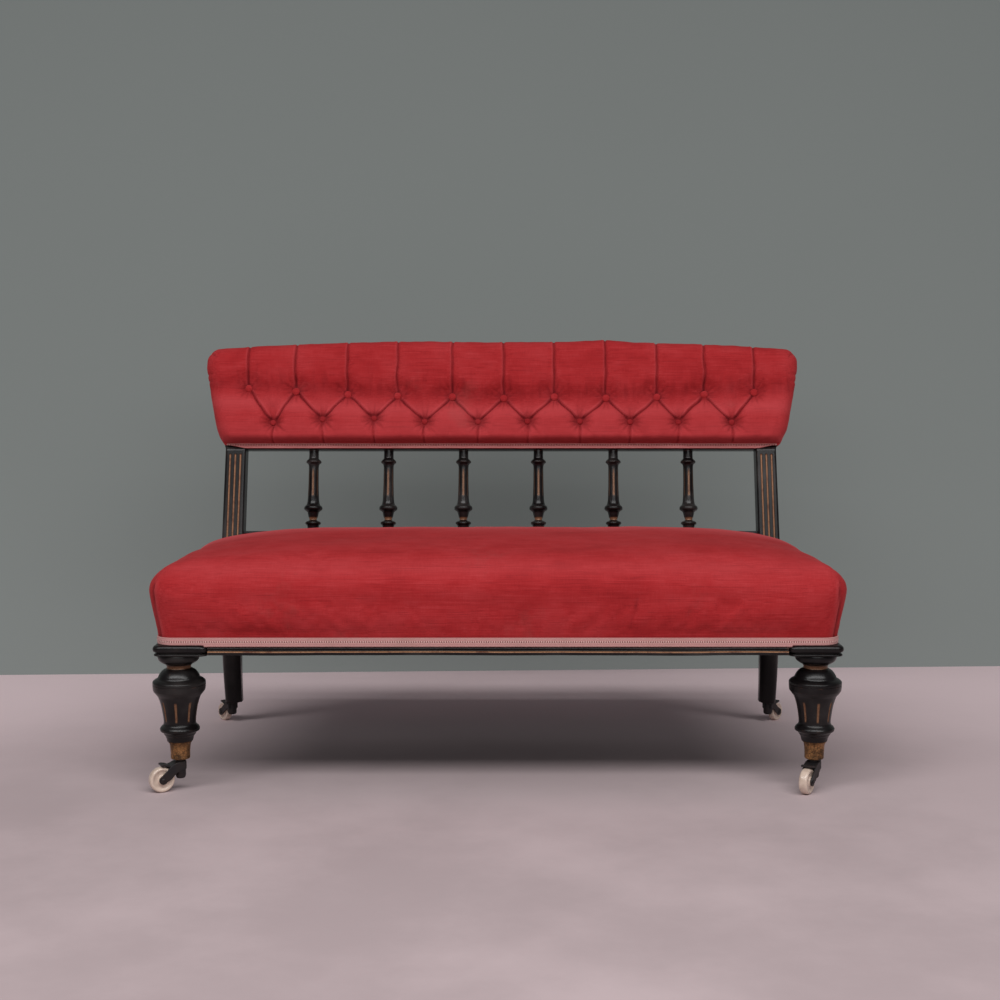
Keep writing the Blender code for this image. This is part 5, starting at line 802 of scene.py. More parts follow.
def make_front_leg(name, side):
    """A turned leg: its profile round the leg's axis, eight flutes in its taper, a bullnosed cap and a block."""
    tall = LEG_TOP - LEG_FOOT
    runs = [[(LEG_BULB * r, LEG_FOOT + t * tall) for t, r in run] for run in LEG_RUNS]
    top = LEG_BULB * LEG_RUNS[0][0][1]
    body = [(top, CAP_LOW + 0.004)] + [tuple(p) for p in profile(*runs, steps=4)]
    body += [(SPIGOT_TOP, LEG_FOOT), (SPIGOT_END, SPIGOT_LOW)]
    centres = -math.pi / 2 + np.arange(FLUTES) * 2 * math.pi / FLUTES
    low, high = LEG_FOOT + 0.235 * tall, LEG_FOOT + 0.460 * tall
    half = FLUTE_HALF / (0.68 * LEG_BULB)
    flutes = lambda z, a: flute_share(z, a, centres, half, low, high)
    neck = lambda z, a: 0.75 * smooth_step((0.022 - np.abs((z - LEG_FOOT) / tall - 0.847)) / 0.008)
    gilt = lambda z, a: np.maximum(0.8 * flutes(z, a) ** 0.5, neck(z, a))
    shaft = lathe(np.array(body), fluted_angles(centres, half, 5), lambda z, a: FLUTE_DEEP * flutes(z, a), {"gilt": gilt})
    edge = [[(CAP_LOW + t * (CAP_HIGH - CAP_LOW), inset * CAP_EDGE) for t, inset in run] for run in CAP_RUNS]
    rows = []
    for z, inset in profile(*edge, steps=3):
        loop = rounded_loop(CAP_HALF - inset, CAP_HALF - inset, CAP_ROUND, 8, 6)
        rows.append(np.column_stack([loop, np.full(len(loop), z)]))
    corner = rounded_loop(BLOCK_HALF - 0.0008, BLOCK_HALF - 0.0008, 0.0245, 6, 1)
    head = skin(np.stack([np.column_stack([corner, np.full(len(corner), z)]) for z in (CAP_HIGH - 0.004, RAIL_TOP)]))
    to_leg = lambda points: points + np.array([side * LEG_X, LEG_Y, 0])
    to_cap = lambda points: points + np.array([side * CAP_X[side], CAP_Y, 0])
    shells = [shaft.carried(to_leg), skin(np.stack(rows)).carried(to_cap), head.carried(to_leg)]
    return piece(f"turned_leg_{name}", shells, finish_of("wood"), stands_for=[f"front_leg_{name}"], sharp=50)


def post_line(z):
    """The post's middle y: straight up the rake over the knee, and a parabola swept back under it."""
    knee_y = PANEL_Y + math.tan(RAKE) * (KNEE - PANEL_Z)
    below = np.maximum(KNEE - z, 0)
    fall = KNEE - FOOT
    bend = (SWEEP + math.tan(RAKE) * fall) / fall**2
    return np.where(z >= KNEE, PANEL_Y + math.tan(RAKE) * (z - PANEL_Z), knee_y - math.tan(RAKE) * below + bend * below**2)


def make_post(name, side):
    """A sabre post: a rounded section carried up its swept line, with three round-ended flutes over the seat."""
    slots = np.array([-1, 0, 1]) * 0.0104
    across = np.unique(np.concatenate([(slots[:, None] + np.linspace(-1.2, 1.2, 13)[None] * 0.0023).ravel(),
                                       np.linspace(-0.0150, 0.0150, 9)]))
    low_z = np.concatenate([np.linspace(FOOT, RAIL_TOP, 30), np.linspace(RAIL_TOP, KNEE, 14)[1:]])
    flute_low, flute_high = PANEL_Z - 0.190 * math.cos(RAKE), PANEL_Z - 0.010 * math.cos(RAKE)
    ends = np.concatenate([flute_low + np.linspace(0, 0.004, 7), flute_high - np.linspace(0, 0.004, 7)])
    heights = np.unique(np.concatenate([low_z, np.linspace(KNEE, PANEL_Z, 40), ends]))
    outer = np.interp(heights, [FOOT, RAIL_LOW, KNEE, PANEL_Z], [0.5695, 0.5650, 0.5620, 0.5580])
    width = np.interp(heights, [FOOT, RAIL_LOW, KNEE, PANEL_Z], [0.034, 0.0405, 0.0425, 0.0410])
    front = np.interp(heights, [FOOT, RAIL_LOW, RAIL_TOP, KNEE], [0.017, 0.0215, 0.0215, 0.018])
    back = np.interp(heights, [FOOT, RAIL_LOW, RAIL_TOP, KNEE], [0.017, 0.0215, 0.0215, 0.020])
    tilt = RAKE * smooth_step((heights - RAIL_TOP) / (KNEE - RAIL_TOP))
    up = np.linspace(0, POST_UP, 14)[1:] - GAP
    share = np.clip(up, 0, None) / POST_UP
    outer = np.concatenate([outer, 0.558 + 0.029 * share**0.7])
    width = np.concatenate([width, 0.0410 + 0.004 * share])
    front = np.concatenate([front, np.full(len(up), PLANE_FRONT)])
    back = np.concatenate([back, np.full(len(up), PLANE_BACK)])
    tilt = np.concatenate([tilt, np.full(len(up), RAKE)])
    centre_y = np.concatenate([post_line(heights), PANEL_Y + up * math.sin(RAKE)])
    centre_z = np.concatenate([heights, PANEL_Z + up * math.cos(RAKE)])
    flat = np.column_stack([across, np.zeros_like(across)])
    corner = rounded_loop(1, 1, 0.2, 6, 4)
    rest = corner[(corner[:, 1] > -0.999) | (np.abs(corner[:, 0]) > 0.79)]
    start = np.argmin(np.hypot(rest[:, 0] - 0.8, rest[:, 1] + 1))
    rest = np.roll(rest, -start, axis=0)
    n = len(centre_z)
    section_x = np.concatenate([np.broadcast_to(flat[:, 0], (n, len(flat))), rest[:, 0] * width[:, None] / 2], axis=1)
    limit = 0.78 * width[:, None] / 2
    section_x[:, : len(flat)] = np.clip(section_x[:, : len(flat)], -limit, limit)
    depth = np.where(rest[:, 1] < 0, -rest[:, 1] * front[:, None], -rest[:, 1] * back[:, None])
    away = np.abs(across[:, None] - slots[None]).min(1) / 0.0022
    middle, reach = (flute_low + flute_high) / 2, (flute_high - flute_low) / 2
    end = np.clip((np.abs(centre_z - middle) - reach) / 0.003 + 1, 0, 1)
    hollow = np.sqrt(np.clip(1 - away[None] ** 2 - end[:, None] ** 2, 0, 1))
    ahead = np.concatenate([front[:, None] - 0.0015 * hollow, depth], axis=1)
    worn_round = smooth_step((RAIL_LOW - centre_z) / 0.04)[:, None]
    ahead = ahead * (1 - 0.42 * worn_round * np.abs(2 * section_x / width[:, None]) ** 3)
    gilt = np.concatenate([smooth_step((hollow - 0.45) / 0.4), np.zeros_like(depth)], axis=1)
    skew = BACK_SKEW * (1 if side < 0 else smooth_step((centre_z - RAIL_TOP) / (KNEE - RAIL_TOP)))
    centre_x = (side * (outer - width / 2) + skew)[:, None]
    y = centre_y[:, None] - ahead * np.cos(tilt)[:, None]
    z = centre_z[:, None] + ahead * np.sin(tilt)[:, None]
    grid = np.stack([centre_x + section_x, y, z], axis=-1)
    shell = skin(grid, gilt=gilt)
    return piece(f"sabre_post_{name}", [shell], finish_of("wood"), stands_for=[f"back_post_{name}"], sharp=50)


def lip_section():
    """The moulding under a rail as (out, up), with its gilt line."""
    runs = [[(out * LIP_OUT, LIP_LOW + t * (LIP_HIGH - LIP_LOW)) for t, out in run] for run in LIP_RUNS]
    edge = profile(*runs, steps=3)
    inner = [(-LIP_IN, LIP_LOW), (-LIP_IN, LIP_HIGH)]
    gilt = smooth_step((0.10 - np.abs((edge[:, 1] - LIP_LOW) / (LIP_HIGH - LIP_LOW) - 0.45)) / 0.05)
    return np.vstack([edge, inner]), np.concatenate([gilt, [0, 0]])


def make_front_rail():
    """The front rail: its moulding carried along x with the slight sag of age, and the plank behind it."""
    section, gilt = lip_section()
    left, right = (side * (CAP_X[side] - CAP_HALF - GAP) for side in SIDES.values())
    x = np.linspace(left, right, 160)
    sag = 0.0005 * ripples(x, 0 * x, 9, 0.06, 0.5, 5) * smooth_step(np.minimum(x - left, right - x) / 0.05)
    grid = np.stack([x[:, None] + 0 * section[None, :, 0], FRAME_Y - section[None, :, 0] + 0 * x[:, None],
                     section[None, :, 1] + sag[:, None]], axis=-1)
    end = LEG_X - BLOCK_HALF - GAP
    plank = block((-end, FRAME_Y, RAIL_LOW), (end, FRAME_Y + RAIL_DEEP, RAIL_TOP))
    return piece("front_rail_moulded", [skin(grid, gilt=gilt[None]), plank], finish_of("rail"),
                 stands_for=["front_rail"])


def make_side_rail(name, side):
    """A side rail: the same moulding along its tapering face, and the plank behind it."""
    section, gilt = lip_section()
    start, end = CAP_Y + CAP_HALF + GAP, POST_FACE - GAP
    y = np.linspace(start, end, 60)
    x = side * (side_face(y)[:, None] + section[None, :, 0])
    grid = np.stack([x, y[:, None] + 0 * x, section[None, :, 1] + 0 * x], axis=-1)
    front = LEG_Y + BLOCK_HALF + GAP
    rows = []
    for inset, z in ((0.001, RAIL_LOW), (0, RAIL_LOW + 0.001), (0, RAIL_TOP - 0.001), (0.001, RAIL_TOP)):
        corners = [(side_face(front) - inset, front + inset), (side_face(end) - inset, end - inset),
                   (side_face(end) - RAIL_DEEP + inset, end - inset), (side_face(front) - RAIL_DEEP + inset, front + inset)]
        rows.append([(side * px, py, z) for px, py in corners])
    plank = skin(np.array(rows))
    return piece(f"side_rail_moulded_{name}", [skin(grid, gilt=gilt[None]), plank], finish_of("rail"),
                 stands_for=[f"side_rail_{name}"])


def make_stay_rail():
    """The low back rail: a section with two quirked beads on its face, carried between the posts."""
    tall, deep = STAY_HIGH - STAY_LOW, 0.024
    middle = (STAY_HIGH + STAY_LOW) / 2
    heights = np.linspace(-1, 1, 61) * (tall / 2 - 0.002)
    quirk = sum(bump(heights - at, 0.0011) for at in (-tall / 4, tall / 4)) * 0.0015
    face = np.column_stack([PLANE_FRONT - quirk, heights])
    turns = np.linspace(math.pi / 2, 0, 5)[:-1]
    easing = np.column_stack([PLANE_FRONT - 0.002 + 0.002 * np.cos(turns), tall / 2 - 0.002 + 0.002 * np.sin(turns)])
    front = np.vstack([easing * (1, -1), face, easing[::-1]])
    rear = np.array([(PLANE_FRONT - deep, tall / 2), (PLANE_FRONT - deep, -tall / 2)])
    section = np.vstack([front, rear])
    reach = 0.567 - 0.0415 / 2
    x = np.linspace(-reach, reach, 40)[:, None] + 0 * section[None, :, 0]
    grid = plane(np.stack([x, section[None, :, 0] + 0 * x, section[None, :, 1] + middle + 0 * x], axis=-1))
    return piece("beaded_stay_rail", [skin(grid)], finish_of("wood"), stands_for=["stay_rail"])


def make_spindle(number):
    """A turned spindle: rings and swells on a fluted shaft, with a reeded foot to the shaft and a gilt cove."""
    tall = SPINDLE_LONG - 2 * GAP
    runs = [[(SPINDLE_BULB * r, t * tall) for t, r in run] for run in SPINDLE_RUNS]
    body = [(0.006, tall + 0.010), (0.006, tall)] + [tuple(p) for p in profile(*runs, steps=4)]
    body += [(0.006, 0), (0.006, -0.010)]
    centres = -math.pi / 2 + np.arange(6) * math.pi / 3
    low, high = 0.430 * tall, 0.745 * tall
    flutes = lambda z, a: flute_share(z, a, centres, 0.24, low, high)
    reeds = lambda z, a: (0.5 + 0.5 * np.cos(12 * (a + math.pi / 2))) * bump(z - 0.395 * tall, 0.0085)
    cove = lambda z, a: 0.9 * smooth_step((0.018 - np.abs(z / tall - 0.154)) / 0.006)
    front = lambda a: smooth_step(0.5 + 1.2 * np.cos(a + math.pi / 2) - 0.7)
    gilt = lambda z, a: np.maximum(0.65 * flutes(z, a) ** 0.7 * (0.1 + 0.9 * front(a)), cove(z, a))
    shell = lathe(np.array(body), fluted_angles(centres, 0.24, 3),
                  lambda z, a: 0.0009 * flutes(z, a) + 0.0005 * reeds(z, a), {"gilt": gilt})
    x = (number - (SPINDLES + 1) / 2) * SPINDLE_STEP + BACK_SKEW
    forward = PLANE_FRONT - 0.012
    place = lambda p: plane(np.stack([p[:, 0] + x, forward - p[:, 1], p[:, 2] + GAP - SPINDLE_LONG], axis=-1))
    return piece(f"turned_spindle_{number}", [shell.carried(place)], finish_of("wood"),
                 stands_for=[f"spindle_{number}"], sharp=50)


# ---- Casters ----

WHEEL_RUNS = [
    [(0.34, 1.00), (0.37, 0.98), (0.39, 0.86), (0.42, 0.76), (0.50, 0.72), (0.62, 0.74), (0.72, 0.84), (0.80, 0.94)],
    [(0.80, 0.94), (0.84, 0.96), (0.89, 0.93), (0.94, 0.84), (0.98, 0.66), (1.00, 0.42), (1.00, 0.00)],
]


def arc(centre, radius, start, end, count):
    turns = np.radians(np.linspace(start, end, count))
    return np.column_stack([centre[0] + radius * np.cos(turns), centre[1] + radius * np.sin(turns)])


def caster_place(name):
    """A function that turns points of (along the trail, across, up) to the caster's place."""
    x, y, turn = CASTERS[name]
    cos, sin = math.cos(math.radians(turn)), math.sin(math.radians(turn))
    return lambda p: np.stack([x + p[..., 0] * cos - p[..., 1] * sin, y + p[..., 0] * sin + p[..., 1] * cos, p[..., 2]], axis=-1)


def make_cup(name, side):
    """A tapered brass cup, rolled at its rim, on the leg's spigot."""
    top, low = SPIGOT_TOP + GAP, SPIGOT_END + GAP
    rim = LEG_FOOT - GAP
    outer = [(top + CUP_WALL + 0.0006, rim), (top + CUP_WALL + 0.0013, rim - 0.0011), (top + CUP_WALL + 0.0008, rim - 0.0025)]
    outer += [(top + CUP_WALL - 0.0006, rim - 0.0032), (low + CUP_WALL + 0.0004, CUP_LOW + 0.0040)]
    outer += [(low + CUP_WALL + 0.0006, CUP_LOW + 0.0026), (low + CUP_WALL, CUP_LOW + 0.0004)]
    outline = [(top, rim)] + [tuple(p) for p in eased(outer, 4)]
    outline += [(low, CUP_LOW), (STEM_HOLE, CUP_LOW), (STEM_HOLE, CUP_LOW + CUP_FLOOR), (low, CUP_LOW + CUP_FLOOR)]
    shell = lathe(np.array(outline), even_angles(64), closed=True)
    place = lambda points: points + np.array([side * LEG_X, LEG_Y, 0])
    return piece(f"brass_cup_{name}", [shell.carried(place)], finish_of("brass"),
                 stands_for=[f"front_{name}_caster_cup"])


def make_plate(name):
    """A round iron plate under a back leg, with an eased edge."""
    top = FOOT - GAP
    outline = [(STEM_HOLE, top), (0.0144, top), (0.0150, top - 0.0006), (0.0150, top - 0.0019), (0.0144, top - 0.0025),
               (STEM_HOLE, top - 0.0025)]
    shell = lathe(np.array(outline), even_angles(48), closed=True)
    x, y = CASTERS[f"rear_{name}"][:2]
    place = lambda points: points + np.array([x, y, 0])
    return piece(f"foot_plate_{name}", [shell.carried(place)], finish_of("iron"),
                 stands_for=[f"rear_{name}_caster_plate"])


def fork_outlines(size):
    """Side outlines of an arm and of the crown over the wheel, as (along the trail, up)."""
    radius, trail = size["radius"], size["trail"]
    axle, rise = (trail, radius), size["crown"] - size["radius"]
    at = lambda shares: eased([(a * trail, radius + b * rise) for a, b in shares], 4)
    arm = np.vstack([at([(-0.12, 0.94), (0.10, 0.96), (0.30, 0.94)]), at([(0.30, 0.94), (0.56, 0.80), (0.80, 0.52)])[1:],
                     arc(axle, EAR, 40, -150, 16), at([(0.60, 0.00), (0.36, 0.28), (0.12, 0.46), (-0.12, 0.50)])])
    gap, thick = 0.0022, 0.0032
    crown = np.vstack([arc(axle, radius + gap + thick, 85, 118, 9),
                       [(s * trail, radius + u * rise) for s, u in ((0.10, 1.0), (-0.22, 1.0), (-0.22, 0.56), (0.0, 0.30))],
                       arc(axle, radius + gap, 150, 85, 13)])
    return arm, crown


def make_caster(name):
    """A horn with its stem, two arms and a crown; a porcelain wheel; and a headed pin. The horn and pin ride on the
    fork's body, the wheel on its own.
    """
    size = FRONT_CASTER if name.startswith("front") else REAR_CASTER
    radius, width, trail = size["radius"], size["width"], size["trail"]
    place = caster_place(name)
    base, level, head = radius - EAR / 4, size["level"], size["head"]
    post = [(0.0030, head + 0.0030), (0.0058, head + 0.0019), (0.0062, head + 0.0008), (0.0058, head), (0.0040, head), (0.0040, level)]
    post += [(r * BOSS, base + t * (level - base)) for t, r in ((1, 0.82), (0.98, 0.95), (0.92, 1), (0.22, 1), (0.10, 0.94), (0.03, 0.78))]
    post += [(0.5 * BOSS, base)]
    arm, crown = fork_outlines(size)
    half = width / 2 + 0.0008
    shells = [lathe(np.array(post), even_angles(36)).carried(place), extruded(crown, 2 * half + ARM_THICK, place)]
    for side in SIDES.values():
        shift = side * (half + ARM_THICK / 2)
        shells.append(extruded(arm, ARM_THICK, lambda p, shift=shift: place(p + np.array([0, shift, 0]))))
    horn = piece(f"{name}_horn", shells, finish_of("iron"), f"{name}_fork_body", [f"{name}_fork"], 30)
    add_bevel(horn, 0.0006)
    to_axle = lambda p: place(np.stack([p[..., 0] + trail, p[..., 2], p[..., 1] + radius], axis=-1))
    face = profile(*[[(r * radius, h * width / 2) for r, h in run] for run in WHEEL_RUNS], steps=4)
    bore = AXLE + GAP
    outline = np.vstack([[(bore, width / 2)], face, face[-2::-1] * (1, -1), [(bore, -width / 2)]])
    wheel = lathe(outline, even_angles(72), closed=True).carried(to_axle)
    piece(f"{name}_porcelain_wheel", [wheel], finish_of("porcelain"), f"{name}_wheel_body", [f"{name}_wheel"])
    inner = half + ARM_THICK + GAP
    pin = [(0.0012, inner + 0.0012), (0.0030, inner + 0.0009), (PIN_HEAD, inner + 0.0003), (PIN_HEAD, inner), (AXLE, inner)]
    pin = np.array(pin + [(r, -z) for r, z in reversed(pin)])
    shell = lathe(pin, even_angles(28)).carried(to_axle)
    piece(f"{name}_pin", [shell], finish_of("iron"), f"{name}_fork_body", [f"{name}_axle"])


# ---- Cloth ----


def swell(shell, pinned, cap, pressure, growth, frames):
    """How far pressure moves the points of a coarse closed pad, held where it is pinned, and no further than the cap."""
    scene = bpy.context.scene
    made = bpy.data.objects.new("coarse pad", mesh_of("coarse pad", [shell]))
    scene.collection.objects.link(made)
    held = made.vertex_groups.new(name="held")
    for share in np.unique(np.round(pinned, 1)):
        if share > 0:
            held.add(np.flatnonzero(np.round(pinned, 1) == share).tolist(), float(share), "REPLACE")
    cloth = made.modifiers.new("cloth", "CLOTH")
    settings = cloth.settings
    settings.quality, settings.mass, settings.air_damping = 4, 0.35, 3.0
    settings.tension_stiffness = settings.compression_stiffness = 25.0
    settings.shear_stiffness, settings.bending_stiffness = 12.0, 0.25
    settings.use_pressure, settings.uniform_pressure_force = True, pressure
    settings.effector_weights.gravity = 0.0
    settings.vertex_group_mass, settings.pin_stiffness, settings.shrink_min = "held", 20.0, -growth
    cloth.collision_settings.use_collision = False
    cloth.point_cache.frame_start, cloth.point_cache.frame_end = 1, frames
    for step in range(1, frames + 1):
        scene.frame_set(step)
    blown = made.evaluated_get(bpy.context.evaluated_depsgraph_get()).to_mesh()
    move = np.nan_to_num(points_of(blown) - points_of(made.data))
    far = np.linalg.norm(move, axis=1)
    print(f"{frames} frames of cloth moved points {1000 * far.mean():.1f} mm on average, at most {1000 * far.max():.1f} mm")
    old = made.data
    bpy.data.objects.remove(made)
    bpy.data.meshes.remove(old)
    scene.frame_set(1)
    return move * (cap * np.tanh(far / cap) / np.maximum(far, 1e-9))[:, None]


def finer(grid, rows, columns):
    """A grid of values drawn out to more rows and columns by cubics through four neighbours."""
    for axis, count in ((0, rows), (1, columns)):
        last = grid.shape[axis] - 1
        at = np.linspace(0, last, count)
        low = np.minimum(at.astype(int), last - 1)
        t = (at - low).reshape([-1 if k == axis else 1 for k in range(grid.ndim)])
        shares = (t * (t * (1 - 0.5 * t) - 0.5), 1 + t * t * (1.5 * t - 2.5), t * (0.5 + t * (2 - 1.5 * t)), 0.5 * t * t * (t - 1))
        grid = sum(np.take(grid, np.clip(low + k - 1, 0, last), axis) * share for k, share in enumerate(shares))
    return grid


def moved_along_normals(mesh, distance):
    points = points_of(mesh) + normals_of(mesh) * distance[:, None]
    mesh.vertices.foreach_set("co", points.astype(np.float32).ravel())
    mesh.update()


def seat_side(half_x, half_y, radius, count):
    """The front side of a rounded rectangle, from the middle of one corner to the middle of the next."""
    first = arc((-half_x + radius, -half_y + radius), radius, 225, 270, 20)
    last = arc((half_x - radius, -half_y + radius), radius, 270, 315, 20)
    line = np.vstack([first, last])
    run = np.concatenate([[0], np.cumsum(np.linalg.norm(np.diff(line, axis=0), axis=1))])
    at = np.linspace(0, run[-1], count + 1)
    return np.column_stack([np.interp(at, run, line[:, 0]), np.interp(at, run, line[:, 1])])


def seat_loop(out, columns, rows):
    """The seat's plan let out by a distance: four sides, drawn in along the rails and tucked in before the posts."""
    half_x, half_y = SEAT_HALF + out, (SEAT_REAR - SEAT_FRONT) / 2 + out
    radius = max(SEAT_ROUND + out, SEAT_ROUND / 3)
    sides = []
    for k, (a, b, count) in enumerate([(half_x, half_y, columns), (half_y, half_x, rows)] * 2):
        line = seat_side(a, b, radius, count)[:-1]
        cos, sin = round(math.cos(k * math.pi / 2)), round(math.sin(k * math.pi / 2))
        sides.append(np.column_stack([line[:, 0] * cos - line[:, 1] * sin, line[:, 0] * sin + line[:, 1] * cos]))
    loop = np.vstack(sides) + np.array([0, (SEAT_REAR + SEAT_FRONT) / 2])
    return drawn_in(loop)


def drawn_in(loop):
    """Points of the plan drawn in with the side rails, and round before the posts."""
    x, y = loop.T
    x = x * (1 - (FRAME_X - side_face(np.maximum(y, LEG_Y + BLOCK_HALF))) / FRAME_X)
    tuck = smooth_step((y - POST_FACE + 0.010) / 0.020)
    limit = np.where(tuck > 0, np.maximum(np.abs(x) * (1 - tuck) + POST_TUCK * tuck, POST_TUCK), np.abs(x))
    x = np.sign(x) * np.minimum(np.abs(x), limit)
    return np.column_stack([x + SEAT_SKEW * (x > 0) * (x / SEAT_HALF) ** 2 * (1 - tuck), y])


def swell_fade(y):
    """How much of the sides' swell is left near the posts."""
    return 1 - 0.75 * smooth_step((y - POST_FACE + 0.070) / 0.070)


def seat_fall(x, y, z):
    """How far the seat falls: at the back to pass under the stay rail, and at its two ends."""
    back = SEAT_FALL * smooth_step((y - SEAT_REAR + SEAT_FALL_RUN) / SEAT_FALL_RUN) * np.clip((z - SEAT_LOW) / SEAT_EDGE, 0, 1)
    return back + SEAT_END_FALL * smooth_step((np.abs(x) - 0.33) / 0.25) * smooth_step((z - 0.33) / 0.06)


def seat_profile(sizes):
    """Distance out and height over the lower edge, from the braid up round the edge to the crown."""
    out, crown = sizes.seat_swell, sizes.seat_crown
    side = [(0.000, 0.000), (0.06 * out, 0.0188), (0.28 * out, 0.0380), (0.54 * out, 0.0560), (0.76 * out, 0.0720), (0.94 * out, 0.0870),
            (out, 0.0970), (0.88 * out, 0.1090), (0.42 * out, 0.1215), (-0.50 * out, 0.1340)]
    rises = ((0.031, 0.27), (0.062, 0.50), (0.113, 0.75), (0.175, 0.91), (0.237, 0.99), (0.262, 1.0))
    return eased(side + [(-inset, SEAT_EDGE + crown * rise) for inset, rise in rises], 16)


def seat_net(sizes, spacing):
    """The seat's top as a grid and its side and underside as rings: a crowned patch on a swelling rounded plan."""
    columns, rows = round(1.16 / spacing), round(0.51 / spacing)
    run = seat_profile(sizes)
    edge = int(np.argmin(np.hypot(run[:, 0] + 0.5 * sizes.seat_swell, run[:, 1] - SEAT_EDGE)))
    length = np.concatenate([[0], np.cumsum(np.linalg.norm(np.diff(run[: edge + 1], axis=0), axis=1))])
    steps = np.linspace(0, length[-1], round(length[-1] / spacing) + 1)[::-1]
    side = np.column_stack([np.interp(steps, length, run[: edge + 1, k]) for k in (0, 1)])
    top_out = side[0, 0]
    loop = seat_loop(top_out, columns, rows)
    front, right = loop[: columns + 1], loop[columns: columns + rows + 1]
    rear = loop[columns + rows: 2 * columns + rows + 1][::-1]
    left = np.vstack([loop[2 * columns + rows:], loop[:1]])[::-1]
    s, t = np.linspace(0, 1, columns + 1)[None, :, None], np.linspace(0, 1, rows + 1)[:, None, None]
    patch = (1 - t) * front[None] + t * rear[None] + (1 - s) * left[:, None] + s * right[:, None]
    patch = patch - ((1 - s) * (1 - t) * front[0] + s * (1 - t) * front[-1] + (1 - s) * t * rear[0] + s * t * rear[-1])
    across, along = np.minimum(s, 1 - s) * 2 * SEAT_HALF, np.minimum(t, 1 - t) * (SEAT_REAR - SEAT_FRONT)
    near = np.maximum(1e-5, np.minimum(across, along))[..., 0]
    far = np.maximum(near, np.maximum(across, along)[..., 0])
    inset = near * (1 + (near / far) ** 2.4) ** (-1 / 2.4)
    rise = np.interp(inset - top_out, -run[edge:, 0], run[edge:, 1])
    x, y = patch[..., 0], patch[..., 1]
    z = SEAT_LOW + rise + 0.0016 * ripples(x, y, 12, 0.12, 0.6, 11) * smooth_step(inset / 0.08)
    top = np.dstack([patch, z - seat_fall(x, y, z)])
    base = seat_loop(0, columns, rows)
    rings = []
    for out, high in side[1:]:
        plan = base + (seat_loop(out, columns, rows) - base) * swell_fade(base[:, 1])[:, None]
        level = SEAT_LOW + high
        rings.append(np.column_stack([plan, level - seat_fall(plan[:, 0], plan[:, 1], level)]))
    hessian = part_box("seat_hessian")[1].z
    under = ((-0.0033, SEAT_LOW), (-0.0033, RAIL_TOP + 0.0024), (-0.0285, RAIL_TOP + 0.0024), (-0.0575, hessian + 0.0012))
    for out, level in under:
        plan = seat_loop(out, columns, rows)
        rings.append(np.column_stack([plan, np.full(len(plan), level)]))
    return top, np.stack(rings), len(side) - 1


def wrapped_net(top, rings):
    """A grid and the rings hung from its edge as one closed shell, with the numbers of its edge and rings."""
    grid = np.arange(top.shape[0] * top.shape[1]).reshape(top.shape[:2])
    rim = np.concatenate([grid[0, :-1], grid[:-1, -1], grid[-1, :0:-1], grid[:0:-1, 0]])
    ring_ids = grid.size + np.arange(rings.shape[0] * rings.shape[1]).reshape(rings.shape[:2])
    closed = lambda ids: np.append(ids, ids[0])
    quads = [np.stack([grid[:-1, :-1], grid[:-1, 1:], grid[1:, 1:], grid[1:, :-1]], axis=-1).reshape(-1, 4)]
    quads += [strip_faces(closed(low), closed(high)) for high, low in zip([rim, *ring_ids[:-1]], ring_ids)]
    points = np.vstack([top.reshape(-1, 3), rings.reshape(-1, 3)])
    return Shell(points, np.concatenate(quads), [ring_ids[-1][::-1]]), rim, ring_ids


def make_seat(sizes):
    """The sprung seat as one closed pad over rails and springs, blown up by cloth on a coarse net."""
    top, rings, count = seat_net(sizes, sizes.seat_spacing * 2)
    coarse, rim, ring_ids = wrapped_net(top, rings)
    pinned = np.zeros(len(coarse.points))
    pinned[ring_ids[count - 2:].ravel()] = 1.0
    pinned[ring_ids[count - 3]] = 0.5
    move = swell(coarse, pinned, 0.006, 3.0, 0.01, sizes.cloth_frames)
    move_top = move[: top.shape[0] * top.shape[1]].reshape(top.shape)
    move_side = np.concatenate([move[rim][None], move[ring_ids[:count]]])
    top, rings, fine_count = seat_net(sizes, sizes.seat_spacing)
    top = top + finer(move_top, *top.shape[:2])
    move_side = np.concatenate([move_side, move_side[:, :1]], axis=1)
    rings[:fine_count] += finer(move_side, fine_count + 1, rings.shape[1] + 1)[1:, :-1]
    shell = wrapped_net(top, rings)[0]
    made = piece("seat_velvet", [shell], finish_of("velvet"), stands_for=["seat_cover", "seat_stuffing"], sharp=180)
    dress_seat(made.data)
    return made


def dress_seat(mesh):
    """Corner folds, small puckers over the braid and soft dents, set along the normals; marks for their painted shade
    and painted highlights.
    """
    points, normals = points_of(mesh), normals_of(mesh)
    x, y, z = points.T
    front = smooth_step((-normals[:, 1] - 0.1) / 0.3) * (y < -0.24)
    line = np.abs(x) - 0.5753 - 0.0080 * smooth_step((z - 0.265) / 0.07)
    reach = smooth_step((0.378 - z) / 0.02) * smooth_step((z - 0.262) / 0.012)
    seam = front * reach * bump(line, 0.0020)
    lift = front * reach * bump(line + 0.0045, 0.0032)
    outer = normals[:, 2] < 0.5
    pucker = ripples(x * 2.2, y * 2.2, 16, 0.018, 0.06, 23) * bump(z - 0.281, 0.013) * outer
    dents = ripples(x, y, 14, 0.05, 0.22, 31) * smooth_step((z - 0.30) / 0.05)
    crease = bump(x - 0.236 - 0.25 * (z - 0.33), 0.0022) * bump(z - 0.322, 0.022) * front
    moved_along_normals(mesh, -0.0026 * seam + 0.0012 * lift + 0.0009 * pucker + 0.0011 * dents - 0.0014 * crease)
    # fold mark: painted shade in the corner seams, in the crease and just over the braid
    mark(mesh, "fold", np.clip(0.75 * seam + 0.5 * crease + 0.35 * bump(z - SEAT_LOW - GIMP_HIGH, 0.004) * outer, 0, 1))
    # lit mark: painted highlights on the lip beside each seam, along the front top edge and over the rear of the top
    mark(mesh, "lit", np.clip(0.35 * lift + 0.16 * bump(z - 0.390, 0.014) * (normals[:, 2] > 0.3) + 0.65 * smooth_step((y + 0.08) / 0.13) * (normals[:, 2] > 0.6), 0, 1))


# ---- The buttoned back ----


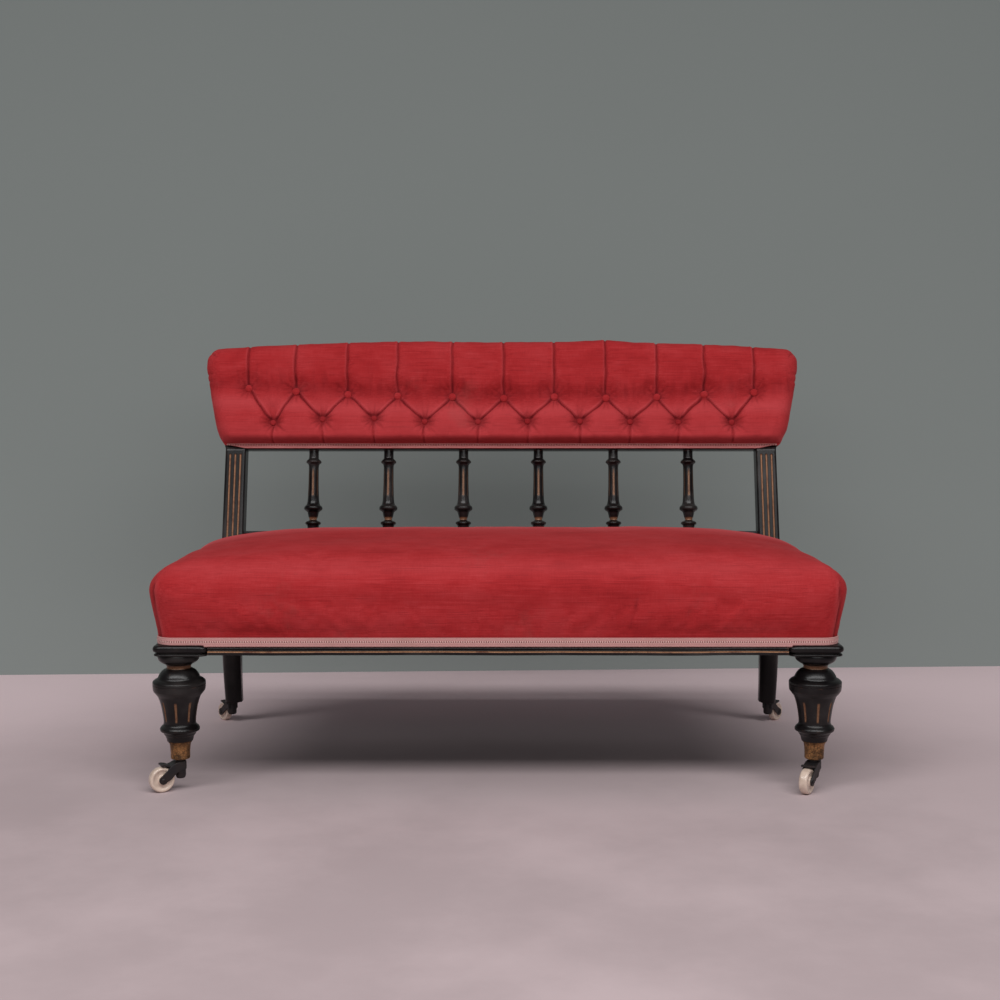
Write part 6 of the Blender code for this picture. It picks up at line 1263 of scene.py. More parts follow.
def pad_half(up):
    """The pad's half width at a height up the plane, drawn in at its foot."""
    drawn = PAD_FOOT_IN * np.clip(1 - up / PAD_FOOT, 0, 1) ** 1.3
    return PAD_BASE_HALF + (PAD_HALF - PAD_BASE_HALF) * np.clip(up / PAD_WIDEST, 0, 1) ** 0.6 - drawn


def pad_base(x):
    """The pad's lower edge, which turns up at its ends."""
    return PAD_LOW + PAD_FOOT_RISE * smooth_step((np.abs(x) - 0.516) / 0.036)


def pad_top(x):
    """The pad's upper edge: nearly level with a few humps, and falling at its ends."""
    humps = 0.0042 * bump(x - 0.212, 0.050) + 0.0016 * bump(x + 0.190, 0.080) - 0.0012 * bump(x + 0.030, 0.050)
    return PAD_HIGH - PAD_FALL * np.clip(np.abs(x) / PAD_HALF, 0, 1) ** 3 + humps


def askew(points):
    """Points of the plane carried a little to the right at both ends, as the old pad sits."""
    return points + np.array([1, 0, 0]) * (PAD_SKEW * (points[..., :1] / PAD_HALF) ** 2)


def button_places(sizes):
    """The (x, up) of every button, the upper row first."""
    half = (sizes.buttons - 1) / 2
    upper_x = (np.arange(sizes.buttons) - half) * sizes.button_step
    rise = sizes.upper_rise * (np.abs(upper_x) / (sizes.button_step * sizes.buttons / 2)) ** 2
    upper = np.column_stack([upper_x, sizes.upper_row + rise])
    lower = np.column_stack([upper_x[:-1] + sizes.button_step / 2, np.full(sizes.buttons - 1, sizes.lower_row)])
    upper = upper + np.resize(UPPER_WANDER, upper.shape) / 1000
    return upper, lower + np.resize(LOWER_WANDER, lower.shape) / 1000


def fold_lines(sizes):
    """Ends of the folds: two up from each lower button, one down from it, and one up from each upper button."""
    upper, lower = button_places(sizes)
    base = np.column_stack([lower[:, 0], np.full(len(lower), PAD_LOW + BACK_GIMP)])
    top = np.column_stack([upper[:, 0], pad_top(upper[:, 0]) + 0.03])
    diagonal = np.vstack([np.hstack([lower, upper[:-1]]), np.hstack([lower, upper[1:]])])
    return diagonal, np.hstack([upper, top]), np.hstack([lower, base])


def line_distance(points, lines):
    """Distance to the nearest line, and how far the point lies over it: 1 above, -1 below, 0 beyond its ends."""
    start, along = lines[:, :2], lines[:, 2:] - lines[:, :2]
    offset = points[:, None] - start[None]
    share = np.clip((offset * along).sum(2) / (along**2).sum(1), 0, 1)
    away = np.linalg.norm(offset - share[..., None] * along, axis=2)
    nearest = away.argmin(1)
    rows = np.arange(len(points))
    along, offset, away = along[nearest], offset[rows, nearest], away[rows, nearest]
    turn = (along[:, 0] * offset[:, 1] - along[:, 1] * offset[:, 0]) / np.linalg.norm(along, axis=1)
    return away, np.clip(turn / np.maximum(away, 1e-6), -1, 1) * np.sign(along[:, 0] + 1e-9)


def round_dome(distance, width):
    """Rises like a circle from a sharp valley to a flat top at a width."""
    return np.sqrt(1 - (1 - np.clip(distance / width, 0, 1)) ** 2)


def puffed(points, sizes, held_back):
    """How far the face stands forward: channels that roll in to the folds, puffs that rise full under them, and tufts."""
    upper, lower = button_places(sizes)
    near = np.linalg.norm(points[:, None] - np.vstack([upper, lower])[None], axis=2).min(1)
    diagonal, top, base = fold_lines(sizes)
    fold, over = line_distance(points, diagonal)
    over = 0.5 + 0.5 * over
    valley = over * (1 - smooth_step(fold / 0.046)) + (1 - over) * (1 - round_dome(fold, 0.022))
    above = points[:, 1] - np.interp(points[:, 0], upper[:, 0], upper[:, 1])
    channel = (1 - round_dome(line_distance(points, top)[0], 0.022)) * smooth_step((above + 0.01) / 0.03)
    gather = 1 - round_dome(line_distance(points, base)[0], 0.018)
    tuft = bump(near, 0.0150)
    height = sizes.back_puff - held_back + 0.004 * bump(points[:, 1] - 0.050, 0.028) - 0.0065 * bump(above - 0.006, 0.020)
    height = height - (0.0115 * valley + 0.0045 * channel + 0.0045 * gather) * (1 - tuft)
    return height - (height - PAD_TUFT) * tuft


def pad_roll(x, up):
    """0 at the pad's outline and 1 where its face is flat: a quarter round from each side."""
    shares = [(pad_half(up) - np.abs(x)) / PAD_ROLL, (pad_top(x) - up) / PAD_ROLL, (up - PAD_LOW - BACK_GIMP) / (PAD_ROLL * 0.42)]
    falls = [np.sqrt(1 - (1 - np.clip(share, 0, 1)) ** 2) for share in shares]
    return falls[0] * falls[1] * falls[2]


def round_corners(x, up):
    """Points near an upper corner drawn onto its round."""
    along = (np.abs(x) - pad_half(up) + PAD_CORNER) / PAD_CORNER
    above = (up - pad_top(x) + PAD_CORNER) / PAD_CORNER
    near = (along > 0) & (above > 0)
    drawn = np.where(near, 1 - np.maximum(along, above) / np.maximum(np.hypot(along, above), 1e-9), 0)
    return x - np.sign(x) * along * drawn * PAD_CORNER, up - above * drawn * PAD_CORNER


def back_net(sizes, spacing):
    """The buttoned face over (x, up), and rings round it: a skirt back to the frame and an inner wall to its stuffing."""
    s = np.linspace(-1, 1, round(1.2 / spacing) + 1)
    size = np.abs(s)
    reach = np.sign(s) * np.where(size < 0.93, size * 0.965 / 0.93, 0.965 + 0.035 * np.sin((size - 0.93) / 0.07 * math.pi / 2))
    t = np.linspace(0, 1, round(0.24 / spacing) + 1)
    t = t - 0.55 * np.sin(2 * math.pi * t) / (2 * math.pi)
    x0 = reach[None] * PAD_HALF
    base = pad_base(reach[None] * pad_half(PAD_LOW))
    up = base + t[:, None] * (pad_top(x0) - base)
    x = reach[None] * pad_half(up)
    height = puffed(np.column_stack([x.ravel(), up.ravel()]), sizes, 0.0025).reshape(x.shape)
    forward = PAD_EDGE + (height - PAD_EDGE) * pad_roll(x, up)
    px, pu = round_corners(x, up)
    face = np.stack([px, forward, pu], axis=-1)
    edge = np.concatenate([face[0, :-1], face[:-1, -1], face[-1, :0:-1], face[:0:-1, 0]])
    level = np.where(np.arange(len(edge)) < len(s), PAD_INNER, -PLANE_BACK - GAP)
    rings = [np.column_stack([edge[:, 0], edge[:, 1] + (level - edge[:, 1]) * share, edge[:, 2]]) for share in (0.33, 0.66, 1.0)]
    wall_x = edge[:, 0] - np.sign(edge[:, 0]) * (np.abs(edge[:, 0]) > 0.5) * 0.0030
    wall_up = edge[:, 2] - (edge[:, 2] > 0.15) * 0.0030
    rings += [np.column_stack([wall_x, depth, wall_up]) for depth in (level, np.full(len(edge), PAD_INNER))]
    return face, np.stack(rings), x, up


def make_back(sizes):
    """The buttoned back as one closed pad, blown up between its folds by cloth on a coarse net."""
    face, rings, x, up = back_net(sizes, sizes.back_spacing * 3)
    coarse, rim, ring_ids = wrapped_net(plane(face), plane(rings))
    flat = np.column_stack([x.ravel(), up.ravel()])
    near = np.linalg.norm(flat[:, None] - np.vstack(button_places(sizes))[None], axis=2).min(1)
    folds = np.min([line_distance(flat, lines)[0] for lines in fold_lines(sizes)], axis=0)
    pinned = np.ones(len(coarse.points))
    pinned[: x.size] = np.where((near < 0.010) | (flat[:, 1] < PAD_LOW + BACK_GIMP), 1.0, np.where(folds < 0.004, 0.4, 0.0))
    move = swell(coarse, pinned, 0.007, 5.0, 0.03, sizes.cloth_frames)[: x.size].reshape(face.shape)
    face, rings, x, up = back_net(sizes, sizes.back_spacing)
    shell, rim, ring_ids = wrapped_net(plane(askew(face)) + finer(move, *x.shape), plane(askew(rings)))
    shell.points[ring_ids[0]] += finer(move, *x.shape).reshape(-1, 3)[rim] * 0.6
    spread = lambda values: np.concatenate([values.ravel(), np.tile(values.ravel()[rim], len(rings))])
    shell.marks = {"across": spread(x), "raised": spread(up),
                   "onface": np.concatenate([np.ones(x.size), np.repeat([0.9, 0.5, 0.0, 0.0, 0.0], len(rim))])}
    made = piece("back_velvet", [shell], finish_of("velvet"), stands_for=["back_cover", "back_stuffing"], sharp=180)
    dress_back(made.data, sizes)
    return made


def dress_back(mesh, sizes):
    """Fine folds with a lip beside each, fans of wrinkles round the buttons, and marks for their painted shade and
    painted highlights.
    """
    x, up, onface = marked(mesh, "across"), marked(mesh, "raised"), marked(mesh, "onface")
    at = np.column_stack([x + 0.0016 * ripples(x, up, 10, 0.035, 0.11, 3), up + 0.0014 * ripples(x, up, 10, 0.04, 0.12, 4)])
    upper, lower = button_places(sizes)
    offset = at[:, None] - np.vstack([upper, lower])[None]
    away = np.linalg.norm(offset, axis=2)
    nearest = away.argmin(1)
    rows = np.arange(len(at))
    near, turn = away[rows, nearest], np.arctan2(offset[rows, nearest, 1], offset[rows, nearest, 0])
    depth, shade, lit = np.zeros(len(at)), np.zeros(len(at)), np.zeros(len(at))
    clear = smooth_step((near - 0.005) / 0.006)
    for lines, deep in zip(fold_lines(sizes), (1.0, 0.85, 0.45)):
        far, over = line_distance(at, lines)
        over = smooth_step(0.5 + over)
        depth += sizes.pleat_deep * deep * (0.3 * bump(far - 0.0046, 0.0026) * over - bump(far, 0.0021)) * clear
        shade += deep * bump(far, 0.0019) * clear
        lit += deep * bump(far - 0.0038, 0.0014) * over * clear
    sways = ripples(x, up, 10, 0.03, 0.10, 9)
    fan = np.cos(13 * turn + 2.1 * nearest + sways) * bump(near - 0.016, 0.010)
    fan += 0.7 * np.cos(21 * turn + 1.3 * nearest + 2 * sways) * bump(near - 0.013, 0.007)
    above = up - np.interp(x, upper[:, 0], upper[:, 1])
    combed = ripples(x * 3.0, up * 0.5, 18, 0.020, 0.07, 17) * bump(above - 0.018, 0.024)
    hem = ripples(x * 2.0, up * 0.6, 18, 0.014, 0.05, 19) * bump(up - 0.020, 0.012)
    depth += 0.0007 * fan + 0.0007 * combed + 0.0006 * hem + 0.0007 * ripples(x, up, 18, 0.02, 0.09, 29)
    ends = smooth_step((np.abs(x) - 0.575) / 0.02)
    depth += -0.0016 * ends * (bump(up - 0.150, 0.0022) + bump(up - 0.136, 0.0018))
    moved_along_normals(mesh, depth * onface)
    # painted shade in the troughs of the wrinkles
    streaks = 0.25 * np.clip(fan, -1, 0) + 0.2 * np.clip(combed, -1, 0)
    # painted shade round each button, deeper round the lower row
    hollow = np.where(nearest < len(upper), 0.55, 0.80) * bump(near, 0.0115)
    # fold mark: painted shade in the folds, round the buttons, in the wrinkles, just over the upper row and along the
    # pad's foot
    mark(mesh, "fold", np.clip((0.9 * shade + hollow - streaks + 0.20 * bump(above - 0.006, 0.012)
                                + 0.12 * bump(up - 0.013, 0.004)) * onface, 0, 1))
    # lit mark: painted highlights on the fold lips, under the upper row, over the lower puffs and along the foot, kept
    # out of the painted shade of the folds
    mark(mesh, "lit", np.clip((0.32 * lit + 0.30 * bump(above + 0.030, 0.018) + 0.22 * bump(up - 0.036, 0.020) + 0.40 * bump(up - 0.015, 0.008)) * onface * (1 - np.clip(shade, 0, 1)), 0, 1))


def make_buttons(sizes):
    """Covered buttons: a domed disc drawn in at its rim, one at each tuft, each turned a little its own way, with
    painted shade at the rim and over the lower row.
    """
    upper, lower = button_places(sizes)
    radius = sizes.button_radius
    dome = eased([(0.0006, 0.0052), (0.35 * radius, 0.0050), (0.70 * radius, 0.0040), (0.93 * radius, 0.0021), (radius, 0.0002),
                  (0.90 * radius, -0.0014), (0.55 * radius, -0.0024)], 3)
    draw = np.random.default_rng(7)
    shells = []
    for number, (x, up) in enumerate(np.vstack([upper, lower])):
        lean_x, lean_up = draw.uniform(-0.16, 0.16, 2)
        size = 0.94 if number < len(upper) else 0.78
        place = lambda p, x=x, up=up, a=lean_x, b=lean_up, s=size: plane(
            askew(np.stack([s * p[:, 0] + x, PAD_TUFT + 0.0008 + p[:, 2] + a * p[:, 0] + b * p[:, 1], s * p[:, 1] + up], axis=-1)))
        # painted shade on each button: light on the upper row, deeper on the lower row, deepest at the rim
        deep = 0.10 if number < len(upper) else 0.42
        rim = lambda z, a, deep=deep: deep + (0.90 - deep) * smooth_step((0.0026 - z) / 0.0016)
        shells.append(lathe(dome, even_angles(28), marks={"fold": rim}).carried(place))
    return piece("covered_buttons", shells, finish_of("velvet"), sharp=60)


# ---- Braid ----


def braid(path, outward_, upward, high, thick, step, low_lift=None, raised=0.0):
    """A braid along a path: a thin section with corded edges and a row of loops raised along it."""
    run = np.concatenate([[0], np.cumsum(np.linalg.norm(np.diff(path, axis=0), axis=1))])
    share = np.array([0.0, 0.06, 0.16, 0.28, 0.38, 0.44, 0.49, 0.54, 0.59, 0.64, 0.70, 0.80, 0.90, 0.96, 1.0])
    loops = 0.5 + 0.5 * np.cos(2 * math.pi * run[:, None] / step)
    row = np.clip(1 - np.abs((share - raised - 0.54) / 0.15), 0, 1)[None] ** 0.6
    cords = 0.00025 * np.cos(2 * math.pi * share * 5)[None]
    ends = smooth_step(np.minimum(share, 1 - share) / 0.05)[None]
    face = thick * (0.55 + 0.45 * ends) + cords * ends + 0.0005 * row * (2 * loops - 1)
    lift = np.zeros(len(run)) if low_lift is None else low_lift
    levels = high * share[None] + lift[:, None] * (1 - share[None])
    outer = path[:, None] + outward_[:, None] * face[..., None] + upward[:, None] * levels[..., None]
    inner = path[:, None] + upward[:, None] * levels[:, [-1, 0], None]
    grid = np.concatenate([outer, inner], axis=1)
    across = np.concatenate([levels / high, levels[:, [-1, 0]] / high], axis=1) - raised
    along = run[:, None] / step + 0 * across
    return skin(grid, along=along, across=across, rosy=float(raised > 0))


def plan_normals(path):
    """Outward normals of a path in plan that runs anticlockwise."""
    along = np.gradient(path, axis=0)
    normal = np.column_stack([along[:, 1], -along[:, 0], np.zeros(len(path))])
    return normal / np.linalg.norm(normal, axis=1)[:, None]


def resampled(path, spacing):
    run = np.concatenate([[0], np.cumsum(np.linalg.norm(np.diff(path, axis=0), axis=1))])
    at = np.linspace(0, run[-1], round(run[-1] / spacing) + 1)
    return np.column_stack([np.interp(at, run, path[:, k]) for k in range(path.shape[1])])


def make_seat_gimp(sizes):
    """Braid from one post round the front to the other, and a strip along the back."""
    loop = seat_loop(0.05 * sizes.seat_swell + GAP, 900, 390)
    front = loop[(loop[:, 1] < POST_FACE - 0.0115)]
    turn = np.argmax(np.linalg.norm(np.diff(front, axis=0), axis=1)) + 1
    front = np.roll(front, -turn, axis=0)
    path = resampled(front, 0.0008)
    path = np.column_stack([path, np.full(len(path), SEAT_LOW)])
    over_cap = (np.abs(path[:, 0]) > np.where(path[:, 0] < 0, CAP_X[-1], CAP_X[1]) - CAP_HALF + 0.0060) & (path[:, 1] < CAP_Y + CAP_HALF - 0.0070)
    lift = np.where(over_cap, CAP_HIGH - SEAT_LOW + 0.0002, 0.0)
    upward = np.tile([0.0, 0.0, 1.0], (len(path), 1))
    shell = braid(path, plan_normals(path), upward, GIMP_HIGH, 0.0015, sizes.gimp_step, lift)
    made = piece("seat_gimp", [shell], finish_of("gimp"), stands_for=["seat_braid"], sharp=60)
    x = np.linspace(0.526, -0.526, 1200)
    rear = np.column_stack([x, np.full(len(x), SEAT_REAR + 0.0012), np.full(len(x), SEAT_LOW)])
    upward = np.tile([0.0, 0.0, 1.0], (len(rear), 1))
    back = braid(rear, np.tile([0.0, 1.0, 0.0], (len(rear), 1)), upward, GIMP_HIGH, 0.0014, sizes.gimp_step)
    piece("seat_gimp_rear", [back], finish_of("gimp"), stands_for=["seat_braid_rear"], sharp=60)
    return made


def make_back_gimp(sizes):
    """Braid over the lower edge of the buttoned back, turning up a little at its ends."""
    reach = float(pad_half(PAD_LOW)) + 0.0010
    x = np.linspace(-reach, reach, 1400)
    path = askew(np.column_stack([x, np.full(len(x), PAD_EDGE + GAP), np.full(len(x), PAD_LOW)]))
    lift = 0.85 * (pad_base(x) - PAD_LOW)
    run = plane(path)
    forward = plane(path + np.array([0, 1, 0])) - run
    upward = plane(path + np.array([0, 0, 1])) - run
    shell = braid(run, forward, upward, BACK_GIMP - 0.0004, 0.0015, 1.3 * sizes.gimp_step, lift, 0.10)
    return piece("back_gimp", [shell], finish_of("gimp"), stands_for=["back_braid"], sharp=60)


def pad_outline(inset):
    """The pad's outline in the plane, from the right foot over the top to the left foot, less an inset."""
    up = np.linspace(0.006, 1, 60)
    right = np.column_stack([pad_half(up * PAD_HIGH), up * PAD_HIGH])
    right = right[right[:, 1] < pad_top(right[:, 0]) - PAD_CORNER]
    x = np.linspace(PAD_HALF - PAD_CORNER, -PAD_HALF + PAD_CORNER, 200)
    top = np.column_stack([x, pad_top(x)])
    corner_z = pad_top(np.array(PAD_HALF - PAD_CORNER / 2)) - PAD_CORNER
    corner = arc((PAD_HALF - PAD_CORNER, corner_z), PAD_CORNER, 0, 88, 14)
    line = np.vstack([right, corner, top[3:-3], corner[::-1] * (-1, 1), right[::-1] * (-1, 1)])
    line = resampled(line, 0.004)
    along = np.gradient(line, axis=0)
    normal = np.column_stack([along[:, 1], -along[:, 0]]) / np.linalg.norm(along, axis=1)[:, None]
    return line - normal * inset, normal


def make_outside_back():
    """The flat velvet panel that closes the back, slightly full, from the pad's outline to its middle line."""
    line, _ = pad_outline(0.0004)
    line = np.vstack([line, np.column_stack([np.linspace(line[-1, 0], line[0, 0], 120)[1:-1], np.full(118, line[0, 1])])])
    centre = np.column_stack([line[:, 0] * 0.86, np.full(len(line), 0.112)])
    shares = np.array([0, 0.02, 0.06, 0.14, 0.28, 0.48, 0.72, 1.0])
    rows = []
    for depth, order in ((-0.0222, 1), (-0.0206, -1)):
        for share in shares[::order]:
            at = line + (centre - line) * share
            full = 0.0006 * smooth_step(share / 0.3) if order == 1 else 0
            rows.append(np.column_stack([at[:, 0], np.full(len(at), depth - full), at[:, 1]]))
    grid = plane(askew(np.stack(rows)))
    shell = skin(grid, closed_ends=True)
    made = piece("outside_back_velvet", [shell], finish_of("velvet"), stands_for=["outside_back"], sharp=60)
    return made


def make_rim_gimp(sizes):
    """Braid over the seam of the outside back, up one side, over the top and down the other."""
    line, normal = pad_outline(0.0002)
    line = resampled(line, 0.0010)
    along = np.gradient(line, axis=0)
    normal = np.column_stack([along[:, 1], -along[:, 0]]) / np.linalg.norm(along, axis=1)[:, None]
    path = askew(np.column_stack([line[:, 0] - normal[:, 0] * 0.0100, np.full(len(line), -0.0225), line[:, 1] - normal[:, 1] * 0.0100]))
    run = plane(path)
    back = plane(path - np.array([0, 1, 0])) - run
    out = plane(path + np.column_stack([normal[:, 0], np.zeros(len(line)), normal[:, 1]])) - run
    shell = braid(run, back, out, 0.0099, 0.0014, sizes.gimp_step)
    return piece("rim_gimp", [shell], finish_of("gimp"), stands_for=["back_rim_braid"], sharp=60)


# ---- Hidden cloths ----


def shrunk(outline, count):
    """Rings of an outline in plan, drawn in to its middle line."""
    middle = np.column_stack([outline[:, 0] * 0.86, np.full(len(outline), (outline[:, 1].min() + outline[:, 1].max()) / 2)])
    return outline[None] + (middle - outline)[None] * np.linspace(0, 1, count)[:, None, None]


def thin_sheet(name, upper, offset, finish, node_name):
    """A thin closed sheet: rings of points from its edge to its middle, and the same rings an offset away."""
    shell = skin(np.concatenate([upper, upper[::-1] + np.array(offset)]), closed_ends=True)
    made = piece(name, [shell], finish_of(finish), stands_for=[node_name], sharp=60)
    return made


def make_hessian():
    """Hessian tacked round the rails, rising to lie flat over the springs, a little uneven."""
    low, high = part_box("seat_hessian")
    plans = [(seat_loop(-HESSIAN_SETBACK - inset, 116, 52), z) for inset, z in
             ((0.0, 0), (0.012, 0), (0.026, 0), (0.032, 0.22), (0.048, 0.80), (0.054, 1))]
    rows = [np.column_stack([plan, np.full(len(plan), RAIL_TOP + 0.0013 + share * (high.z - RAIL_TOP - 0.0013))]) for plan, share in plans]
    rows += [np.column_stack([ring, np.full(len(ring), high.z)]) for ring in shrunk(plans[-1][0], 12)[1:]]
    top = np.stack(rows)
    tuck = smooth_step((top[..., 1] - 0.170) / 0.010)
    top[..., 0] = np.sign(top[..., 0]) * np.minimum(np.abs(top[..., 0]), np.abs(top[..., 0]) * (1 - tuck) + 0.527 * tuck)
    top[..., 2] -= 0.0006 * (0.5 + 0.5 * ripples(top[..., 0], top[..., 1], 12, 0.08, 0.3, 41)) * (top[..., 2] > high.z - 1e-6)
    return thin_sheet("hessian_over_springs", top, (0, 0, -HESSIAN_THICK), "jute", "seat_hessian")


def make_back_hessian():
    """Hessian stretched over the front of the back's frame."""
    base, top = 0.012, 0.200
    half = float(pad_half(np.array(top))) - 0.014
    outline = rounded_loop(half, (top - base) / 2, 0.002, 3, 40, (0, (top + base) / 2))
    outline[:, 0] *= (pad_half(outline[:, 1]) - 0.014) / half
    outline[:, 1] -= 0.022 * np.clip(np.abs(outline[:, 0]) / half, 0, 1) ** 3 * (outline[:, 1] > 0.15)
    rings = shrunk(outline, 9)
    uneven = 0.0003 * (0.5 + 0.5 * ripples(rings[..., 0], rings[..., 1], 10, 0.04, 0.2, 43))
    face = plane(askew(np.stack([rings[..., 0], PLANE_FRONT + 0.0013 + uneven, rings[..., 1]], axis=-1)))
    behind = plane(np.array([0.0, -HESSIAN_THICK, 0.0])) - plane(np.zeros(3))
    return thin_sheet("hessian_behind_back", face, behind, "jute", "back_hessian")


def make_webbing():
    """Webbing plaited under the springs: each strip's height is a cosine, over one crossing and under the next."""
    low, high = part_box("seat_webbing")
    middle, weave, thick, half = (low.z + high.z) / 2, 0.0005, 0.0007, WEB_WIDTH / 2
    columns = 0.15863
    rows_y = [-0.1878, -0.0411, 0.1056]
    shells = []
    for i, y in enumerate(rows_y):
        x = np.linspace(low.x, high.x, 150)
        z = middle + weave * (-1) ** i * np.cos(math.pi * x / columns)
        section = np.array([(-half, -thick / 2), (half, -thick / 2), (half, thick / 2), (-half, thick / 2)])
        shells.append(skin(np.stack([x[:, None] + 0 * section[None, :, 0], y + section[None, :, 0] + 0 * x[:, None],
                                     z[:, None] + section[None, :, 1]], axis=-1)))
    for k in range(-3, 4):
        y = np.linspace(low.y, high.y, 90)
        z = middle - weave * (-1) ** k * np.cos(math.pi * (y - rows_y[0]) / 0.1467)
        shells.append(skin(np.stack([k * columns + section[None, :, 0] + 0 * y[:, None], y[:, None] + 0 * section[None, :, 0],
                                     z[:, None] + section[None, :, 1]], axis=-1)))
    made = piece("webbing_strips", shells, finish_of("web"), stands_for=["seat_webbing"])
    return made


def make_lining():
    """Black lining tacked under the rails, notched round the legs, with the slight sag of old cloth."""
    low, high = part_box("bottom_cloth")
    right = LINING_EDGE
    corners = np.vstack([right, right[::-1] * (-1, 1), right[:1]])
    outline = resampled(corners, 0.012)[:-1]
    rings = shrunk(outline, 10)
    sag = 0.0022 * np.linspace(0, 1, 10)[:, None] ** 0.6 * (1 + 0.2 * ripples(rings[..., 0], rings[..., 1], 8, 0.15, 0.5, 47))
    upper = np.dstack([rings, high.z - sag])
    return thin_sheet("black_lining", upper, (0, 0, -0.0010), "black_cloth", "bottom_cloth")


# ---- Stage ----


def make_stage(colours):
    """A pale floor with painted light and a painted shadow, a muted backdrop that is clear from behind with a painted
    shadow, a soft overhead light, and the camera.
    """
    scene = bpy.context.scene

    def floor_fill(tree):
        cloud = noise(tree, 1.6, 6.0, 0.6)
        grit = noise(tree, 90.0, 4.0, 0.7)
        pale = tuple(min(1, c * 1.10) for c in colours.floor)
        deep = tuple(c * 0.90 for c in colours.floor)
        colour = blend(tree, between(tree, cloud, 0.35, 0.65), deep, pale)
        back = node(tree, "ShaderNodeSeparateXYZ", {0: node(tree, "ShaderNodeTexCoord").outputs["Object"]}).outputs[1]
        # painted light: the floor grows lighter towards the back
        colour = blend(tree, between(tree, back, -0.6, 1.0), colour, tuple(min(1, c * 1.9) for c in colours.floor))
        # painted shadow of the settee on the floor, darkest under the seat
        colour = blend(tree, painted_shadow(tree, (0, 1), (0.0, -0.04), (0.62, 0.26), 0.45), colour, (0, 0, 0))
        colour = blend(tree, calc(tree, "MULTIPLY", between(tree, grit, 0.55, 0.75), 0.10), colour, deep)
        return {"Base Color": colour, "Roughness": calc(tree, "MULTIPLY_ADD", grit, 0.2, 0.7), "Height": grit, "Distance": 0.0003}

    floor = stage_plane("studio_floor", (-9, -9, 0), (18, 0, 0), (0, 18, 0), material("studio_floor", floor_fill, Specular_IOR_Level=0.2))
    wall = stage_plane("studio_backdrop", (-9, 0.397, 0), (18, 0.83, 0), (0, 0, 6), wall_material(colours))
    wall.visible_shadow = wall.visible_diffuse = False
    world = bpy.data.worlds.new("studio")
    scene.world = world
    world.use_nodes = True
    world.node_tree.nodes["Background"].inputs[0].default_value = (*linear(250, 250, 255), 1)
    world.node_tree.nodes["Background"].inputs[1].default_value = 0.11
    add_light("key", (-0.1, -2.4, 3.0), (0.0, 0.0, 0.3), 6.4, 1.0, 133.0)
    add_light("fill", (0.3, -3.2, 1.6), (0.0, 0.2, 0.4), 3.0, 0.6, 18.0)
    camera = bpy.data.cameras.new("camera")
    camera.sensor_width, camera.lens, camera.shift_x = 36.0, 55.62, -0.014
    eye = bpy.data.objects.new("camera", camera)
    eye.location = (0.029, -2.8998, 0.7215)
    eye.rotation_euler = (math.radians(90 - 4.7), 0, 0)
    scene.collection.objects.link(eye)
    scene.camera = eye
    scene.view_settings.view_transform = "Standard"


def stage_plane(name, corner, across, along, finish):
    corner, across, along = (np.array(v, float) for v in (corner, across, along))
    mesh = bpy.data.meshes.new(name)
    mesh.from_pydata([tuple(corner), tuple(corner + across), tuple(corner + across + along), tuple(corner + along)], [], [(0, 1, 2, 3)])
    mesh.materials.append(finish)
    made = bpy.data.objects.new(name, mesh)
    bpy.context.scene.collection.objects.link(made)
    return made


def painted_shadow(tree, axes, centre, widths, most):
    """The depth of a painted shadow round a place: a bell along each of two axes."""
    at = node(tree, "ShaderNodeSeparateXYZ", {0: node(tree, "ShaderNodeTexCoord").outputs["Object"]}).outputs
    shares = [calc(tree, "DIVIDE", calc(tree, "SUBTRACT", at[axis], middle), width) for axis, middle, width in zip(axes, centre, widths)]
    total = calc(tree, "ADD", calc(tree, "MULTIPLY", shares[0], shares[0]), calc(tree, "MULTIPLY", shares[1], shares[1]))
    return calc(tree, "MULTIPLY", calc(tree, "EXPONENT", calc(tree, "MULTIPLY", total, -1.0)), most)


def wall_material(colours):
    """Matt backdrop with an even glow, painted darker upwards against the light and with a painted shadow of the
    settee; clear from behind.
    """
    made = bpy.data.materials.new("studio_wall")
    made.use_nodes = True
    tree = made.node_tree
    tree.nodes.clear()
    cloud = noise(tree, 1.1, 4.0, 0.5)
    colour = blend(tree, cloud, tuple(c * 0.97 for c in colours.wall), tuple(c * 1.03 for c in colours.wall))
    # painted shadow of the settee on the backdrop, behind its back
    colour = blend(tree, painted_shadow(tree, (0, 2), (0.0, 0.42), (0.60, 0.21), 0.38), colour, (0, 0, 0))
    up = node(tree, "ShaderNodeSeparateXYZ", {0: node(tree, "ShaderNodeTexCoord").outputs["Object"]}).outputs[2]
    level = calc(tree, "MULTIPLY_ADD", up, -0.22, 0.86)
    matt = node(tree, "ShaderNodeBsdfDiffuse", {"Color": blend(tree, level, (0, 0, 0), colour)}).outputs[0]
    glow = node(tree, "ShaderNodeEmission", {"Color": colour, "Strength": 0.42}).outputs[0]
    paint = node(tree, "ShaderNodeAddShader", {0: matt, 1: glow}).outputs[0]
    clear = node(tree, "ShaderNodeBsdfTransparent").outputs[0]
    behind = node(tree, "ShaderNodeNewGeometry").outputs["Backfacing"]
    mix = node(tree, "ShaderNodeMixShader", {0: behind, 1: paint, 2: clear}).outputs[0]
    node(tree, "ShaderNodeOutputMaterial", {"Surface": mix})
    return made


def add_light(name, place, aim, width, deep, power):
    """A rectangular light at a place, turned to face a point."""
    lamp = bpy.data.lights.new(name, "AREA")
    lamp.shape, lamp.size, lamp.size_y, lamp.energy = "RECTANGLE", width, deep, power
    made = bpy.data.objects.new(name, lamp)
    made.location = place
    made.rotation_euler = (Vector(aim) - Vector(place)).to_track_quat("-Z", "Y").to_euler()
    bpy.context.scene.collection.objects.link(made)
    return made


# ---- Operators ----


class SETTEE_OT_stage(bpy.types.Operator):
    """Sets the floor, backdrop, lights and camera"""

    bl_idname = "settee.stage"
    bl_label = "Stage"

    def execute(self, context):
        make_stage(context.scene.settee_colours)
        return {"FINISHED"}


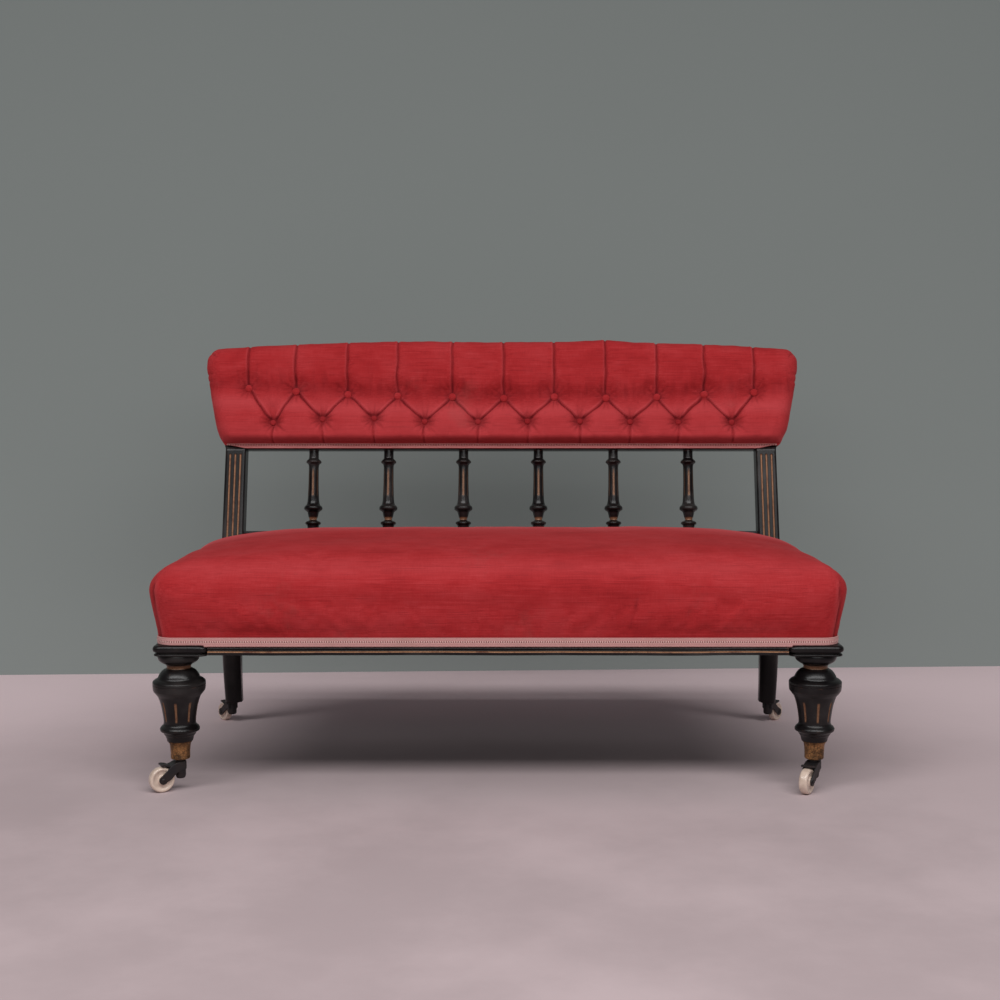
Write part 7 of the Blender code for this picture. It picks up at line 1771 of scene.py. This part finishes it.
class SETTEE_OT_finishes(bpy.types.Operator):
    """Makes every finish of the settee and gives the kept frame parts theirs"""

    bl_idname = "settee.finishes"
    bl_label = "Finishes"

    def execute(self, context):
        MATERIALS.update(make_materials(context.scene.settee_colours, context.scene.settee_sizes))
        kept = {"beech": ["crest_rail", "rear_rail"], "wood": ["middle_rail"], "spring": []}
        kept["beech"] += [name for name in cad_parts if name.startswith("corner_brace")]
        kept["spring"] += [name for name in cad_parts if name.startswith("spring_")]
        for finish, names in kept.items():
            for name in names:
                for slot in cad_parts[name].material_slots:
                    slot.material = MATERIALS[finish]
        return {"FINISHED"}


class SETTEE_OT_legs(bpy.types.Operator):
    """Turns the two front legs and shapes the two back posts"""

    bl_idname = "settee.legs"
    bl_label = "Legs and posts"

    def execute(self, context):
        for name, side in SIDES.items():
            make_front_leg(name, side)
            make_post(name, side)
        return {"FINISHED"}


class SETTEE_OT_rails(bpy.types.Operator):
    """Moulds the front, side and stay rails"""

    bl_idname = "settee.rails"
    bl_label = "Rails"

    def execute(self, context):
        make_front_rail()
        for name, side in SIDES.items():
            make_side_rail(name, side)
        make_stay_rail()
        return {"FINISHED"}


class SETTEE_OT_spindles(bpy.types.Operator):
    """Turns the six spindles of the back"""

    bl_idname = "settee.spindles"
    bl_label = "Spindles"

    def execute(self, context):
        for number in range(1, SPINDLES + 1):
            make_spindle(number)
        return {"FINISHED"}


class SETTEE_OT_casters(bpy.types.Operator):
    """Makes four casters with their cups and plates"""

    bl_idname = "settee.casters"
    bl_label = "Casters"

    def execute(self, context):
        for name, side in SIDES.items():
            make_cup(name, side)
            make_plate(name)
        for name in CASTERS:
            make_caster(name)
        return {"FINISHED"}


class SETTEE_OT_seat(bpy.types.Operator):
    """Upholsters the sprung seat: webbing, hessian, velvet, braid and the lining under it"""

    bl_idname = "settee.seat"
    bl_label = "Seat"

    def execute(self, context):
        make_webbing()
        make_hessian()
        make_lining()
        make_seat(context.scene.settee_sizes)
        make_seat_gimp(context.scene.settee_sizes)
        return {"FINISHED"}


class SETTEE_OT_back(bpy.types.Operator):
    """Upholsters the buttoned back, its buttons, outside panel and braids"""

    bl_idname = "settee.back"
    bl_label = "Back"

    def execute(self, context):
        sizes = context.scene.settee_sizes
        make_back_hessian()
        make_back(sizes)
        make_buttons(sizes)
        make_outside_back()
        make_back_gimp(sizes)
        make_rim_gimp(sizes)
        return {"FINISHED"}


OPERATORS = [SETTEE_OT_finishes, SETTEE_OT_legs, SETTEE_OT_rails, SETTEE_OT_spindles, SETTEE_OT_casters, SETTEE_OT_seat,
             SETTEE_OT_back, SETTEE_OT_stage]


class SETTEE_PT_pieces(bpy.types.Panel):
    bl_label = "Button-back settee"
    bl_idname = "SETTEE_PT_pieces"
    bl_space_type = "VIEW_3D"
    bl_region_type = "UI"
    bl_category = "Settee"

    def draw(self, context):
        for operator in OPERATORS:
            self.layout.operator(operator.bl_idname)
        for group_ in (context.scene.settee_sizes, context.scene.settee_colours):
            for name in group_.__annotations__:
                self.layout.prop(group_, name)


CLASSES = [SetteeSizes, SetteeColours, *OPERATORS, SETTEE_PT_pieces]


def register():
    for made in CLASSES:
        bpy.utils.register_class(made)
    bpy.types.Scene.settee_sizes = PointerProperty(type=SetteeSizes)
    bpy.types.Scene.settee_colours = PointerProperty(type=SetteeColours)


def unregister():
    del bpy.types.Scene.settee_colours
    del bpy.types.Scene.settee_sizes
    for made in reversed(CLASSES):
        bpy.utils.unregister_class(made)


def main():
    register()
    for operator in OPERATORS:
        area, action = operator.bl_idname.split(".")
        getattr(getattr(bpy.ops, area), action)()


if __name__ == "__main__":
    main()
